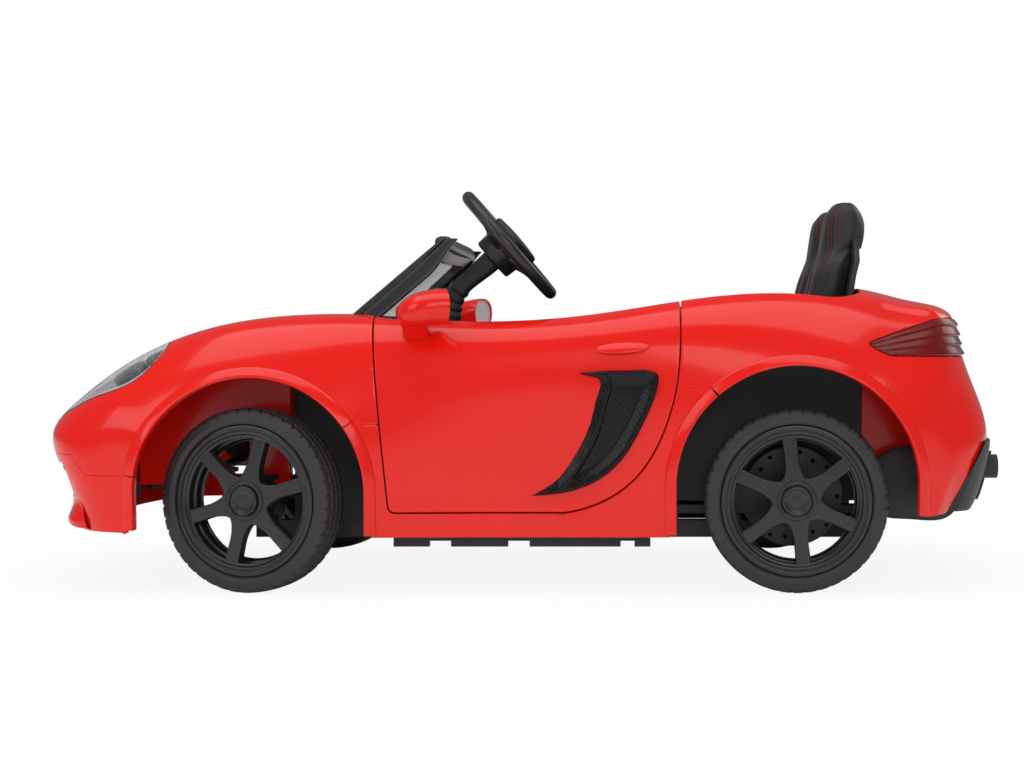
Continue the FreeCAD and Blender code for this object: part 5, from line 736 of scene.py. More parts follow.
def piece(name: str, patches: Sequence[Patch], finish: Finish | Sequence[Finish], body: str,
          nodes: Sequence[str] = (), sharp_deg: float = 38.0) -> bpy.types.Object:
    """Make one object from patches, shade it smooth but for sharp edges, and put it on a body of the car.

    Args:
        name: object name.
        patches: its parts, in millimetres.
        finish: one finish, or one per patch.
        body: body that it rides on.
        nodes: CAD nodes that it stands for.
        sharp_deg: edges that bend more than this stay sharp.

    Returns:
        The finished object.
    """
    start = np.cumsum([0] + [len(p.points) for p in patches])
    points = np.concatenate([p.points for p in patches]) * MM
    finishes = list(finish) if isinstance(finish, (list, tuple)) else [finish] * len(patches)
    kinds = list(dict.fromkeys(finishes))
    corners, sizes, slots = [], [], []
    for first, patch, look in zip(start, patches, finishes):
        for faces in patch.faces:
            corners.append((faces + first).ravel())
            sizes.append(np.full(len(faces), faces.shape[1]))
            slots.append(np.full(len(faces), kinds.index(look)))
    corners, sizes, slots = np.concatenate(corners), np.concatenate(sizes), np.concatenate(slots)
    mesh = bpy.data.meshes.new(name)
    mesh.vertices.add(len(points))
    mesh.vertices.foreach_set("co", points.astype(np.float32).ravel())
    mesh.loops.add(len(corners))
    mesh.loops.foreach_set("vertex_index", corners.astype(np.int32))
    mesh.polygons.add(len(sizes))
    mesh.polygons.foreach_set("loop_start", np.concatenate([[0], np.cumsum(sizes)[:-1]]).astype(np.int32))
    mesh.polygons.foreach_set("material_index", slots.astype(np.int32))
    if all(p.flat is not None for p in patches):
        flat = np.concatenate([p.flat for p in patches])[corners]
        mesh.uv_layers.new(name="flat").data.foreach_set("uv", flat.astype(np.float32).ravel())
    mesh.update(calc_edges=True)
    mesh.validate()
    mesh.polygons.foreach_set("use_smooth", np.ones(len(mesh.polygons), bool))
    mesh.set_sharp_from_angle(angle=math.radians(sharp_deg))
    made = bpy.data.objects.new(name, mesh)
    bpy.context.scene.collection.objects.link(made)
    for look in kinds:
        mesh.materials.append(look.material())
    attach(made, body)
    if nodes:
        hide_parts(*nodes)
    LOG.info("%s: %d faces on %s", name, len(mesh.polygons), body)
    return made


# Body panels


@dataclass
class Arch:
    """Wheel opening in the flanks: a half circle over straight sides, with a raised lip round it."""

    x: float
    z: float
    radius: float
    low_front: float
    low_rear: float
    lip_width: float = 17.0
    lip_height: float = 6.0
    flange: float = 18.0
    count: int = 420

    def outside(self, p: Array) -> Array:
        """Distance of points from the opening in the side view, above zero outside it."""
        return np.where(p[:, 2] >= self.z, np.hypot(p[:, 0] - self.x, p[:, 2] - self.z),
                        np.abs(p[:, 0] - self.x)) - self.radius

    def path(self, count: int) -> tuple[Array, Array]:
        """Points along the opening's edge from its front to its rear foot, and their outward directions."""
        rise, fall = self.z - self.low_front, self.z - self.low_rear
        at = np.linspace(0, rise + math.pi * self.radius + fall, count)
        angle = math.pi - np.clip((at - rise) / self.radius, 0, math.pi)
        out = np.stack([np.cos(angle), np.sin(angle)], -1)
        edge = np.array([self.x, self.z]) + out * self.radius
        edge[:, 1] += np.minimum(at - rise, 0) - np.maximum(at - rise - math.pi * self.radius, 0)
        return edge, out

    def lip(self, side: Side, keep: Region) -> Patch:
        """Raised band round the opening, rolled in at its edge.

        The band flares: it climbs from a step at its outer border to lip_height at the opening's edge, where
        it rolls over into a flange that goes inwards.

        Args:
            side: side of the car.
            keep: tells by a value above zero which stretch of the band is wanted.

        Returns:
            The stretch of the band.
        """
        edge, out = self.path(self.count)
        wanted = keep(np.insert(edge + out * 8, 1, 0, axis=1)) > 0
        edge, out = edge[wanted], out[wanted]
        width = self.lip_width
        away = [width, width - 0.8, width - 2, width - 3.5, width - 6, width / 2, 5, 3, 1.5, 0.45, 0, 0, 0]
        rise = [-0.25, 0.1, 0.28, 0.4, 0.55, 0.68, 0.88, 0.96, 1.0, 0.9, 0.7, 0.5, 0.5]
        inward = [0] * 11 + [8, self.flange]
        rows = []
        for d, share, deep in zip(away, rise, inward):
            uv = SKIN.side_uv(edge + out * d, side)
            point = SKIN.at(uv) + SKIN.normal(uv) * (self.lip_height * share)
            point[:, 1] -= side.value * deep
            rows.append(point)
        return surface(np.stack(rows), turned=side is Side.RIGHT).laid(0, 2)


def least(*values: Array) -> Array:
    """Least of several distances: the region that all of them share."""
    return np.minimum.reduce(values)


@dataclass
class MouldedBody:
    """Red body: shells, bumper, sills and two doors, all cut from one skin by its seams and openings."""

    seam: float = 0.08
    edge: float = 0.6
    door_gap: float = 1.8
    cockpit_front: float = -228.0
    cockpit_rear: float = 474.0
    cockpit_half: float = 284.0
    cockpit_round: float = 60.0
    hinge_x: float = -163.0
    hinge_y: float = 326.1
    hinge_z: tuple[float, float] = (152, 282)
    arch_wall_y: float = 218.9
    arch_wall: float = 2.8
    guard_y: float = 258.0
    slot_y: tuple[float, float] = (212.5, 287.0)
    chin_half: float = 308.0
    lip_cover: float = 9.0
    nose_x: float = -540.0
    bonnet_z: float = 229.0
    door_low: float = 111.0
    door_top: float = 452.0
    door_front: tuple[float, float] = (-203.0, 340.0)
    door_lean: tuple[float, float] = (23.0, 229.0)
    door_middle: float = 60.0
    hinge_reach: float = 325.0
    hinge_inset: float = 6.0
    tail_lamp_y: float = 150.0
    chin_top: float = 150.0
    backing_x: float = -520.0
    backing_depth: float = 13.5
    flank_span: tuple[float, float] = (0.25, 0.75)
    front_arch: Arch = field(default_factory=lambda: Arch(-369, 138, 156, 88, 81))
    rear_arch: Arch = field(default_factory=lambda: Arch(377, 147, 164, 82, 108))

    def __post_init__(self) -> None:
        """Work out the outlines in the side view, the plan and the front view."""
        low, top, middle = self.door_low, self.door_top, self.door_middle
        run, rise = self.door_lean
        front_top = self.door_front[0] - run * (top - self.door_front[1]) / rise
        corner = rounded_loop([(front_top, top), (-180, low), (middle, low), (middle, top)], 10)
        sweep = smooth_line([(-20, low), (middle, low), (150, 152), (201, 238), (213, 285), (218, 422),
                             (219, 480)], 160)
        sweep = sweep[(sweep[:, 0] > middle) & (sweep[:, 1] < top)]
        front = corner[corner[:, 0] < 0]
        self.door_line = np.concatenate([front, [(20, low), (middle, low)], sweep, [(218.5, top)]])
        self.sill_line = np.array([(-300, 0), (-300, 232), (0, 232), (0, 277), (300, 277), (300, 0)], float)
        self.bumper_line = np.array([(-369, 0), (-369, 162), (-597, 162), (-621, 190), (-1354, 190),
                                     (-1354, 0)], float)
        self.tail_line = np.array([(519, 0), (643, 206), (1354, 206), (1354, 0)], float)
        self.head_line = smooth_loop([(-640, 262), (-603, 292), (-572, 307), (-543, 313), (-517, 306),
                                      (-499, 288), (-494, 262), (-508, 225), (-540, 200), (-580, 197),
                                      (-618, 212), (-642, 238)], 160)
        self.tail_lamp_line = rounded_loop([(472, 343), (520, 360), (580, 379), (598, 378), (700, 378),
                                            (700, 324), (590, 324), (504, 325), (486, 333)], 3)
        self.centre_intake = rounded_loop([(-128, 158), (128, 158), (104, 102), (-104, 102)], 9)
        self.side_intake = rounded_loop([(172, 170), (292, 178), (284, 116), (196, 110)], 9)

    def door(self, p: Array) -> Array:
        """Distance inside the door outline."""
        return outline_distance(p[:, [0, 2]], self.door_line)

    def outside_cockpit(self, p: Array) -> Array:
        """Distance outside the cockpit opening: a rounded rectangle in plan."""
        middle = (self.cockpit_front + self.cockpit_rear) / 2
        half = (self.cockpit_rear - self.cockpit_front) / 2
        beyond = np.abs(p[:, 0] - middle) - half, np.abs(p[:, 1]) - self.cockpit_half
        q = np.stack(beyond, -1) + self.cockpit_round
        return np.linalg.norm(np.maximum(q, 0), axis=1) + np.minimum(q.max(1), 0) - self.cockpit_round

    def headlight(self, p: Array) -> Array:
        """Distance inside the headlights' outline in plan."""
        flat = np.stack([p[:, 0], np.abs(p[:, 1])], -1)
        return np.where(p[:, 2] > self.bonnet_z, outline_distance(flat, self.head_line), -NEAR_MM)

    def taillight(self, p: Array) -> Array:
        """Distance inside the tail lights' outline in the side view."""
        return np.minimum(outline_distance(p[:, [0, 2]], self.tail_lamp_line),
                          np.abs(p[:, 1]) - self.tail_lamp_y)

    def intake(self, p: Array) -> Array:
        """Distance inside the nose's three air intakes in the front view."""
        flat = p[:, [1, 2]]
        mirrored = np.stack([np.abs(p[:, 1]), p[:, 2]], -1)
        deep = np.maximum(outline_distance(flat, self.centre_intake),
                          outline_distance(mirrored, self.side_intake))
        return np.where(p[:, 0] < self.nose_x, deep, -NEAR_MM)

    def sill(self, p: Array) -> Array:
        """Distance inside the sills' outline."""
        return outline_distance(p[:, [0, 2]], self.sill_line)

    def bumper(self, p: Array) -> Array:
        """Distance inside the bumper's outline."""
        return outline_distance(p[:, [0, 2]], self.bumper_line)

    def arch_gap(self, p: Array) -> Array:
        """Distance outside both wheel openings, less the width that the lips cover."""
        return np.minimum(self.front_arch.outside(p), self.rear_arch.outside(p)) - self.lip_cover

    def lips(self, arch: Arch, keep: Region) -> list[Patch]:
        """A stretch of an arch's lip on both sides."""
        return [arch.lip(side, keep) for side in Side]

    def build(self) -> None:
        """Make every red panel."""
        gap, seam = self.door_gap / 2, self.seam
        shell = SKIN.panel(lambda p: least(-p[:, 0], self.outside_cockpit(p), -self.bumper(p) - seam,
                                           -self.sill(p) - seam, -self.door(p) - gap,
                                           -self.headlight(p) - seam, -self.intake(p), self.arch_gap(p)),
                           (0.0, 0.56), edge=self.edge)
        lips = self.lips(self.front_arch, lambda p: np.minimum(-self.bumper(p), -self.sill(p)) - seam)
        walls = [self.front_wall(side) for side in Side]
        piece("red_front_shell", [shell] + lips + walls, RED_ABS, "chassis", ["front_shell"])
        shell = SKIN.panel(lambda p: least(self.bumper(p) - seam, -self.intake(p), self.arch_gap(p)),
                           (0.0, 0.3), edge=self.edge)
        lips = self.lips(self.front_arch, lambda p: self.bumper(p) - seam) + [self.chin()]
        piece("red_front_bumper", [shell] + lips, RED_ABS, "chassis", ["front_bumper"])
        tail = lambda p: outline_distance(p[:, [0, 2]], self.tail_line)
        shell = SKIN.panel(lambda p: least(p[:, 0], self.outside_cockpit(p), -self.sill(p) - seam,
                                           -self.door(p) - gap, -tail(p) - seam, -self.taillight(p) - seam,
                                           self.arch_gap(p)),
                           (0.5, 1.0), edge=self.edge)
        lips = self.lips(self.rear_arch, lambda p: -self.sill(p) - seam)
        lips += [make(side) for side in Side for make in (self.crest, self.rear_wall)]
        piece("red_rear_shell", [shell] + lips, RED_ABS, "chassis", ["rear_shell"])
        for side in Side:
            self.flank(side)
        guards = [make(side) for side in Side for make in (self.splash_guard, self.slot_cover)]
        piece("rear_splash_guards", guards, BLACK_PP, "chassis", ())
        piece("intake_backing", self.intake_backing(), BLACK_PP, "chassis", ())

    def splash_guard(self, side: Side) -> Patch:
        """Black guard inboard of a rear wheel: a rounded plate that bulges by 8 mm."""
        loop = smooth_loop([(476, 128), (483, 166), (502, 189), (532, 198), (576, 192), (606, 166),
                            (612, 126), (596, 101), (540, 96), (494, 104)], 120)
        rows = ((0.001, 8.0), (0.4, 7.2), (0.7, 5.6), (0.9, 3.4), (0.985, 1.2), (1.0, 0.0), (0.985, -1.6),
                (0.6, -2.0), (0.001, -2.0))
        rings = levels(loop, [(share, side.value * (self.guard_y + out)) for share, out in rows])
        return surface(rings[..., [0, 2, 1]], ring_columns=True, turned=side is Side.LEFT).laid(0, 2)

    def slot_cover(self, side: Side) -> Patch:
        """Strip that closes the slot between the tub's riser and the deck over a rear arch."""
        loop = rounded_loop([(200.3, 324), (203.7, 324), (203.7, 348.6), (200.3, 348.6)], 0.6, 4)
        rings = [np.insert(loop, 1, side.value * y, axis=1) for y in self.slot_y]
        return capped(rings, turned=side is Side.LEFT)

    def intake_backing(self) -> list[Patch]:
        """Plates close behind the three grilles, so that the intakes are dark inside."""
        middle = np.array([(-134, 164), (134, 164), (110, 96), (-110, 96)], float)
        right = np.array([(166, 176), (298, 184), (290, 110), (190, 104)], float)
        made = []
        for corners in (middle, right, right[::-1] * (-1, 1)):
            loop = rounded_loop(corners, 12, 6)
            region = lambda p: np.minimum(outline_distance(p[:, 1:], loop), self.backing_x - p[:, 0])
            made.append(SKIN.panel(region, (0.0, 0.12), cell=5.0, lift=-self.backing_depth, wall=2.0,
                                   edge=0.5))
        return made

    def chin(self) -> Patch:
        """Lip along the bumper's lower edge: a rolled blade that stands out by up to 17 mm."""
        heights = np.array([130, 123, 116, 109, 103, 98, 94, 90, 87.5, 86], float)
        out = np.array([-0.8, 1.4, 4.6, 9.0, 13.4, 16.2, 17.0, 15.4, 10.0, -0.8])
        half = np.linspace(-1, 1, 121)
        side = self.chin_half * np.sin(half * math.pi / 2)
        flat = np.stack(np.meshgrid(side, heights, indexing="ij"), -1)
        uv = SKIN.locate(flat.reshape(-1, 2), (1, 2),
                         lambda p: np.minimum(self.nose_x - p[:, 0], self.chin_top - p[:, 2]))
        way = unit(SKIN.normal(uv) * (1, 1, 0))
        fade = 1 - 0.75 * smooth_step(0.75, 1.0, np.abs(half))
        lift = (out[None] * fade[:, None]).ravel()
        points = (SKIN.at(uv) + way * lift[:, None]).reshape(len(half), len(heights), 3)
        return surface(points, turned=True).laid(1, 2)

    def crest(self, side: Side) -> Patch:
        """Crease along the top of a rear wing: a low ridge, steep to the deck and gentle to the flank."""
        x = np.linspace(478, 590, 60)
        y = np.interp(x, (478, 545, 591, 606), (270, 264, 257, 255))
        offsets = np.array([-7, -5, -3.4, -2.2, -1, 0.4, 2, 5, 9, 14], float)
        heights = np.array([-0.8, 0.6, 2.4, 3.5, 3.9, 3.7, 3.2, 2.0, 0.8, -0.6])
        fade = smooth_step(478, 510, x) * (1 - smooth_step(570, 590, x))
        flat = np.stack([x[:, None] + 0 * offsets, side.value * (y[:, None] + offsets)], -1)
        uv = SKIN.locate(flat.reshape(-1, 2), (0, 1), lambda p: np.minimum(p[:, 2] - 372, p[:, 0] - 300))
        lift = (heights * fade[:, None] - 0.5 * (1 - fade[:, None])).ravel()
        points = (SKIN.at(uv) + SKIN.normal(uv) * lift[:, None]).reshape(len(x), len(offsets), 3)
        return surface(points, turned=side is Side.LEFT).laid(0, 1)

    def front_wall(self, side: Side) -> Patch:
        """Red wall inside a front arch, with a notch for the steering rod and room for the lamp."""
        x = np.linspace(-547, -334, 86)
        notch = smooth_step(-452, -447, x) * (1 - smooth_step(-393, -388, x))
        return self.inner_wall(side, x, 142 + 76 * notch, 5 + 27 * (1 - smooth_step(-492, -478, x)))

    def rear_wall(self, side: Side) -> Patch:
        """Red wall inside a rear arch, behind the tub."""
        x = np.linspace(477, 600, 50)
        return self.inner_wall(side, x, 168 + 0 * x, 5 + 0 * x)

    def inner_wall(self, side: Side, x: Array, low: Array, drop: Array) -> Patch:
        """Upright wall inside a wheel arch.

        Args:
            side: side of the car.
            x: places along the car in mm.
            low: height of its lower edge at each place.
            drop: how far its upper edge stays below the skin at each place.

        Returns:
            The closed wall.
        """
        middle = np.full(len(x), side.value * (self.arch_wall_y - self.arch_wall / 2))
        uv = SKIN.locate(np.stack([x, middle], -1), (0, 1), lambda p: p[:, 2] - self.bonnet_z)
        top = SKIN.at(uv)[:, 2] - drop
        share = np.linspace(0, 1, 16)[None, :]
        z = low[:, None] + (top - low)[:, None] * share
        outer = np.stack([x[:, None] + 0 * z, np.full(z.shape, side.value * self.arch_wall_y), z], -1)
        inner = outer[:, ::-1] - (0, side.value * self.arch_wall, 0)
        return capped(np.concatenate([outer, inner], axis=1), turned=side is Side.RIGHT).laid(0, 2)

    def flank(self, side: Side) -> None:
        """Make the sill and the door skin of one side."""
        name = side.name.lower()
        span = side.span()
        gap, seam = self.door_gap / 2, self.seam
        shell = SKIN.panel(lambda p: least(self.sill(p) - seam, -self.door(p) - gap, self.arch_gap(p)),
                           self.flank_span, span, edge=self.edge)
        near_front = self.front_arch.lip(side, lambda p: self.sill(p) - seam)
        near_rear = self.rear_arch.lip(side, lambda p: self.sill(p) - seam)
        piece(f"red_{name}_sill", [shell, near_front, near_rear], RED_ABS, "chassis", [f"{name}_sill"])
        shell = SKIN.panel(lambda p: least(self.door(p) - gap, self.outside_cockpit(p)),
                           self.flank_span, span, cell=3.5, edge=1.4, flange=20.0)
        ahead = (shell.points[:, 0] < self.hinge_x) & (shell.points[:, 2] < self.hinge_reach)
        shell.points[ahead, 1] = side.value * np.maximum(np.abs(shell.points[ahead, 1]),
                                                         self.hinge_y - self.hinge_inset)
        upright = np.array([[1.0, 0, 0], [0, 0, -1], [0, 1, 0]])
        tube = revolved([(-16, 3.2), (-16, 6.4), (-15.4, 7), (15.4, 7), (16, 6.4), (16, 3.2), (-16, 3.2)], 32)
        tubes = [tube.moved(upright, (self.hinge_x, side.value * self.hinge_y, z)) for z in self.hinge_z]
        piece(f"red_{name}_door", [shell, DoorHandle().patch(side)] + tubes, RED_ABS, f"{name}_door",
              [f"{name}_door_panel"])


# Studio


@dataclass
class Studio:
    """Pale floor, soft lights and the photograph's camera."""

    eye: tuple[float, float, float] = (0.1697, -3.150, 0.347)
    lens: float = 72.6
    shift: tuple[float, float] = (-0.130, -0.043)
    sensor: float = 36.0
    floor_half: float = 9.0
    shadow_span: tuple[float, float] = (0.7, 1.5)
    shadow_white: float = 0.9
    room_light: float = 0.58
    room_mirrored: float = 0.2
    softboxes: tuple = (
        ("over_softbox", (-0.1, -0.5, 2.6), (0.0, 0.0, 0.2), 3.2, 2.0, 31),
        ("front_softbox", (-2.2, -2.2, 1.6), (-0.2, 0.0, 0.2), 1.8, 1.6, 15.5),
        ("near_softbox", (0.9, -3.4, 1.5), (0.1, 0.0, 0.2), 2.2, 1.2, 17.5),
        ("rear_softbox", (2.4, 1.6, 1.8), (0.2, 0.0, 0.2), 1.8, 1.4, 12),
    )

    def build(self) -> None:
        """Make camera, floor, lamps and world."""
        scene = bpy.context.scene
        scene.view_settings.view_transform = "Standard"
        data = bpy.data.cameras.new("photo_view")
        data.lens, data.sensor_width = self.lens, self.sensor
        data.shift_x, data.shift_y = self.shift
        camera = bpy.data.objects.new("photo_view", data)
        camera.location = self.eye
        camera.rotation_euler = (math.radians(90), 0, 0)
        scene.collection.objects.link(camera)
        scene.camera = camera
        self.floor()
        for row in self.softboxes:
            self.lamp(*row)
        self.world()

    def floor(self) -> None:
        """White floor that keeps a faint trace of the shadow near the car and none further out."""
        size = self.floor_half
        mesh = bpy.data.meshes.new("pale_floor")
        mesh.from_pydata([(-size, -size, 0), (size, -size, 0), (size, size, 0), (-size, size, 0)], [],
                         [(0, 1, 2, 3)])
        floor = bpy.data.objects.new("pale_floor", mesh)
        bpy.context.scene.collection.objects.link(floor)
        look = bpy.data.materials.new("pale_floor")
        look.use_nodes = True
        tree = look.node_tree
        shown = tree.nodes["Principled BSDF"]
        shown.inputs["Base Color"].default_value = linear("f7f7f7")
        shown.inputs["Roughness"].default_value = 0.9
        shown.inputs["Specular IOR Level"].default_value = 0.0
        place = add_node(tree, "ShaderNodeTexCoord").outputs["Object"]
        away = add_node(tree, "ShaderNodeVectorMath", None, {0: place}, operation="LENGTH")
        near, far = self.shadow_span
        whiter = {"From Min": near, "From Max": far, "To Min": self.shadow_white, "To Max": 1.0}
        share = add_node(tree, "ShaderNodeMapRange", whiter, {"Value": away.outputs["Value"]})
        part = add_node(tree, "ShaderNodeMath", None, {0: share.outputs[0], 1: self.seen(tree)},
                        operation="MULTIPLY")
        white = add_node(tree, "ShaderNodeEmission", {"Color": (1, 1, 1, 1), "Strength": 1.0})
        both = add_node(tree, "ShaderNodeMixShader", None,
                        {0: part.outputs[0], 1: shown.outputs[0], 2: white.outputs[0]})
        tree.links.new(both.outputs[0], tree.nodes["Material Output"].inputs["Surface"])
        mesh.materials.append(look)

    def seen(self, tree: bpy.types.NodeTree) -> Socket:
        """Socket that is 1 for what the eye sees, also through clear parts, and 0 otherwise."""
        path = add_node(tree, "ShaderNodeLightPath")
        return add_node(tree, "ShaderNodeMath", None,
                        {0: path.outputs["Is Camera Ray"], 1: path.outputs["Is Transmission Ray"]},
                        operation="MAXIMUM").outputs[0]

    def lamp(self, name: str, place: Sequence[float], target: Sequence[float], wide: float, tall: float,
             power: float) -> None:
        """Rectangular soft light that faces a point."""
        data = bpy.data.lights.new(name, "AREA")
        data.shape, data.size, data.size_y, data.energy = "RECTANGLE", wide, tall, power
        lamp = bpy.data.objects.new(name, data)
        lamp.location = place
        way = np.asarray(target) - np.asarray(place)
        flat = math.hypot(way[0], way[1])
        lamp.rotation_euler = (math.atan2(flat, -way[2]), 0, math.atan2(-way[0], way[1]))
        bpy.context.scene.collection.objects.link(lamp)

    def world(self) -> None:
        """White to the eye and through clear parts, softer as a light and in reflections."""
        world = bpy.data.worlds.new("white_room")
        bpy.context.scene.world = world
        world.use_nodes = True
        tree = world.node_tree
        mirrored = add_node(tree, "ShaderNodeLightPath").outputs["Is Glossy Ray"]
        light = add_node(tree, "ShaderNodeMapRange",
                         {"To Min": self.room_light, "To Max": self.room_mirrored}, {"Value": mirrored})
        strength = add_node(tree, "ShaderNodeMapRange", {"To Max": 1.0},
                            {"Value": self.seen(tree), "To Min": light.outputs[0]})
        tree.links.new(strength.outputs[0], tree.nodes["Background"].inputs["Strength"])
        tree.nodes["Background"].inputs["Color"].default_value = (1, 1, 1, 1)


def dress_nodes(frame: dict) -> None:
    """Give every CAD node the finish of its slot."""
    for row in frame["record"]["subparts"]:
        node = frame["nodes"][row["node"]]
        node.data.materials.clear()
        node.data.materials.append(NODE_FINISHES[row["material_slot"]].material())


# Wheels


class WheelFace(Sheet):
    """Flat face of a wheel, seen from outside: S(x, z) = (x, -out, z), dished by the square of the radius."""

    reach: float = 90.0

    def __init__(self, out: float, dish: float) -> None:
        """Keep the height at the centre and how far the face falls back at the reach."""
        self.out, self.dish = out, dish

    def at(self, uv: Array) -> Array:
        """Points of the face in mm for rows (x, z)."""
        fall = self.dish * (uv**2).sum(1) / self.reach**2
        return np.stack([uv[:, 0], fall - self.out, uv[:, 1]], -1)

    def normal(self, uv: Array) -> Array:
        """The outward axis of the wheel for every row."""
        return np.tile([0.0, -1.0, 0.0], (len(uv), 1))


@dataclass
class Wheel:
    """Ten-inch moulded wheel: tyre with blocks, six tapered spokes, stepped ring and hub cap."""

    radius: float = 127.0
    blocks: int = 44
    block_steps: int = 12
    groove_places: tuple[float, ...] = (-12.6, 0.0, 12.6)
    groove_depth: float = 2.8
    notch_depth: float = 1.9
    shoulder: float = 14.0
    tread_radius: float = 120.5
    groove_edge: tuple[float, float] = (1.2, 1.9)
    notch_edge: tuple[float, float] = (1.4, 2.3)
    notch_start: tuple[float, float] = (14.6, 15.4)
    sipe_edge: tuple[float, float] = (0.5, 1.3)
    sipe_share: float = 0.7
    rib_span: tuple[float, float] = (2.0, 10.6)
    face_out: float = 23.2
    face_dish: float = 0.6
    spoke_half: float = 9.3
    spokes: int = 6
    hub: float = 30.5
    ring: float = 88.5
    front_deg: float = 16.0
    rear_deg: float = 36.5
    steer_deg: float = -17.0
    front_x: float = -361.0
    rear_x: float = 377.0
    kingpin_y: float = 270.0
    wheel_y: float = 305.0

    def tyre(self) -> Patch:
        """Tyre: a section carried round the axle, with its tread cut as a function of angle and width.

        Three grooves run round the tread, 3 mm wide; notches cross both shoulders at each block, and a fine
        zigzag crosses the middle ribs at twice as many places.
        """
        flank = [(20, 98), (20.5, 103), (24, 104.2), (27.6, 105.2), (29.2, 107), (29.6, 108.4), (29.9, 109),
                 (30.2, 112), (30.2, 114.5), (29.7, 115.2), (29.7, 116), (29.6, 118), (28.6, 121.3),
                 (26.8, 124), (24.6, 125.6)]
        crown = [(o, self.radius - 1.1 * (o / 24) ** 2) for o in np.arange(23.4, -0.1, -0.9)]
        half = np.array(flank + crown, float)
        profile = np.concatenate([half, half[-2::-1] * (-1, 1)])
        count = self.blocks * self.block_steps
        angle = full_turn(count)[:, None]
        out, radius = profile[None, :, 0], profile[None, :, 1]
        tread = radius > self.tread_radius
        cut = np.zeros((count, len(profile)))
        for place in self.groove_places:
            cut = np.maximum(cut, 1 - smooth_step(*self.groove_edge, np.abs(out - place) + 0 * angle))
        turn = angle * self.blocks / (2 * math.pi)
        skew = turn + np.sign(out) * (0.25 + 0.018 * np.maximum(np.abs(out) - self.shoulder, 0))
        pitch = 2 * math.pi * self.radius / self.blocks
        from_notch = np.abs(skew - np.round(skew)) * pitch
        on_shoulder = smooth_step(*self.notch_start, np.abs(out))
        cut = np.maximum(cut, (1 - smooth_step(*self.notch_edge, from_notch)) * on_shoulder)
        rib = turn * 2 + np.abs(np.abs(out) - 6.3) * 0.05
        from_sipe = np.abs(rib - np.round(rib)) * pitch / 2
        on_rib = (np.abs(out) > self.rib_span[0]) & (np.abs(out) < self.rib_span[1])
        cut = np.maximum(cut, self.sipe_share * (1 - smooth_step(*self.sipe_edge, from_sipe)) * on_rib)
        depth = np.where(np.abs(out) < self.shoulder, self.groove_depth, self.notch_depth)
        deep = radius - depth * cut * tread
        points = np.stack([deep * np.cos(angle), -out + 0 * angle, deep * np.sin(angle)], -1)
        return surface(points, ring_rows=True)

    def ring_band(self) -> Patch:
        """Rim: flange, rounded face ring, step to the spokes' ledge and a stepped barrel behind them."""
        profile = [(20.2, 97.6), (20.2, 103.4), (24.5, 103.8), (26.4, 103), (27, 101.4), (27, 98.6),
                   (26.6, 97.6), (25.4, 97), (25.4, 95.6), (26.3, 94.8), (26.6, 93.6), (26.4, 92),
                   (25.6, 90.9), (23.2, 90.2), (22.6, 89.6), (22.4, 87.4), (21.6, 86.4), (17, 86),
                   (14.6, 86.4), (13.8, 88.4), (5.5, 88), (4.6, 86.8), (4, 84.6), (-7, 84), (-8, 83),
                   (-8.6, 81.4), (-13, 82.4), (-24.4, 92), (-25.6, 93), (-26, 94.4), (-26, 103),
                   (-20.2, 103.8), (-20.2, 97.6)]
        made, closing = revolved(profile, 144), revolved(profile[-1:] + profile[:1], 144)
        faces = [made.faces[0], closing.faces[0] + len(made.points)]
        return Patch(np.concatenate([made.points, closing.points]), faces,
                     np.concatenate([made.flat, closing.flat]))

    def star(self, phase: float) -> Region:
        """Distance inside hub and spokes, blended so that the spokes flow into the hub.

        A spoke is spoke_half wide on each side, a little wider outside and flared towards the hub; the
        distances are joined by the smooth maximum a + b + sqrt((a - b)^2 + k^2), halved.
        """

        def inside(p: Array) -> Array:
            """Distance into the star, positive inside."""
            x, z = p[:, 0], p[:, 2]
            r, angle = np.hypot(x, z), np.arctan2(z, x) - math.radians(phase)
            part = 2 * math.pi / self.spokes
            local = angle - part * np.round(angle / part)
            along, across = r * np.cos(local), np.abs(r * np.sin(local))
            half = self.spoke_half + 0.9 * smooth_step(50, 86, along) + 7.5 * np.exp(-((along / 27) ** 2))
            spoke = np.minimum(half - across, self.ring - along)
            hub = self.hub - r
            blend = 9.0 * (1 - smooth_step(40, 62, r)) + 0.2
            return (spoke + hub + np.sqrt((spoke - hub) ** 2 + blend**2)) / 2

        return inside

    def spoke_star(self, phase: float) -> Patch:
        """Spokes and hub plate as one moulded panel with rounded edges."""
        face = WheelFace(self.face_out, self.face_dish)
        reach = (-face.reach, face.reach)
        return face.panel(self.star(phase), reach, reach, cell=1.6, wall=15.0, edge=2.2)

    def cap(self) -> Patch:
        """Hub ring and cap: a raised ring, a groove and a shallow dished button."""
        return revolved([(20, 27.6), (24.2, 27.4), (25.4, 26.6), (25.8, 25.4), (25.8, 23.6), (25.2, 22.6),
                         (23.4, 22), (23.2, 21), (24.6, 20.4), (27.4, 19.6), (28, 18.6), (28, 17),
                         (27.4, 16), (26.4, 15.4), (26, 14.4), (26.2, 8), (26.3, 0.01)], 96)

    def back_boss(self) -> Patch:
        """Hub behind the spokes, round the bearing."""
        return revolved([(9, 24), (-7, 22), (-8, 20), (-8, 7)], 64)

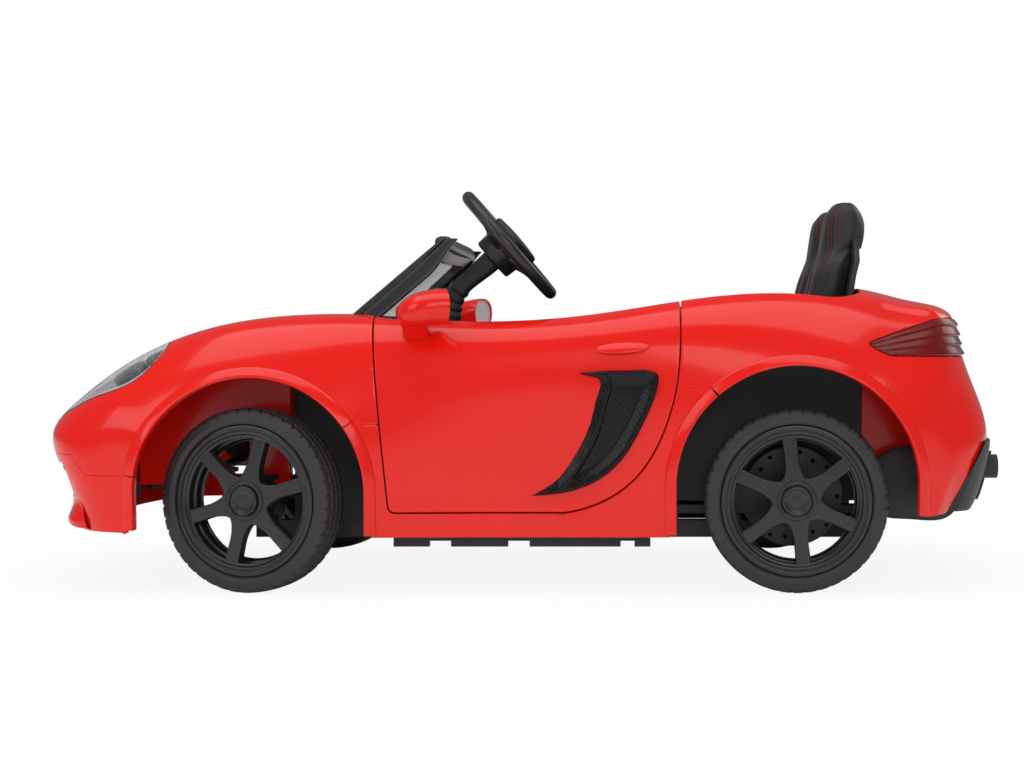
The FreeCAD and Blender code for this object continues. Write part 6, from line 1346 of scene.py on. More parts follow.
    def build(self) -> None:
        """Make the four wheels: the front pair turned as in the frame at rest, the rear pair on one axle."""
        tyre, band, cap, boss = self.tyre(), self.ring_band(), self.cap(), self.back_boss()
        front, rear = self.spoke_star(self.front_deg), self.spoke_star(self.rear_deg)
        turn = spin(math.radians(self.steer_deg))
        mirror = np.diag([1.0, -1.0, 1.0])
        for side in Side:
            name = side.name.lower()
            flip = mirror if side is Side.RIGHT else np.eye(3)
            pin = np.array([self.front_x, side.value * self.kingpin_y, self.radius])
            shift = turn @ np.array([0, side.value * (self.wheel_y - self.kingpin_y), 0]) + pin
            place = lambda patch: patch.moved(turn @ flip, shift)
            body = f"{name}_front_wheel"
            piece(f"{name}_front_rubber", [place(tyre)], RUBBER, body, [f"{name}_front_tyre"])
            piece(f"{name}_front_spokes", [place(p) for p in (band, front, boss)], RIM_PP, body,
                  [f"{name}_front_rim"])
            piece(f"{name}_front_hub_cap", [place(cap)], RIM_PP, body, [f"{name}_front_cap"])
        both = [(np.eye(3), (self.rear_x, -self.wheel_y, self.radius)),
                (mirror, (self.rear_x, self.wheel_y, self.radius))]
        piece("rear_rubber", [tyre.moved(*m) for m in both], RUBBER, "rear_wheels", ["rear_tyres"])
        piece("rear_spokes", [p.moved(*m) for m in both for p in (band, rear, boss)], RIM_PP, "rear_wheels",
              ["rear_rims"])
        piece("rear_hub_caps", [cap.moved(*m) for m in both], RIM_PP, "rear_wheels", ["rear_wheel_caps"])


# Door fittings


@dataclass
class SideVent:
    """Woven-look scoop on each door: a rolled lip, an inner ridge, a broad outer band and a sunk floor."""

    fore_line: tuple = ((78, 301.5), (92, 298), (107, 293), (104, 270), (96, 238), (84, 208), (69, 182),
                        (44, 152), (13, 134))
    back_line: tuple = ((78, 301.5), (110, 305), (150, 306), (178, 305), (187, 300), (188, 289), (178, 256),
                        (163, 224), (140, 186), (108, 157), (66, 140), (13, 134))
    lip: float = 6.4
    floor: float = 0.6
    ridge_rise: tuple[float, float] = (2.0, 12.5)
    ridge_fall: tuple[float, float] = (13.0, 19.0)
    band_fall: tuple[float, float] = (3.0, 24.0)
    skin_span: tuple[float, float] = (0.45, 0.72)
    cell: float = 1.7

    def build(self) -> None:
        """Make the vent of each door."""
        fore, back = smooth_line(self.fore_line, 90), smooth_line(self.back_line, 120)
        outline = np.concatenate([fore, back[-2:0:-1]])
        for side in Side:
            name = side.name.lower()
            inside = lambda p: outline_distance(p[:, [0, 2]], outline)
            uv, faces = SKIN.clipped(inside, self.skin_span, side.span(), self.cell)
            points, normal = SKIN.at(uv), SKIN.normal(uv)
            height = self.height(points[:, [0, 2]], fore, back, inside(points))
            outer = points + normal * height[:, None]
            made = Patch(outer, [faces], points[:, [0, 2]] * MM)
            piece(f"{name}_woven_vent", [made], WEAVE, f"{name}_door", [f"{name}_side_vent"],
                  sharp_deg=60)

    def height(self, flat: Array, fore: Array, back: Array, edge: Array) -> Array:
        """Height of the vent over the door.

        With f and b the distances to the front and rear lines, the front bevel climbs over ridge_rise of f
        and falls over ridge_fall, and the rear band falls from the lip to the floor over band_fall of b.

        Args:
            flat: rows (X, Z) in mm.
            fore: front line.
            back: rear line.
            edge: distance to the nearest edge.

        Returns:
            Heights in mm.
        """
        f, b = np.sqrt(line_gap(flat, fore)), np.sqrt(line_gap(flat, back))
        ridge = self.lip * (0.25 + 0.75 * smooth_step(*self.ridge_rise,
                                                      f)) * (1 - smooth_step(*self.ridge_fall, f))
        band = self.lip * (1 - smooth_step(*self.band_fall, b))
        body = np.maximum(np.maximum(ridge, band), self.floor)
        return body * smooth_step(-0.2, 2.6, edge) - 0.4 * (edge < 0.5)


@dataclass
class DoorHandle:
    """Moulded pull on each door: a lens-shaped blade that stands proud and is undercut below."""

    middle: tuple[float, float] = (139.0, 335.5)
    half_long: float = 37.0
    half_tall: float = 8.5
    proud: float = 7.5
    lean: float = 0.05

    def patch(self, side: Side) -> Patch:
        """Blade of one side.

        At share s along it the section's height and depth shrink by (1 - |s|^2.4)^0.55; the section runs from
        its top edge in a long slope to a rolled lower lip and back under it.
        """
        along = np.sin(np.linspace(-1, 1, 61) * math.pi / 2)
        section = smooth_line([(1.0, -0.10), (0.93, 0.12), (0.7, 0.34), (0.35, 0.6), (0.0, 0.8),
                               (-0.35, 0.94), (-0.62, 1.0), (-0.8, 0.97), (-0.92, 0.84), (-0.97, 0.62),
                               (-0.93, 0.42), (-0.84, 0.24), (-0.74, 0.08), (-0.7, -0.12)], 34)
        full = (1 - np.abs(along) ** 2.4).clip(0.0008) ** 0.55
        flat_x = self.middle[0] + self.half_long * along[:, None] + 0 * section[None, :, 0]
        flat_z = (self.middle[1] + self.lean * (flat_x - self.middle[0])
                  + self.half_tall * full[:, None] * section[None, :, 0])
        uv = SKIN.side_uv(np.stack([flat_x.ravel(), flat_z.ravel()], -1), side)
        lift = (self.proud * full[:, None] * section[None, :, 1]).ravel() - 0.4
        points = SKIN.at(uv) + SKIN.normal(uv) * lift[:, None]
        return surface(points.reshape(len(along), len(section), 3), turned=side is Side.LEFT).laid(0, 2)


# Mirrors


@dataclass
class WingMirror:
    """Mirror pod on a short foot on each door, with a bezel and a slightly domed glass."""

    place: tuple[float, float] = (353.0, 392.0)
    rows: tuple = ((-166.0, 4.0, 4.0), (-164.5, 10.0, 9.0), (-160, 18.0, 14.5), (-152, 26.0, 19.0),
                   (-140, 32.0, 22.4), (-124, 36.0, 24.0), (-110, 37.6, 24.9), (-104, 38.0, 25.0))
    end: float = -102.0
    aim_deg: float = 18.0
    aim_x: float = -128.0
    droop: float = 10.0
    foot_x: float = -145.0

    def ring(self, x: float, half_y: float, half_z: float, count: int = 64) -> Array:
        """Superellipse |y|^2.3 + |z|^2.3 = 1 across the pod, sunk with the square of the way to the tip."""
        aside, up = squared(full_turn(count), 2.3)
        droop = self.droop * ((x - self.end) / (self.rows[0][0] - self.end)) ** 2
        return np.stack([np.full(count, x), self.place[0] + half_y * aside,
                         self.place[1] - droop + half_z * up], -1)

    def pod(self) -> Patch:
        """Pod of the right mirror with a rolled bezel and a recess for the glass."""
        rows = smooth_line(self.rows, 40)
        rings = [self.ring(*row) for row in rows]
        tip = np.repeat(rings[0].mean(0)[None] - (0.6, 0, 0), len(rings[0]), 0)
        edge = self.end
        rolled = [(edge - 0.6, 38.0, 25.0), (edge - 0.1, 37.4, 24.4), (edge, 36.6, 23.6),
                  (edge - 0.1, 35.8, 22.8), (edge - 0.6, 35.2, 22.2), (edge - 3.6, 34.6, 21.6)]
        back = [self.ring(*row) for row in rolled]
        floor = np.repeat(back[-1].mean(0)[None], len(tip), 0)
        return surface(np.stack([tip] + rings + back + [floor]), ring_columns=True, turned=True)

    def foot(self) -> Patch:
        """Foot from the pod down to the door's shoulder: rounded slabs that shrink and spread again."""
        line = smooth_line([(352, 386, 23, 13), (342, 376, 20.5, 10.5), (329, 367, 18.5, 9.5),
                            (317, 359, 18.5, 10), (308, 353, 20.5, 11.5)], 22)
        along, across = squared(full_turn(48), 3.0)
        rings = [np.stack([self.foot_x + long * along, y - 0.5 * wide * across, z + 0.86 * wide * across], -1)
                 for y, z, long, wide in line]
        return surface(np.stack(rings), ring_columns=True)

    def glass(self) -> Patch:
        """Glass disc, domed by one millimetre."""
        rings = []
        for share in (1.0, 0.98, 0.8, 0.6, 0.4, 0.2, 0.001):
            rings.append(self.ring(self.end - 2.6 + 1.0 * (1 - share**2), 34.2 * share, 21.2 * share))
        return surface(np.stack(rings), ring_columns=True, turned=True)

    def aimed(self, patch: Patch) -> Patch:
        """Turn a patch of the right mirror towards the driver."""
        turn = spin(math.radians(-self.aim_deg))
        middle = np.array([self.aim_x, self.place[0], 0.0])
        return patch.moved(turn, middle - turn @ middle)

    def build(self) -> None:
        """Make both mirrors."""
        for side in Side:
            name = side.name.lower()
            flip = np.diag([1.0, side.value, 1.0])
            place = lambda patch: patch.moved(flip, (0, 0, 0))
            aimed = lambda patch: place(self.aimed(patch))
            piece(f"{name}_mirror_pod", [aimed(self.pod()), place(self.foot())], RED_ABS, f"{name}_door",
                  [f"{name}_mirror_housing"])
            # The mirror face's pale grey colour is a painted reflection of the white room, not a real mirror
            # reflection.
            piece(f"{name}_mirror_face", [aimed(self.glass())], MIRROR_PAINTED_REFLECTION, f"{name}_door",
                  [f"{name}_mirror_glass"])


# Windscreen


class ScreenSheet(Sheet):
    """Bowed screen S(z, y) = (rake line at z + 20 (y / 268)^2, y, z)."""

    base_x: float = -295.0
    base_z: float = 352.0
    slope: float = 163 / 140
    bow: float = 20 / 268**2

    def at(self, uv: Array) -> Array:
        """Points of the screen's front face in mm for rows (z, y)."""
        return np.stack([self.front(uv[:, 0], uv[:, 1]), uv[:, 1], uv[:, 0]], -1)

    def front(self, z: Array | float, y: Array | float) -> Array | float:
        """X of the front face at a height and a place across."""
        return self.base_x + self.slope * (z - self.base_z) + self.bow * y**2

    def normal(self, uv: Array) -> Array:
        """Unit normals that face forward and up."""
        return unit(np.stack([-np.ones(len(uv)), 2 * self.bow * uv[:, 1], np.full(len(uv), self.slope)], -1))


@dataclass
class Windscreen:
    """Low wrap-round screen: a black frame with deep side pillars and a clear pane."""

    low: float = 365.0
    top: float = 492.0
    half_top: float = 222.0
    spread: float = 46 / 140
    border: float = 15.0
    window_low: float = 392.0
    pillar: float = 44.0
    pillar_top: float = 24.0
    bend: float = 436.0
    sheet: ScreenSheet = field(default_factory=ScreenSheet)

    def half(self, z: Array | float) -> Array | float:
        """Half width of the frame at a height."""
        return self.half_top + self.spread * (self.top - z)

    def outline(self, inset: float, low: float, radius: float) -> Array:
        """Frame outline in the front view (Y, Z), drawn in by an inset."""
        wide, narrow, high = self.half(low) - inset, self.half_top - inset, self.top - inset
        return rounded_loop([(-wide, low), (-narrow, high), (narrow, high), (wide, low)], radius, 11)

    def blade(self, side: Side, start: float, end: float) -> Patch:
        """Part of a pillar between two shares of its depth: rounded plan sections up the side of the frame.

        The depth is full below the bend and falls to the frame's own depth at the top.
        """
        rings = []
        for z in np.linspace(self.low, self.top - 2, 44):
            deep = self.pillar - (self.pillar - self.pillar_top) * float(smooth_step(self.bend, self.top, z))
            edge = self.half(z) - 0.2
            front = self.sheet.front(z, edge)
            along, across = squared(full_turn(40), 5.0)
            x = front + deep * (start + end) / 2 + along * deep * (end - start) / 2
            y = edge - self.border / 2 + across * self.border / 2
            rings.append(np.stack([x, side.value * y, np.full(40, z)], -1))
        cap = rings[-1].mean(0) + (rings[-1] - rings[-1].mean(0)) * 0.7 + (1.0, 0, 1.2)
        closed = np.repeat(rings[-1].mean(0)[None] + (1.0, 0, 1.4), 40, 0)
        return surface(np.stack(rings + [cap, closed]), ring_columns=True, turned=side is Side.LEFT)

    def header(self) -> Patch:
        """Rounded bar along the top: ovals whose line rises by 5 mm to the middle and dips at both ends."""
        share = np.sin(np.linspace(-1, 1, 70) * math.pi / 2)
        along, up = squared(full_turn(32), 2.6)
        rings = []
        for s in share:
            y = s * (self.half_top - 3)
            x = self.sheet.front(self.top - 8, y) + 12
            z = self.top - 6 + 5 * (1 - s**2) - 9 * abs(s) ** 16
            full = (1 - abs(s) ** 24) ** 0.5 + 0.001
            rings.append(np.stack([x + 12.5 * full * along, np.full(32, y), z + 9 * full * up], -1))
        return surface(np.stack(rings), ring_columns=True)

    def build(self) -> None:
        """Make frame and pane."""
        outer, window = self.outline(0, self.low - 30, 46), self.outline(self.border, self.window_low, 26)
        region = lambda p: least(outline_distance(p[:, 1:], outer), -outline_distance(p[:, 1:], window),
                                 p[:, 2] - self.low)
        spans = (self.low - 2, self.top + 2), (-275.0, 275.0)
        frame = self.sheet.panel(region, *spans, cell=4.0, wall=17.0, edge=4.5)
        blades = [self.blade(side, *part) for side in Side
                  for part in ((0.0, 0.27), (0.3, 1.0))] + [self.header()]
        piece("black_screen_frame", [frame] + blades, SATIN_PP, "chassis", ["windscreen_frame"])
        pane = self.sheet.panel(lambda p: outline_distance(p[:, 1:], window) + 1.0, *spans, cell=7.0,
                                lift=-6.0, wall=3.0, edge=0.4)
        piece("clear_pane", [pane], SCREEN_PC, "chassis", ["windscreen_glass"])


# Steering


@dataclass
class SteeringGear:
    """Steering wheel, horn pad and the ribbed cover of the column, all square to the steering line."""

    centre: tuple[float, float, float] = (-26.5, -160.0, 484.0)
    axis_deg: float = 40.6
    rest_deg: float = -34.0
    ring: float = 90.0
    spoke_deg: tuple = (90.0, 180.0, 270.0)

    def __post_init__(self) -> None:
        """Work out the turn from the wheel's own axes (up, left, towards the driver) to the car's."""
        a = math.radians(self.axis_deg)
        axis, up = np.array([math.cos(a), 0, math.sin(a)]), np.array([-math.sin(a), 0, math.cos(a)])
        left = np.array([0, -1.0, 0])
        self.turn = np.stack([up, left, axis], -1) @ spin(math.radians(self.rest_deg))

    def placed(self, patch: Patch) -> Patch:
        """Patch in the wheel's own axes moved to its place."""
        return patch.moved(self.turn, self.centre)

    def lathe(self, profile: Sequence[tuple[float, float]], count: int = 72) -> Patch:
        """Rows (along the axis, radius) turned round the steering axis."""
        return revolved(profile, count).moved(np.array([[1.0, 0, 0], [0, 0, 1], [0, -1, 0]]), (0, 0, 0))

    def grip(self) -> Patch:
        """Rim: a soft oval section, thicker at the two hand holds, with a shallow seam along its inside."""
        along, around = full_turn(144)[:, None], full_turn(36)[None, :]
        hold = np.exp(-((np.abs((along + math.pi) % (2 * math.pi) - math.pi) - 1.0) / 0.32) ** 2)
        thick = 9.2 + 0.8 * hold - 0.5 * np.exp(-(((around - math.pi) / 0.16) ** 2))
        reach = self.ring + thick * np.cos(around)
        points = np.stack([reach * np.cos(along), reach * np.sin(along),
                           0.95 * thick * np.sin(around) + 0 * along], -1)
        return surface(points, ring_rows=True, ring_columns=True)

    def spoke(self, degrees: float) -> Patch:
        """Spoke: flat in front, its back swelling from 9 mm thick at the rim to 20 mm at the boss."""
        inner, outer = 26.0, self.ring - 2
        reach = np.linspace(inner, outer, 26)[:, None]
        share = (reach - inner) / (outer - inner)
        half = 11.5 + 6.5 * (1 - share) ** 2 + 5.0 * share**4
        front, back = 0.6 + 0 * share, -8.2 - 12.0 * (1 - share) ** 2.2
        across, height = squared(full_turn(36)[None, :], 2.8)
        y = half * across
        z = (front + back) / 2 + (front - back) / 2 * height
        flat = surface(np.stack([reach + 0 * y, y, z], -1), ring_columns=True)
        return flat.moved(spin(math.radians(degrees)), (0, 0, 0))

    def boss(self) -> Patch:
        """Boss behind the pad: a flared collar and a plain sleeve."""
        return self.lathe([(-34, 7), (-34, 29), (-33.2, 31), (-31.5, 32.2), (-14.5, 33.2), (-13, 34),
                           (-12.4, 35.6), (-11, 36.8), (-7.5, 37.4), (-3, 36.8), (0.4, 35), (2, 32.4),
                           (2.4, 29), (2.4, 10), (-6, 10)])

    def pad(self) -> list[Patch]:
        """Horn pad: a domed cushion of plastic on a stem, with a shallow groove round its face."""
        loop = rounded_loop([(-29, -38), (29, -38), (29, 38), (-29, 38)], 14, 9)
        rows = [(0.90, 6.0), (0.985, 6.2), (1.0, 7.2), (1.0, 11.5), (0.985, 13.6), (0.95, 15.2), (0.90, 16.1),
                (0.86, 16.4), (0.845, 15.8), (0.825, 15.8), (0.81, 16.5), (0.7, 17.0), (0.5, 17.7),
                (0.25, 18.1), (0.001, 18.2)]
        stem = self.lathe([(-6, 0.01), (-6, 9), (6.4, 9)], 40)
        return [surface(levels(loop, rows), ring_columns=True, turned=True), stem]

    def cover(self) -> Patch:
        """Column cover: a sleeve along the steering line that turns down into a ribbed boot on the dashboard.

        Past 45% of its length the section swells by 2.4 mm at each of five ribs.
        """
        line = smooth_line([(-53.0, 461.4), (-82, 436.5), (-102, 417), (-113, 396), (-119, 365)], 120)
        way = unit(np.gradient(line, axis=0))
        share = np.linspace(0, 1, 120)
        boot = smooth_step(0.42, 0.5, share)
        swell = boot * 2.4 * np.abs(np.sin(5 * math.pi * (share - 0.45) / 0.55)) ** 0.7
        in_plane = 15.5 - 2.5 * smooth_step(0, 0.4, share) + 7 * smooth_step(0.5, 1, share) + swell
        wide = 17.0 - 1.5 * smooth_step(0, 0.4, share) + 5 * smooth_step(0.5, 1, share) + swell
        along, across = squared(full_turn(48), 3.2)
        x = line[:, :1] + (way[:, 1:] * in_plane[:, None]) * along[None, :]
        z = line[:, 1:] - (way[:, :1] * in_plane[:, None]) * along[None, :]
        y = self.centre[1] + wide[:, None] * across[None, :]
        points = np.stack([x, y, z], -1)
        middle = points[0].mean(0)
        lid = middle + (points[0] - middle) * 0.55 + way[0, 0] * np.array([1.0, 0, -0.9])
        return surface(np.concatenate([lid[None], points]), ring_columns=True)

    def build(self) -> None:
        """Make wheel, pad and cover."""
        parts = [self.grip()] + [self.spoke(d) for d in self.spoke_deg] + [self.boss()]
        piece("steering_wheel_moulding", [self.placed(p) for p in parts], SATIN_PP, "steering",
              ["steering_wheel"])
        piece("horn_cushion", [self.placed(p) for p in self.pad()], BLACK_PP, "horn", ["horn_pad"])
        piece("ribbed_column_boot", [self.cover()], BLACK_PP, "chassis", ["column_cover"])


# Seats


def corners_of(mesh: bpy.types.Mesh) -> tuple[Array, Array]:
    """Points in mm and quads of a mesh made of quads; a triangle repeats its last corner."""
    points = np.empty(len(mesh.vertices) * 3, np.float32)
    mesh.vertices.foreach_get("co", points)
    faces = [list(p.vertices) if len(p.vertices) == 4 else list(p.vertices) + [p.vertices[-1]]
             for p in mesh.polygons]
    return points.reshape(-1, 3).astype(float) / MM, np.array(faces, int)


def scratch_object(name: str, points: Array, faces: Sequence) -> bpy.types.Object:
    """Temporary object from points in mm and faces."""
    mesh = bpy.data.meshes.new(name)
    mesh.from_pydata((points * MM).tolist(), [], [list(map(int, f)) for f in faces])
    made = bpy.data.objects.new(name, mesh)
    bpy.context.scene.collection.objects.link(made)
    return made


def evaluated(source: bpy.types.Object) -> tuple[Array, Array]:
    """Points and faces of an object with its modifiers."""
    bpy.context.view_layer.update()
    mesh = bpy.data.meshes.new_from_object(source.evaluated_get(bpy.context.evaluated_depsgraph_get()))
    found = corners_of(mesh)
    bpy.data.meshes.remove(mesh)
    return found


def discard(made: bpy.types.Object) -> None:
    """Remove a temporary object and its mesh."""
    mesh = made.data
    bpy.data.objects.remove(made)
    bpy.data.meshes.remove(mesh)


def swollen(name: str, form: Patch, cap: float, voxel: float = 5.0, pressure: float = 4.0,
            frames: int = 20) -> Patch:
    """Padded cover: a closed form is remeshed in cubes and swells as cloth under inner pressure.

    Args:
        name: name for the temporary objects.
        form: closed form a little smaller than the pad.
        cap: largest move of a point in mm.
        voxel: size of the cubes in mm.
        pressure: inner pressure of the cloth.
        frames: steps of the simulation.

    Returns:
        The swollen cover, once subdivided.
    """
    scene = bpy.context.scene
    rough = scratch_object(name + "_form", form.points, [f for faces in form.faces for f in faces])
    cubes = rough.modifiers.new("cubes", "REMESH")
    cubes.mode, cubes.voxel_size = "VOXEL", voxel * MM
    points, faces = evaluated(rough)
    discard(rough)
    cover = scratch_object(name + "_cover", points, faces)
    cloth = cover.modifiers.new("cover", "CLOTH")
    settings = cloth.settings
    settings.use_pressure, settings.uniform_pressure_force = True, pressure
    settings.effector_weights.gravity = 0.0
    settings.quality = 4
    cloth.point_cache.frame_start, cloth.point_cache.frame_end = 1, frames
    for frame in range(1, frames + 1):
        scene.frame_set(frame)
    moved, _ = evaluated(cover)
    cover.modifiers.remove(cloth)
    scene.frame_set(1)
    step = moved - points
    long = np.linalg.norm(step, axis=1)[:, None]
    points = points + step * np.minimum(1, cap / np.maximum(long, 1e-6))
    cover.data.vertices.foreach_set("co", (points * MM).astype(np.float32).ravel())
    cover.data.update()
    smooth = cover.modifiers.new("smooth", "SUBSURF")
    smooth.levels = 1
    points, faces = evaluated(cover)
    discard(cover)
    return Patch(points, [faces])


def point_normals(points: Array, faces: Array) -> Array:
    """Unit normals at points, as the mean of the faces round them."""
    across = np.cross(points[faces[:, 2]] - points[faces[:, 0]], points[faces[:, 3]] - points[faces[:, 1]])
    normal = np.zeros_like(points)
    for k in range(4):
        np.add.at(normal, faces[:, k], across)
    return normal / np.maximum(np.linalg.norm(normal, axis=1), 1e-9)[:, None]


@dataclass
class Seam:
    """A sewn line off the cover, its depth and width, its welt's radius and the way to the cover."""

    line: Array
    depth: float = 3.2
    width: float = 5.0
    welt: float = 1.0
    way: tuple[float, float, float] = (1.0, 0.0, 0.0)


@dataclass
class Bench:
    """Bench for two: a crowned cushion, two leaning backs with head pads, and the moulded shell."""

    seat_y: float = 106.0
    half: float = 96.0
    low_z: float = 240.0
    rows: tuple = ((4, 0.90, 399, 436), (30, 0.97, 387, 440), (90, 1.0, 392, 446), (150, 1.0, 402, 453),
                   (200, 0.98, 413, 461.5), (220, 0.93, 420, 467), (231, 0.85, 425, 472),
                   (240, 0.79, 427, 483), (254, 0.76, 429, 487), (275, 0.72, 432, 490),
                   (292, 0.67, 436, 491), (303, 0.60, 442, 487), (311, 0.48, 450, 478))
    foot_z: float = 217.0
    foot_height: float = 50.0
    shell_top: float = 492.0
    shell_half: float = 5.5
    shell_gap: float = 0.4
    bridge_top: float = 389.0
    bridge_half: float = 24.0
    count: int = 140
    above: float = 300.0
    before: float = 360.0
    beside: float = 150.0
    shelf: float = 190.3
    cushion_x: tuple[float, float] = (213.0, 432.0)
    cushion_half: float = 205.0
    cushion_top: float = 243.0
    swell: float = 6.0
    back_rings: int = 46

    def back_form(self) -> Patch:
        """Closed form of a back about Y = 0: squared rings that lean rearwards, with side bolsters."""
        rows = smooth_line(self.rows, self.back_rings)
        deep, side = squared(full_turn(88), 3.0)
        rings = []
        for rise, share, front, rear in rows:
            below = 1 - float(smooth_step(205, 240, rise))
            half = self.half * share - 3.5
            x = (front + rear) / 2 + 2 + deep * ((rear - front) / 2 - 3)
            bolster = 5 * np.exp(-(((np.abs(side) - 0.84) / 0.17) ** 2)) - 5 * np.exp(-((side / 0.5) ** 2))
            x = x - below * bolster * np.clip(-deep, 0, 1)
            rings.append(np.stack([x, half * side, np.full(len(x), self.low_z + rise)], -1))
        return capped(rings, turned=True)

    def cushion_form(self) -> Patch:
        """Closed form of the cushion: upright border, crowned top, a valley in the middle and two hollows."""
        middle, long = sum(self.cushion_x) / 2, (self.cushion_x[1] - self.cushion_x[0]) / 2
        along, side = squared(full_turn(self.count), 5.0)
        shape = np.stack([along * long, side * self.cushion_half], -1)
        border = ((0.001, self.shelf), (0.6, self.shelf), (0.95, self.shelf), (0.99, self.shelf + 5),
                  (1.0, 210), (1.0, 222), (0.985, 230))
        rings = [np.column_stack([shape * share, np.full(self.count, z)]) for share, z in border]
        for share in (0.96, 0.92, 0.86, 0.78, 0.68, 0.56, 0.44, 0.32, 0.2, 0.1, 0.001):
            x, y = (shape * share).T
            hollow = 5 * np.exp(-((np.abs(y) - self.seat_y) / 62) ** 2 - ((x - 20) / 70) ** 2)
            valley = 7 * np.exp(-((y / 13) ** 2)) + hollow
            rings.append(np.column_stack([x, y, 233 + 8 * (1 - share**6) - valley * (1 - share**8)]))
        points = np.stack(rings) + (middle, 0, 0)
        return surface(points, ring_columns=True)

    def sewn(self, name: str, cover: Patch, seams: Sequence[Seam], shift: float,
             room: Callable[[Array], Array], node: str) -> None:
        """Pull seams into a cover, lay welts in them and put the pad on its body.

        Args:
            name: object name.
            cover: swollen cover.
            seams: sewn lines, given off the face that they lie on.
            shift: Y of the finished pad.
            room: keeps points inside the space of the pad.
            node: CAD node that the pad stands for.
        """
        faces = cover.faces[0]
        points = room(cover.points)
        tree = BVHTree.FromPolygons(points.tolist(), faces.tolist())
        normal = point_normals(points, faces)
        found = []
        for seam in seams:
            hits = [tree.ray_cast(Vector(p), Vector(seam.way)) for p in seam.line]
            rows = [(tuple(h[0]), tuple(h[1])) for h in hits if h[0] is not None]
            found.append((seam, np.array([r[0] for r in rows]), np.array([r[1] for r in rows])))
        pull = np.zeros(len(points))
        for seam, line, _ in found:
            pull = np.maximum(pull, seam.depth * np.exp(-line_gap(points, line) / seam.width**2))
        patches, looks = [Patch(points - normal * pull[:, None], [faces])], [LEATHER]
        for seam, line, up in found:
            if not seam.welt:
                continue
            across = np.cross(unit(np.gradient(line, axis=0)), up)
            angle = full_turn(10)[None, :, None]
            centre = line - up * (seam.depth - 0.5 * seam.welt)
            around = np.cos(angle) * up[:, None] + np.sin(angle) * across[:, None]
            patches.append(surface(centre[:, None] + seam.welt * around, ring_columns=True))
            looks.append(RED_WELT)
        for patch in patches:
            patch.flat = None
        made = piece(name, [p.moved(np.eye(3), (0, shift, 0)) for p in patches], looks, "chassis", [node],
                     60)

    def back_seams(self) -> list[Seam]:
        """Welt round the front panel, a thread line inside it and two channels, as lines off a back."""
        rows = smooth_line(self.rows, self.back_rings)
        seams = []
        for share in (0.72, 0.65):
            rise = [(self.before, share * self.half * r[1], self.low_z + r[0]) for r in rows[2:-4]]
            over = [(self.before, y, self.low_z + rows[-4][0] + 2)
                    for y in np.linspace(rise[-1][1], -rise[-1][1], 16)]
            down = [(x, -y, z) for x, y, z in reversed(rise)]
            seams.append(Seam(smooth_line(np.array(rise + over[1:-1] + down), 150), 1.8, 3.6, 0.9))
        fold = smooth_line([(406, 372), (415, 405), (426, 435), (440, 462), (457, 477), (474, 480)], 50)
        for side in Side:
            off, way = side.value * self.beside, (0.0, -side.value, 0.0)
            seams.append(Seam(np.array([(x, off, z) for x, z in fold]), 4.0, 6.0, 0.0, way))
            for x in (445.0, 450.0):
                line = np.array([(x + 0.06 * (z - 484), off, z) for z in np.linspace(486, 541, 30)])
                seams.append(Seam(line, 1.2, 2.6, 0.8, way))
        for y in (-22.0, 22.0):
            line = np.array([(self.before, y, self.low_z + z) for z in np.linspace(14, 200, 40)])
            seams.append(Seam(line, 3.4, 7.0, 0.8))
        return seams

    def shell(self) -> None:
        """Make the moulded shell: a rounded sheet behind each back, a bridge between them and a foot."""
        backs = np.array(self.rows, float)
        around = full_turn(56)
        along, across = squared(around, 6.0)
        patches = []

        def upright(heights: Array, centre: float, half: Callable[[float], float]) -> None:
            """Add a sheet that leans like the backs, with a half width at each height."""
            rings = []
            for z in heights:
                front = float(np.interp(z - self.low_z, backs[:6, 0], backs[:6, 3])) + self.shell_gap
                x = front + self.shell_half + self.shell_half * along
                rings.append(np.stack([x, centre + half(z) * across, np.full(len(around), z)], -1))
            patches.append(capped(rings))

        for side in Side:
            upright(np.linspace(self.foot_z, self.shell_top, 60), side.value * self.seat_y,
                    lambda z: 3 + self.half * float(np.interp(z - self.low_z, backs[:, 0], backs[:, 1])))
        upright(np.linspace(self.foot_z, self.bridge_top, 30), 0.0, lambda z: self.bridge_half)
        foot = rounded_loop([(446, -153), (468, -153), (468, 153), (446, 153)], 5, 6)
        low, high = self.foot_z, self.foot_z + self.foot_height
        rows = ((0.001, low), (0.99, low), (1.0, low + 2), (1.0, high - 2), (0.985, high), (0.001, high))
        patches.append(surface(levels(foot, rows), ring_columns=True))
        piece("moulded_seat_shell", patches, BLACK_PP, "chassis", ["seat_shell"])

    def cushion_seams(self) -> list[Seam]:
        """Welt along the top edge and channels along each place, as lines above the cushion."""
        middle, long = sum(self.cushion_x) / 2, (self.cushion_x[1] - self.cushion_x[0]) / 2
        along, side = squared(np.append(full_turn(160), 2 * math.pi), 5.0)
        x, y = middle + 0.93 * along * long, 0.955 * side * self.cushion_half
        border = np.stack([x, y, np.full(len(x), self.above)], -1)
        down = (0.0, 0.0, -1.0)
        seams = [Seam(border, 2.4, 4.5, 1.5, down)]
        for y in (-158, -106, -54, 54, 106, 158):
            line = np.array([(x, y, self.above) for x in np.linspace(240, 408, 40)])
            seams.append(Seam(line, 3.4, 7.5, 0.8, down))
        return seams

    def build(self) -> None:
        """Make the cushion and both backs."""
        back = swollen("seat_back", self.back_form(), self.swell)
        places = np.array([(r[0] + self.low_z, r[3]) for r in self.rows], float)

        def before_shell(points: Array) -> Array:
            """Keep a back in front of the shell and over the cushion."""
            kept = points.copy()
            kept[:, 0] = np.minimum(kept[:, 0], np.interp(kept[:, 2], places[:, 0], places[:, 1]) - 0.3)
            kept[:, 1] = np.clip(kept[:, 1], -self.half - 0.5, self.half + 0.5)
            kept[:, 2] = np.maximum(kept[:, 2], self.low_z + 3.6)
            return kept

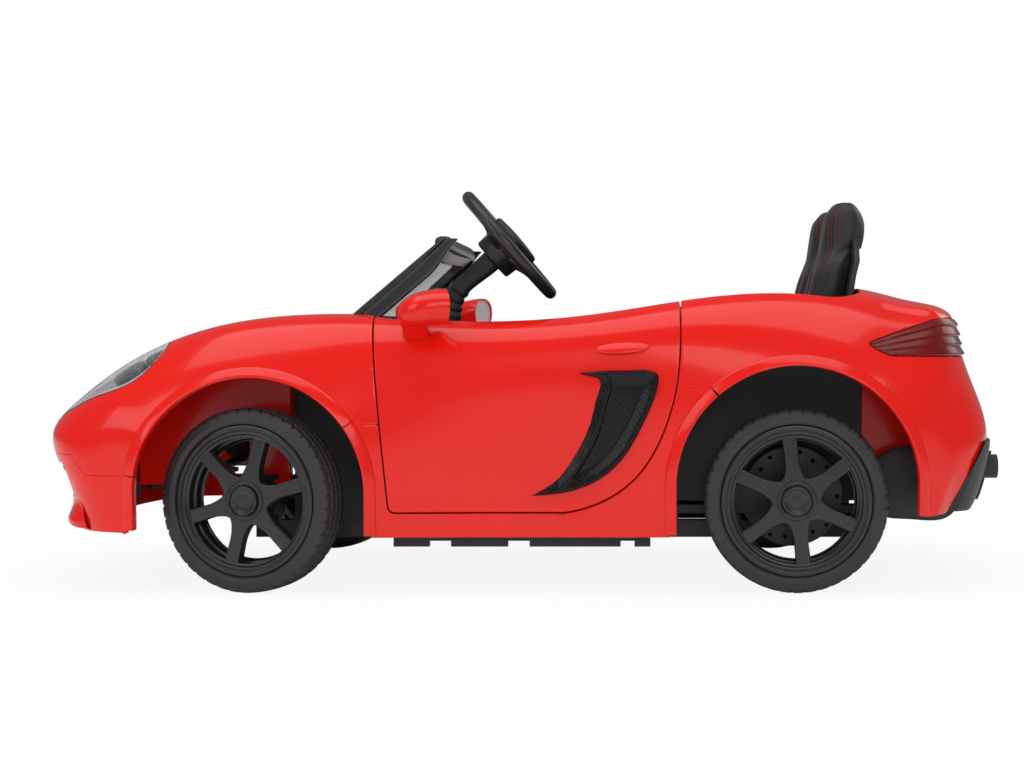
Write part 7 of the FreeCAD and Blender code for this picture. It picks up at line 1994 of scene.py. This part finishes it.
        for side in Side:
            name = side.name.lower()
            self.sewn(f"{name}_padded_back", back, self.back_seams(), side.value * self.seat_y, before_shell,
                      f"{name}_seat_back")

        def on_shelf(points: Array) -> Array:
            """Keep the cushion on its shelf and between the tub's walls."""
            (front, rear), half = self.cushion_x, self.cushion_half + 4
            return np.clip(points, (front - 2, -half, self.shelf), (rear + 2, half, self.cushion_top))

        cushion = swollen("seat_cushion", self.cushion_form(), self.swell)
        self.shell()
        self.sewn("padded_cushion", cushion, self.cushion_seams(), 0.0, on_shelf, "seat_cushion")


# Lamps


@dataclass
class Lamps:
    """Headlights with two shrouded lenses in a grey bowl behind a clear cover, and ribbed tail lights."""

    body: MouldedBody
    nose_spans: tuple = ((0.05, 0.42), (-0.75, 0.75))
    cover: float = 2.0
    bowl: float = 20.0
    strip: float = 7.5
    strip_middle: tuple[float, float] = (-570.0, 262.0)
    strip_slope: float = 0.35
    tail_cell: float = 1.5
    nose_cell: float = 2.6
    shrouds: tuple = ((-557.0, 262.0, 24.0, 15.0), (-517.0, 268.0, 15.0, 11.0))
    ribs: int = 4
    rib_low: float = 325.0
    rib_top: tuple = ((472, 343), (520, 360), (580, 379), (700, 379))

    def sunk(self, inside: Region, depth: Callable[[Array], Array]) -> Patch:
        """Part of the nose's skin pressed in by a depth that depends on the place.

        Args:
            inside: region, above zero inside.
            depth: depth in mm at points of the skin.

        Returns:
            The pressed sheet.
        """
        uv, faces = SKIN.clipped(inside, *self.nose_spans, self.nose_cell)
        points = SKIN.at(uv)
        return Patch(points - SKIN.normal(uv) * depth(points)[:, None], [faces]).laid(0, 1)

    def shroud(self, side: Side, x: float, y: float, long: float, wide: float) -> list[Patch]:
        """Oval tube that rises out of the bowl, and the domed lens in it.

        Args:
            side: side of the car.
            x: place along the car in mm.
            y: place across the car in mm.
            long: half length in mm.
            wide: half width in mm.

        Returns:
            Tube and lens.
        """
        uv = SKIN.locate(np.array([[x, side.value * y]]), (0, 1), lambda p: p[:, 2] - self.body.bonnet_z)
        base, up = SKIN.at(uv)[0], SKIN.normal(uv)[0]
        along = np.cross(np.cross(up, (1.0, 0, 0.0)), up)
        along /= np.linalg.norm(along)
        aside = np.cross(up, along)
        turn = full_turn(48)[:, None]
        ring = long * np.cos(turn) * along + wide * np.sin(turn) * aside
        tube = [(1.1, -23.0), (1.08, -9.0), (1.03, -7.0), (0.96, -6.4), (0.9, -7.2), (0.86, -14.0)]
        lens = [(0.86, -14.0), (0.8, -12.6), (0.6, -10.6), (0.3, -9.4), (0.001, -9.0)]
        rings = [np.stack([base + share * ring + up * height for share, height in rows])
                 for rows in (tube, lens)]
        return [surface(points, ring_columns=True).laid(0, 1) for points in rings]

    def headlights(self) -> None:
        """Make both headlights: cover, bright outer strip, dark inner strip, bowl and shrouds."""
        region = self.body.headlight
        clear = SKIN.panel(lambda p: region(p) - self.body.seam, *self.nose_spans, cell=4.0, wall=self.cover,
                           edge=0.9)
        piece("clear_headlight_covers", [clear], CLEAR_PC, "chassis", ["headlight_lenses"])
        middle_x, middle_y = self.strip_middle
        outer = lambda p: np.abs(p[:, 1]) - middle_y - self.strip_slope * (p[:, 0] - middle_x)
        strip = lambda p: np.minimum(region(p) - 0.6, self.strip - region(p))
        bright, dark = [self.sunk(lambda p: np.minimum(strip(p), sign * outer(p)),
                                  lambda p: 2.6 + 0.25 * region(p))
                        for sign in (1, -1)]
        bowl = self.sunk(lambda p: region(p) - 7.0,
                         lambda p: 4.5 + self.bowl * smooth_step(6.0, 24.0, region(p)))
        patches, looks = [bright, dark, bowl], [PLATED, BLACK_PP, LAMP_GREY]
        for side in Side:
            for row in self.shrouds:
                patches += self.shroud(side, *row)
                looks += [ROCKER_BLACK, SMOKED]
        piece("headlight_insides", patches, looks, "chassis", ["headlight_reflectors"])

    def rib_height(self, p: Array) -> Array:
        """Height of the tail lens over the body.

        With s the share from the lower to the upper border, each of the ribs climbs from its upper edge to a
        rounded lower lip; the ribs stand out further towards the tail.
        """
        table = np.array(self.rib_top, float)
        top = np.interp(p[:, 0], table[:, 0], table[:, 1])
        share = np.clip((p[:, 2] - self.rib_low) / np.maximum(top - self.rib_low, 1), 0, 0.9999)
        rest = (share * self.ribs) % 1.0
        wave = (1 - rest) * smooth_step(0.0, 0.16, rest)
        tall = 2.0 + 2.6 * smooth_step(575, 612, p[:, 0])
        edge = self.body.taillight(p)
        return (0.6 + tall * wave) * smooth_step(0.0, 2.4, edge) - 2.4 * (1 - smooth_step(0.0, 1.4, edge))

    def tail_lights(self) -> None:
        """Make both ribbed tail lenses."""
        uv, faces = SKIN.clipped(self.body.taillight, (0.7, 1.0), (-1.0, 1.0), self.tail_cell)
        points = SKIN.at(uv)
        lens = Patch(points + SKIN.normal(uv) * self.rib_height(points)[:, None], [faces]).laid(0, 2)
        piece("ribbed_tail_lenses", [lens], RED_PC, "chassis", ["taillight_lenses"])

    def build(self) -> None:
        """Make all lamps."""
        self.headlights()
        self.tail_lights()


def main() -> None:
    """Load the frame, dress its nodes, and build the studio and every sub-assembly."""
    logging.basicConfig(level=logging.INFO, format="%(message)s")
    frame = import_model()
    dress_nodes(frame)
    Studio().build()
    body = MouldedBody()
    body.build()
    for assembly in (Wheel(), SideVent(), WingMirror(), Windscreen(), SteeringGear(), Bench(), Lamps(body)):
        assembly.build()


if __name__ == "__main__":
    main()
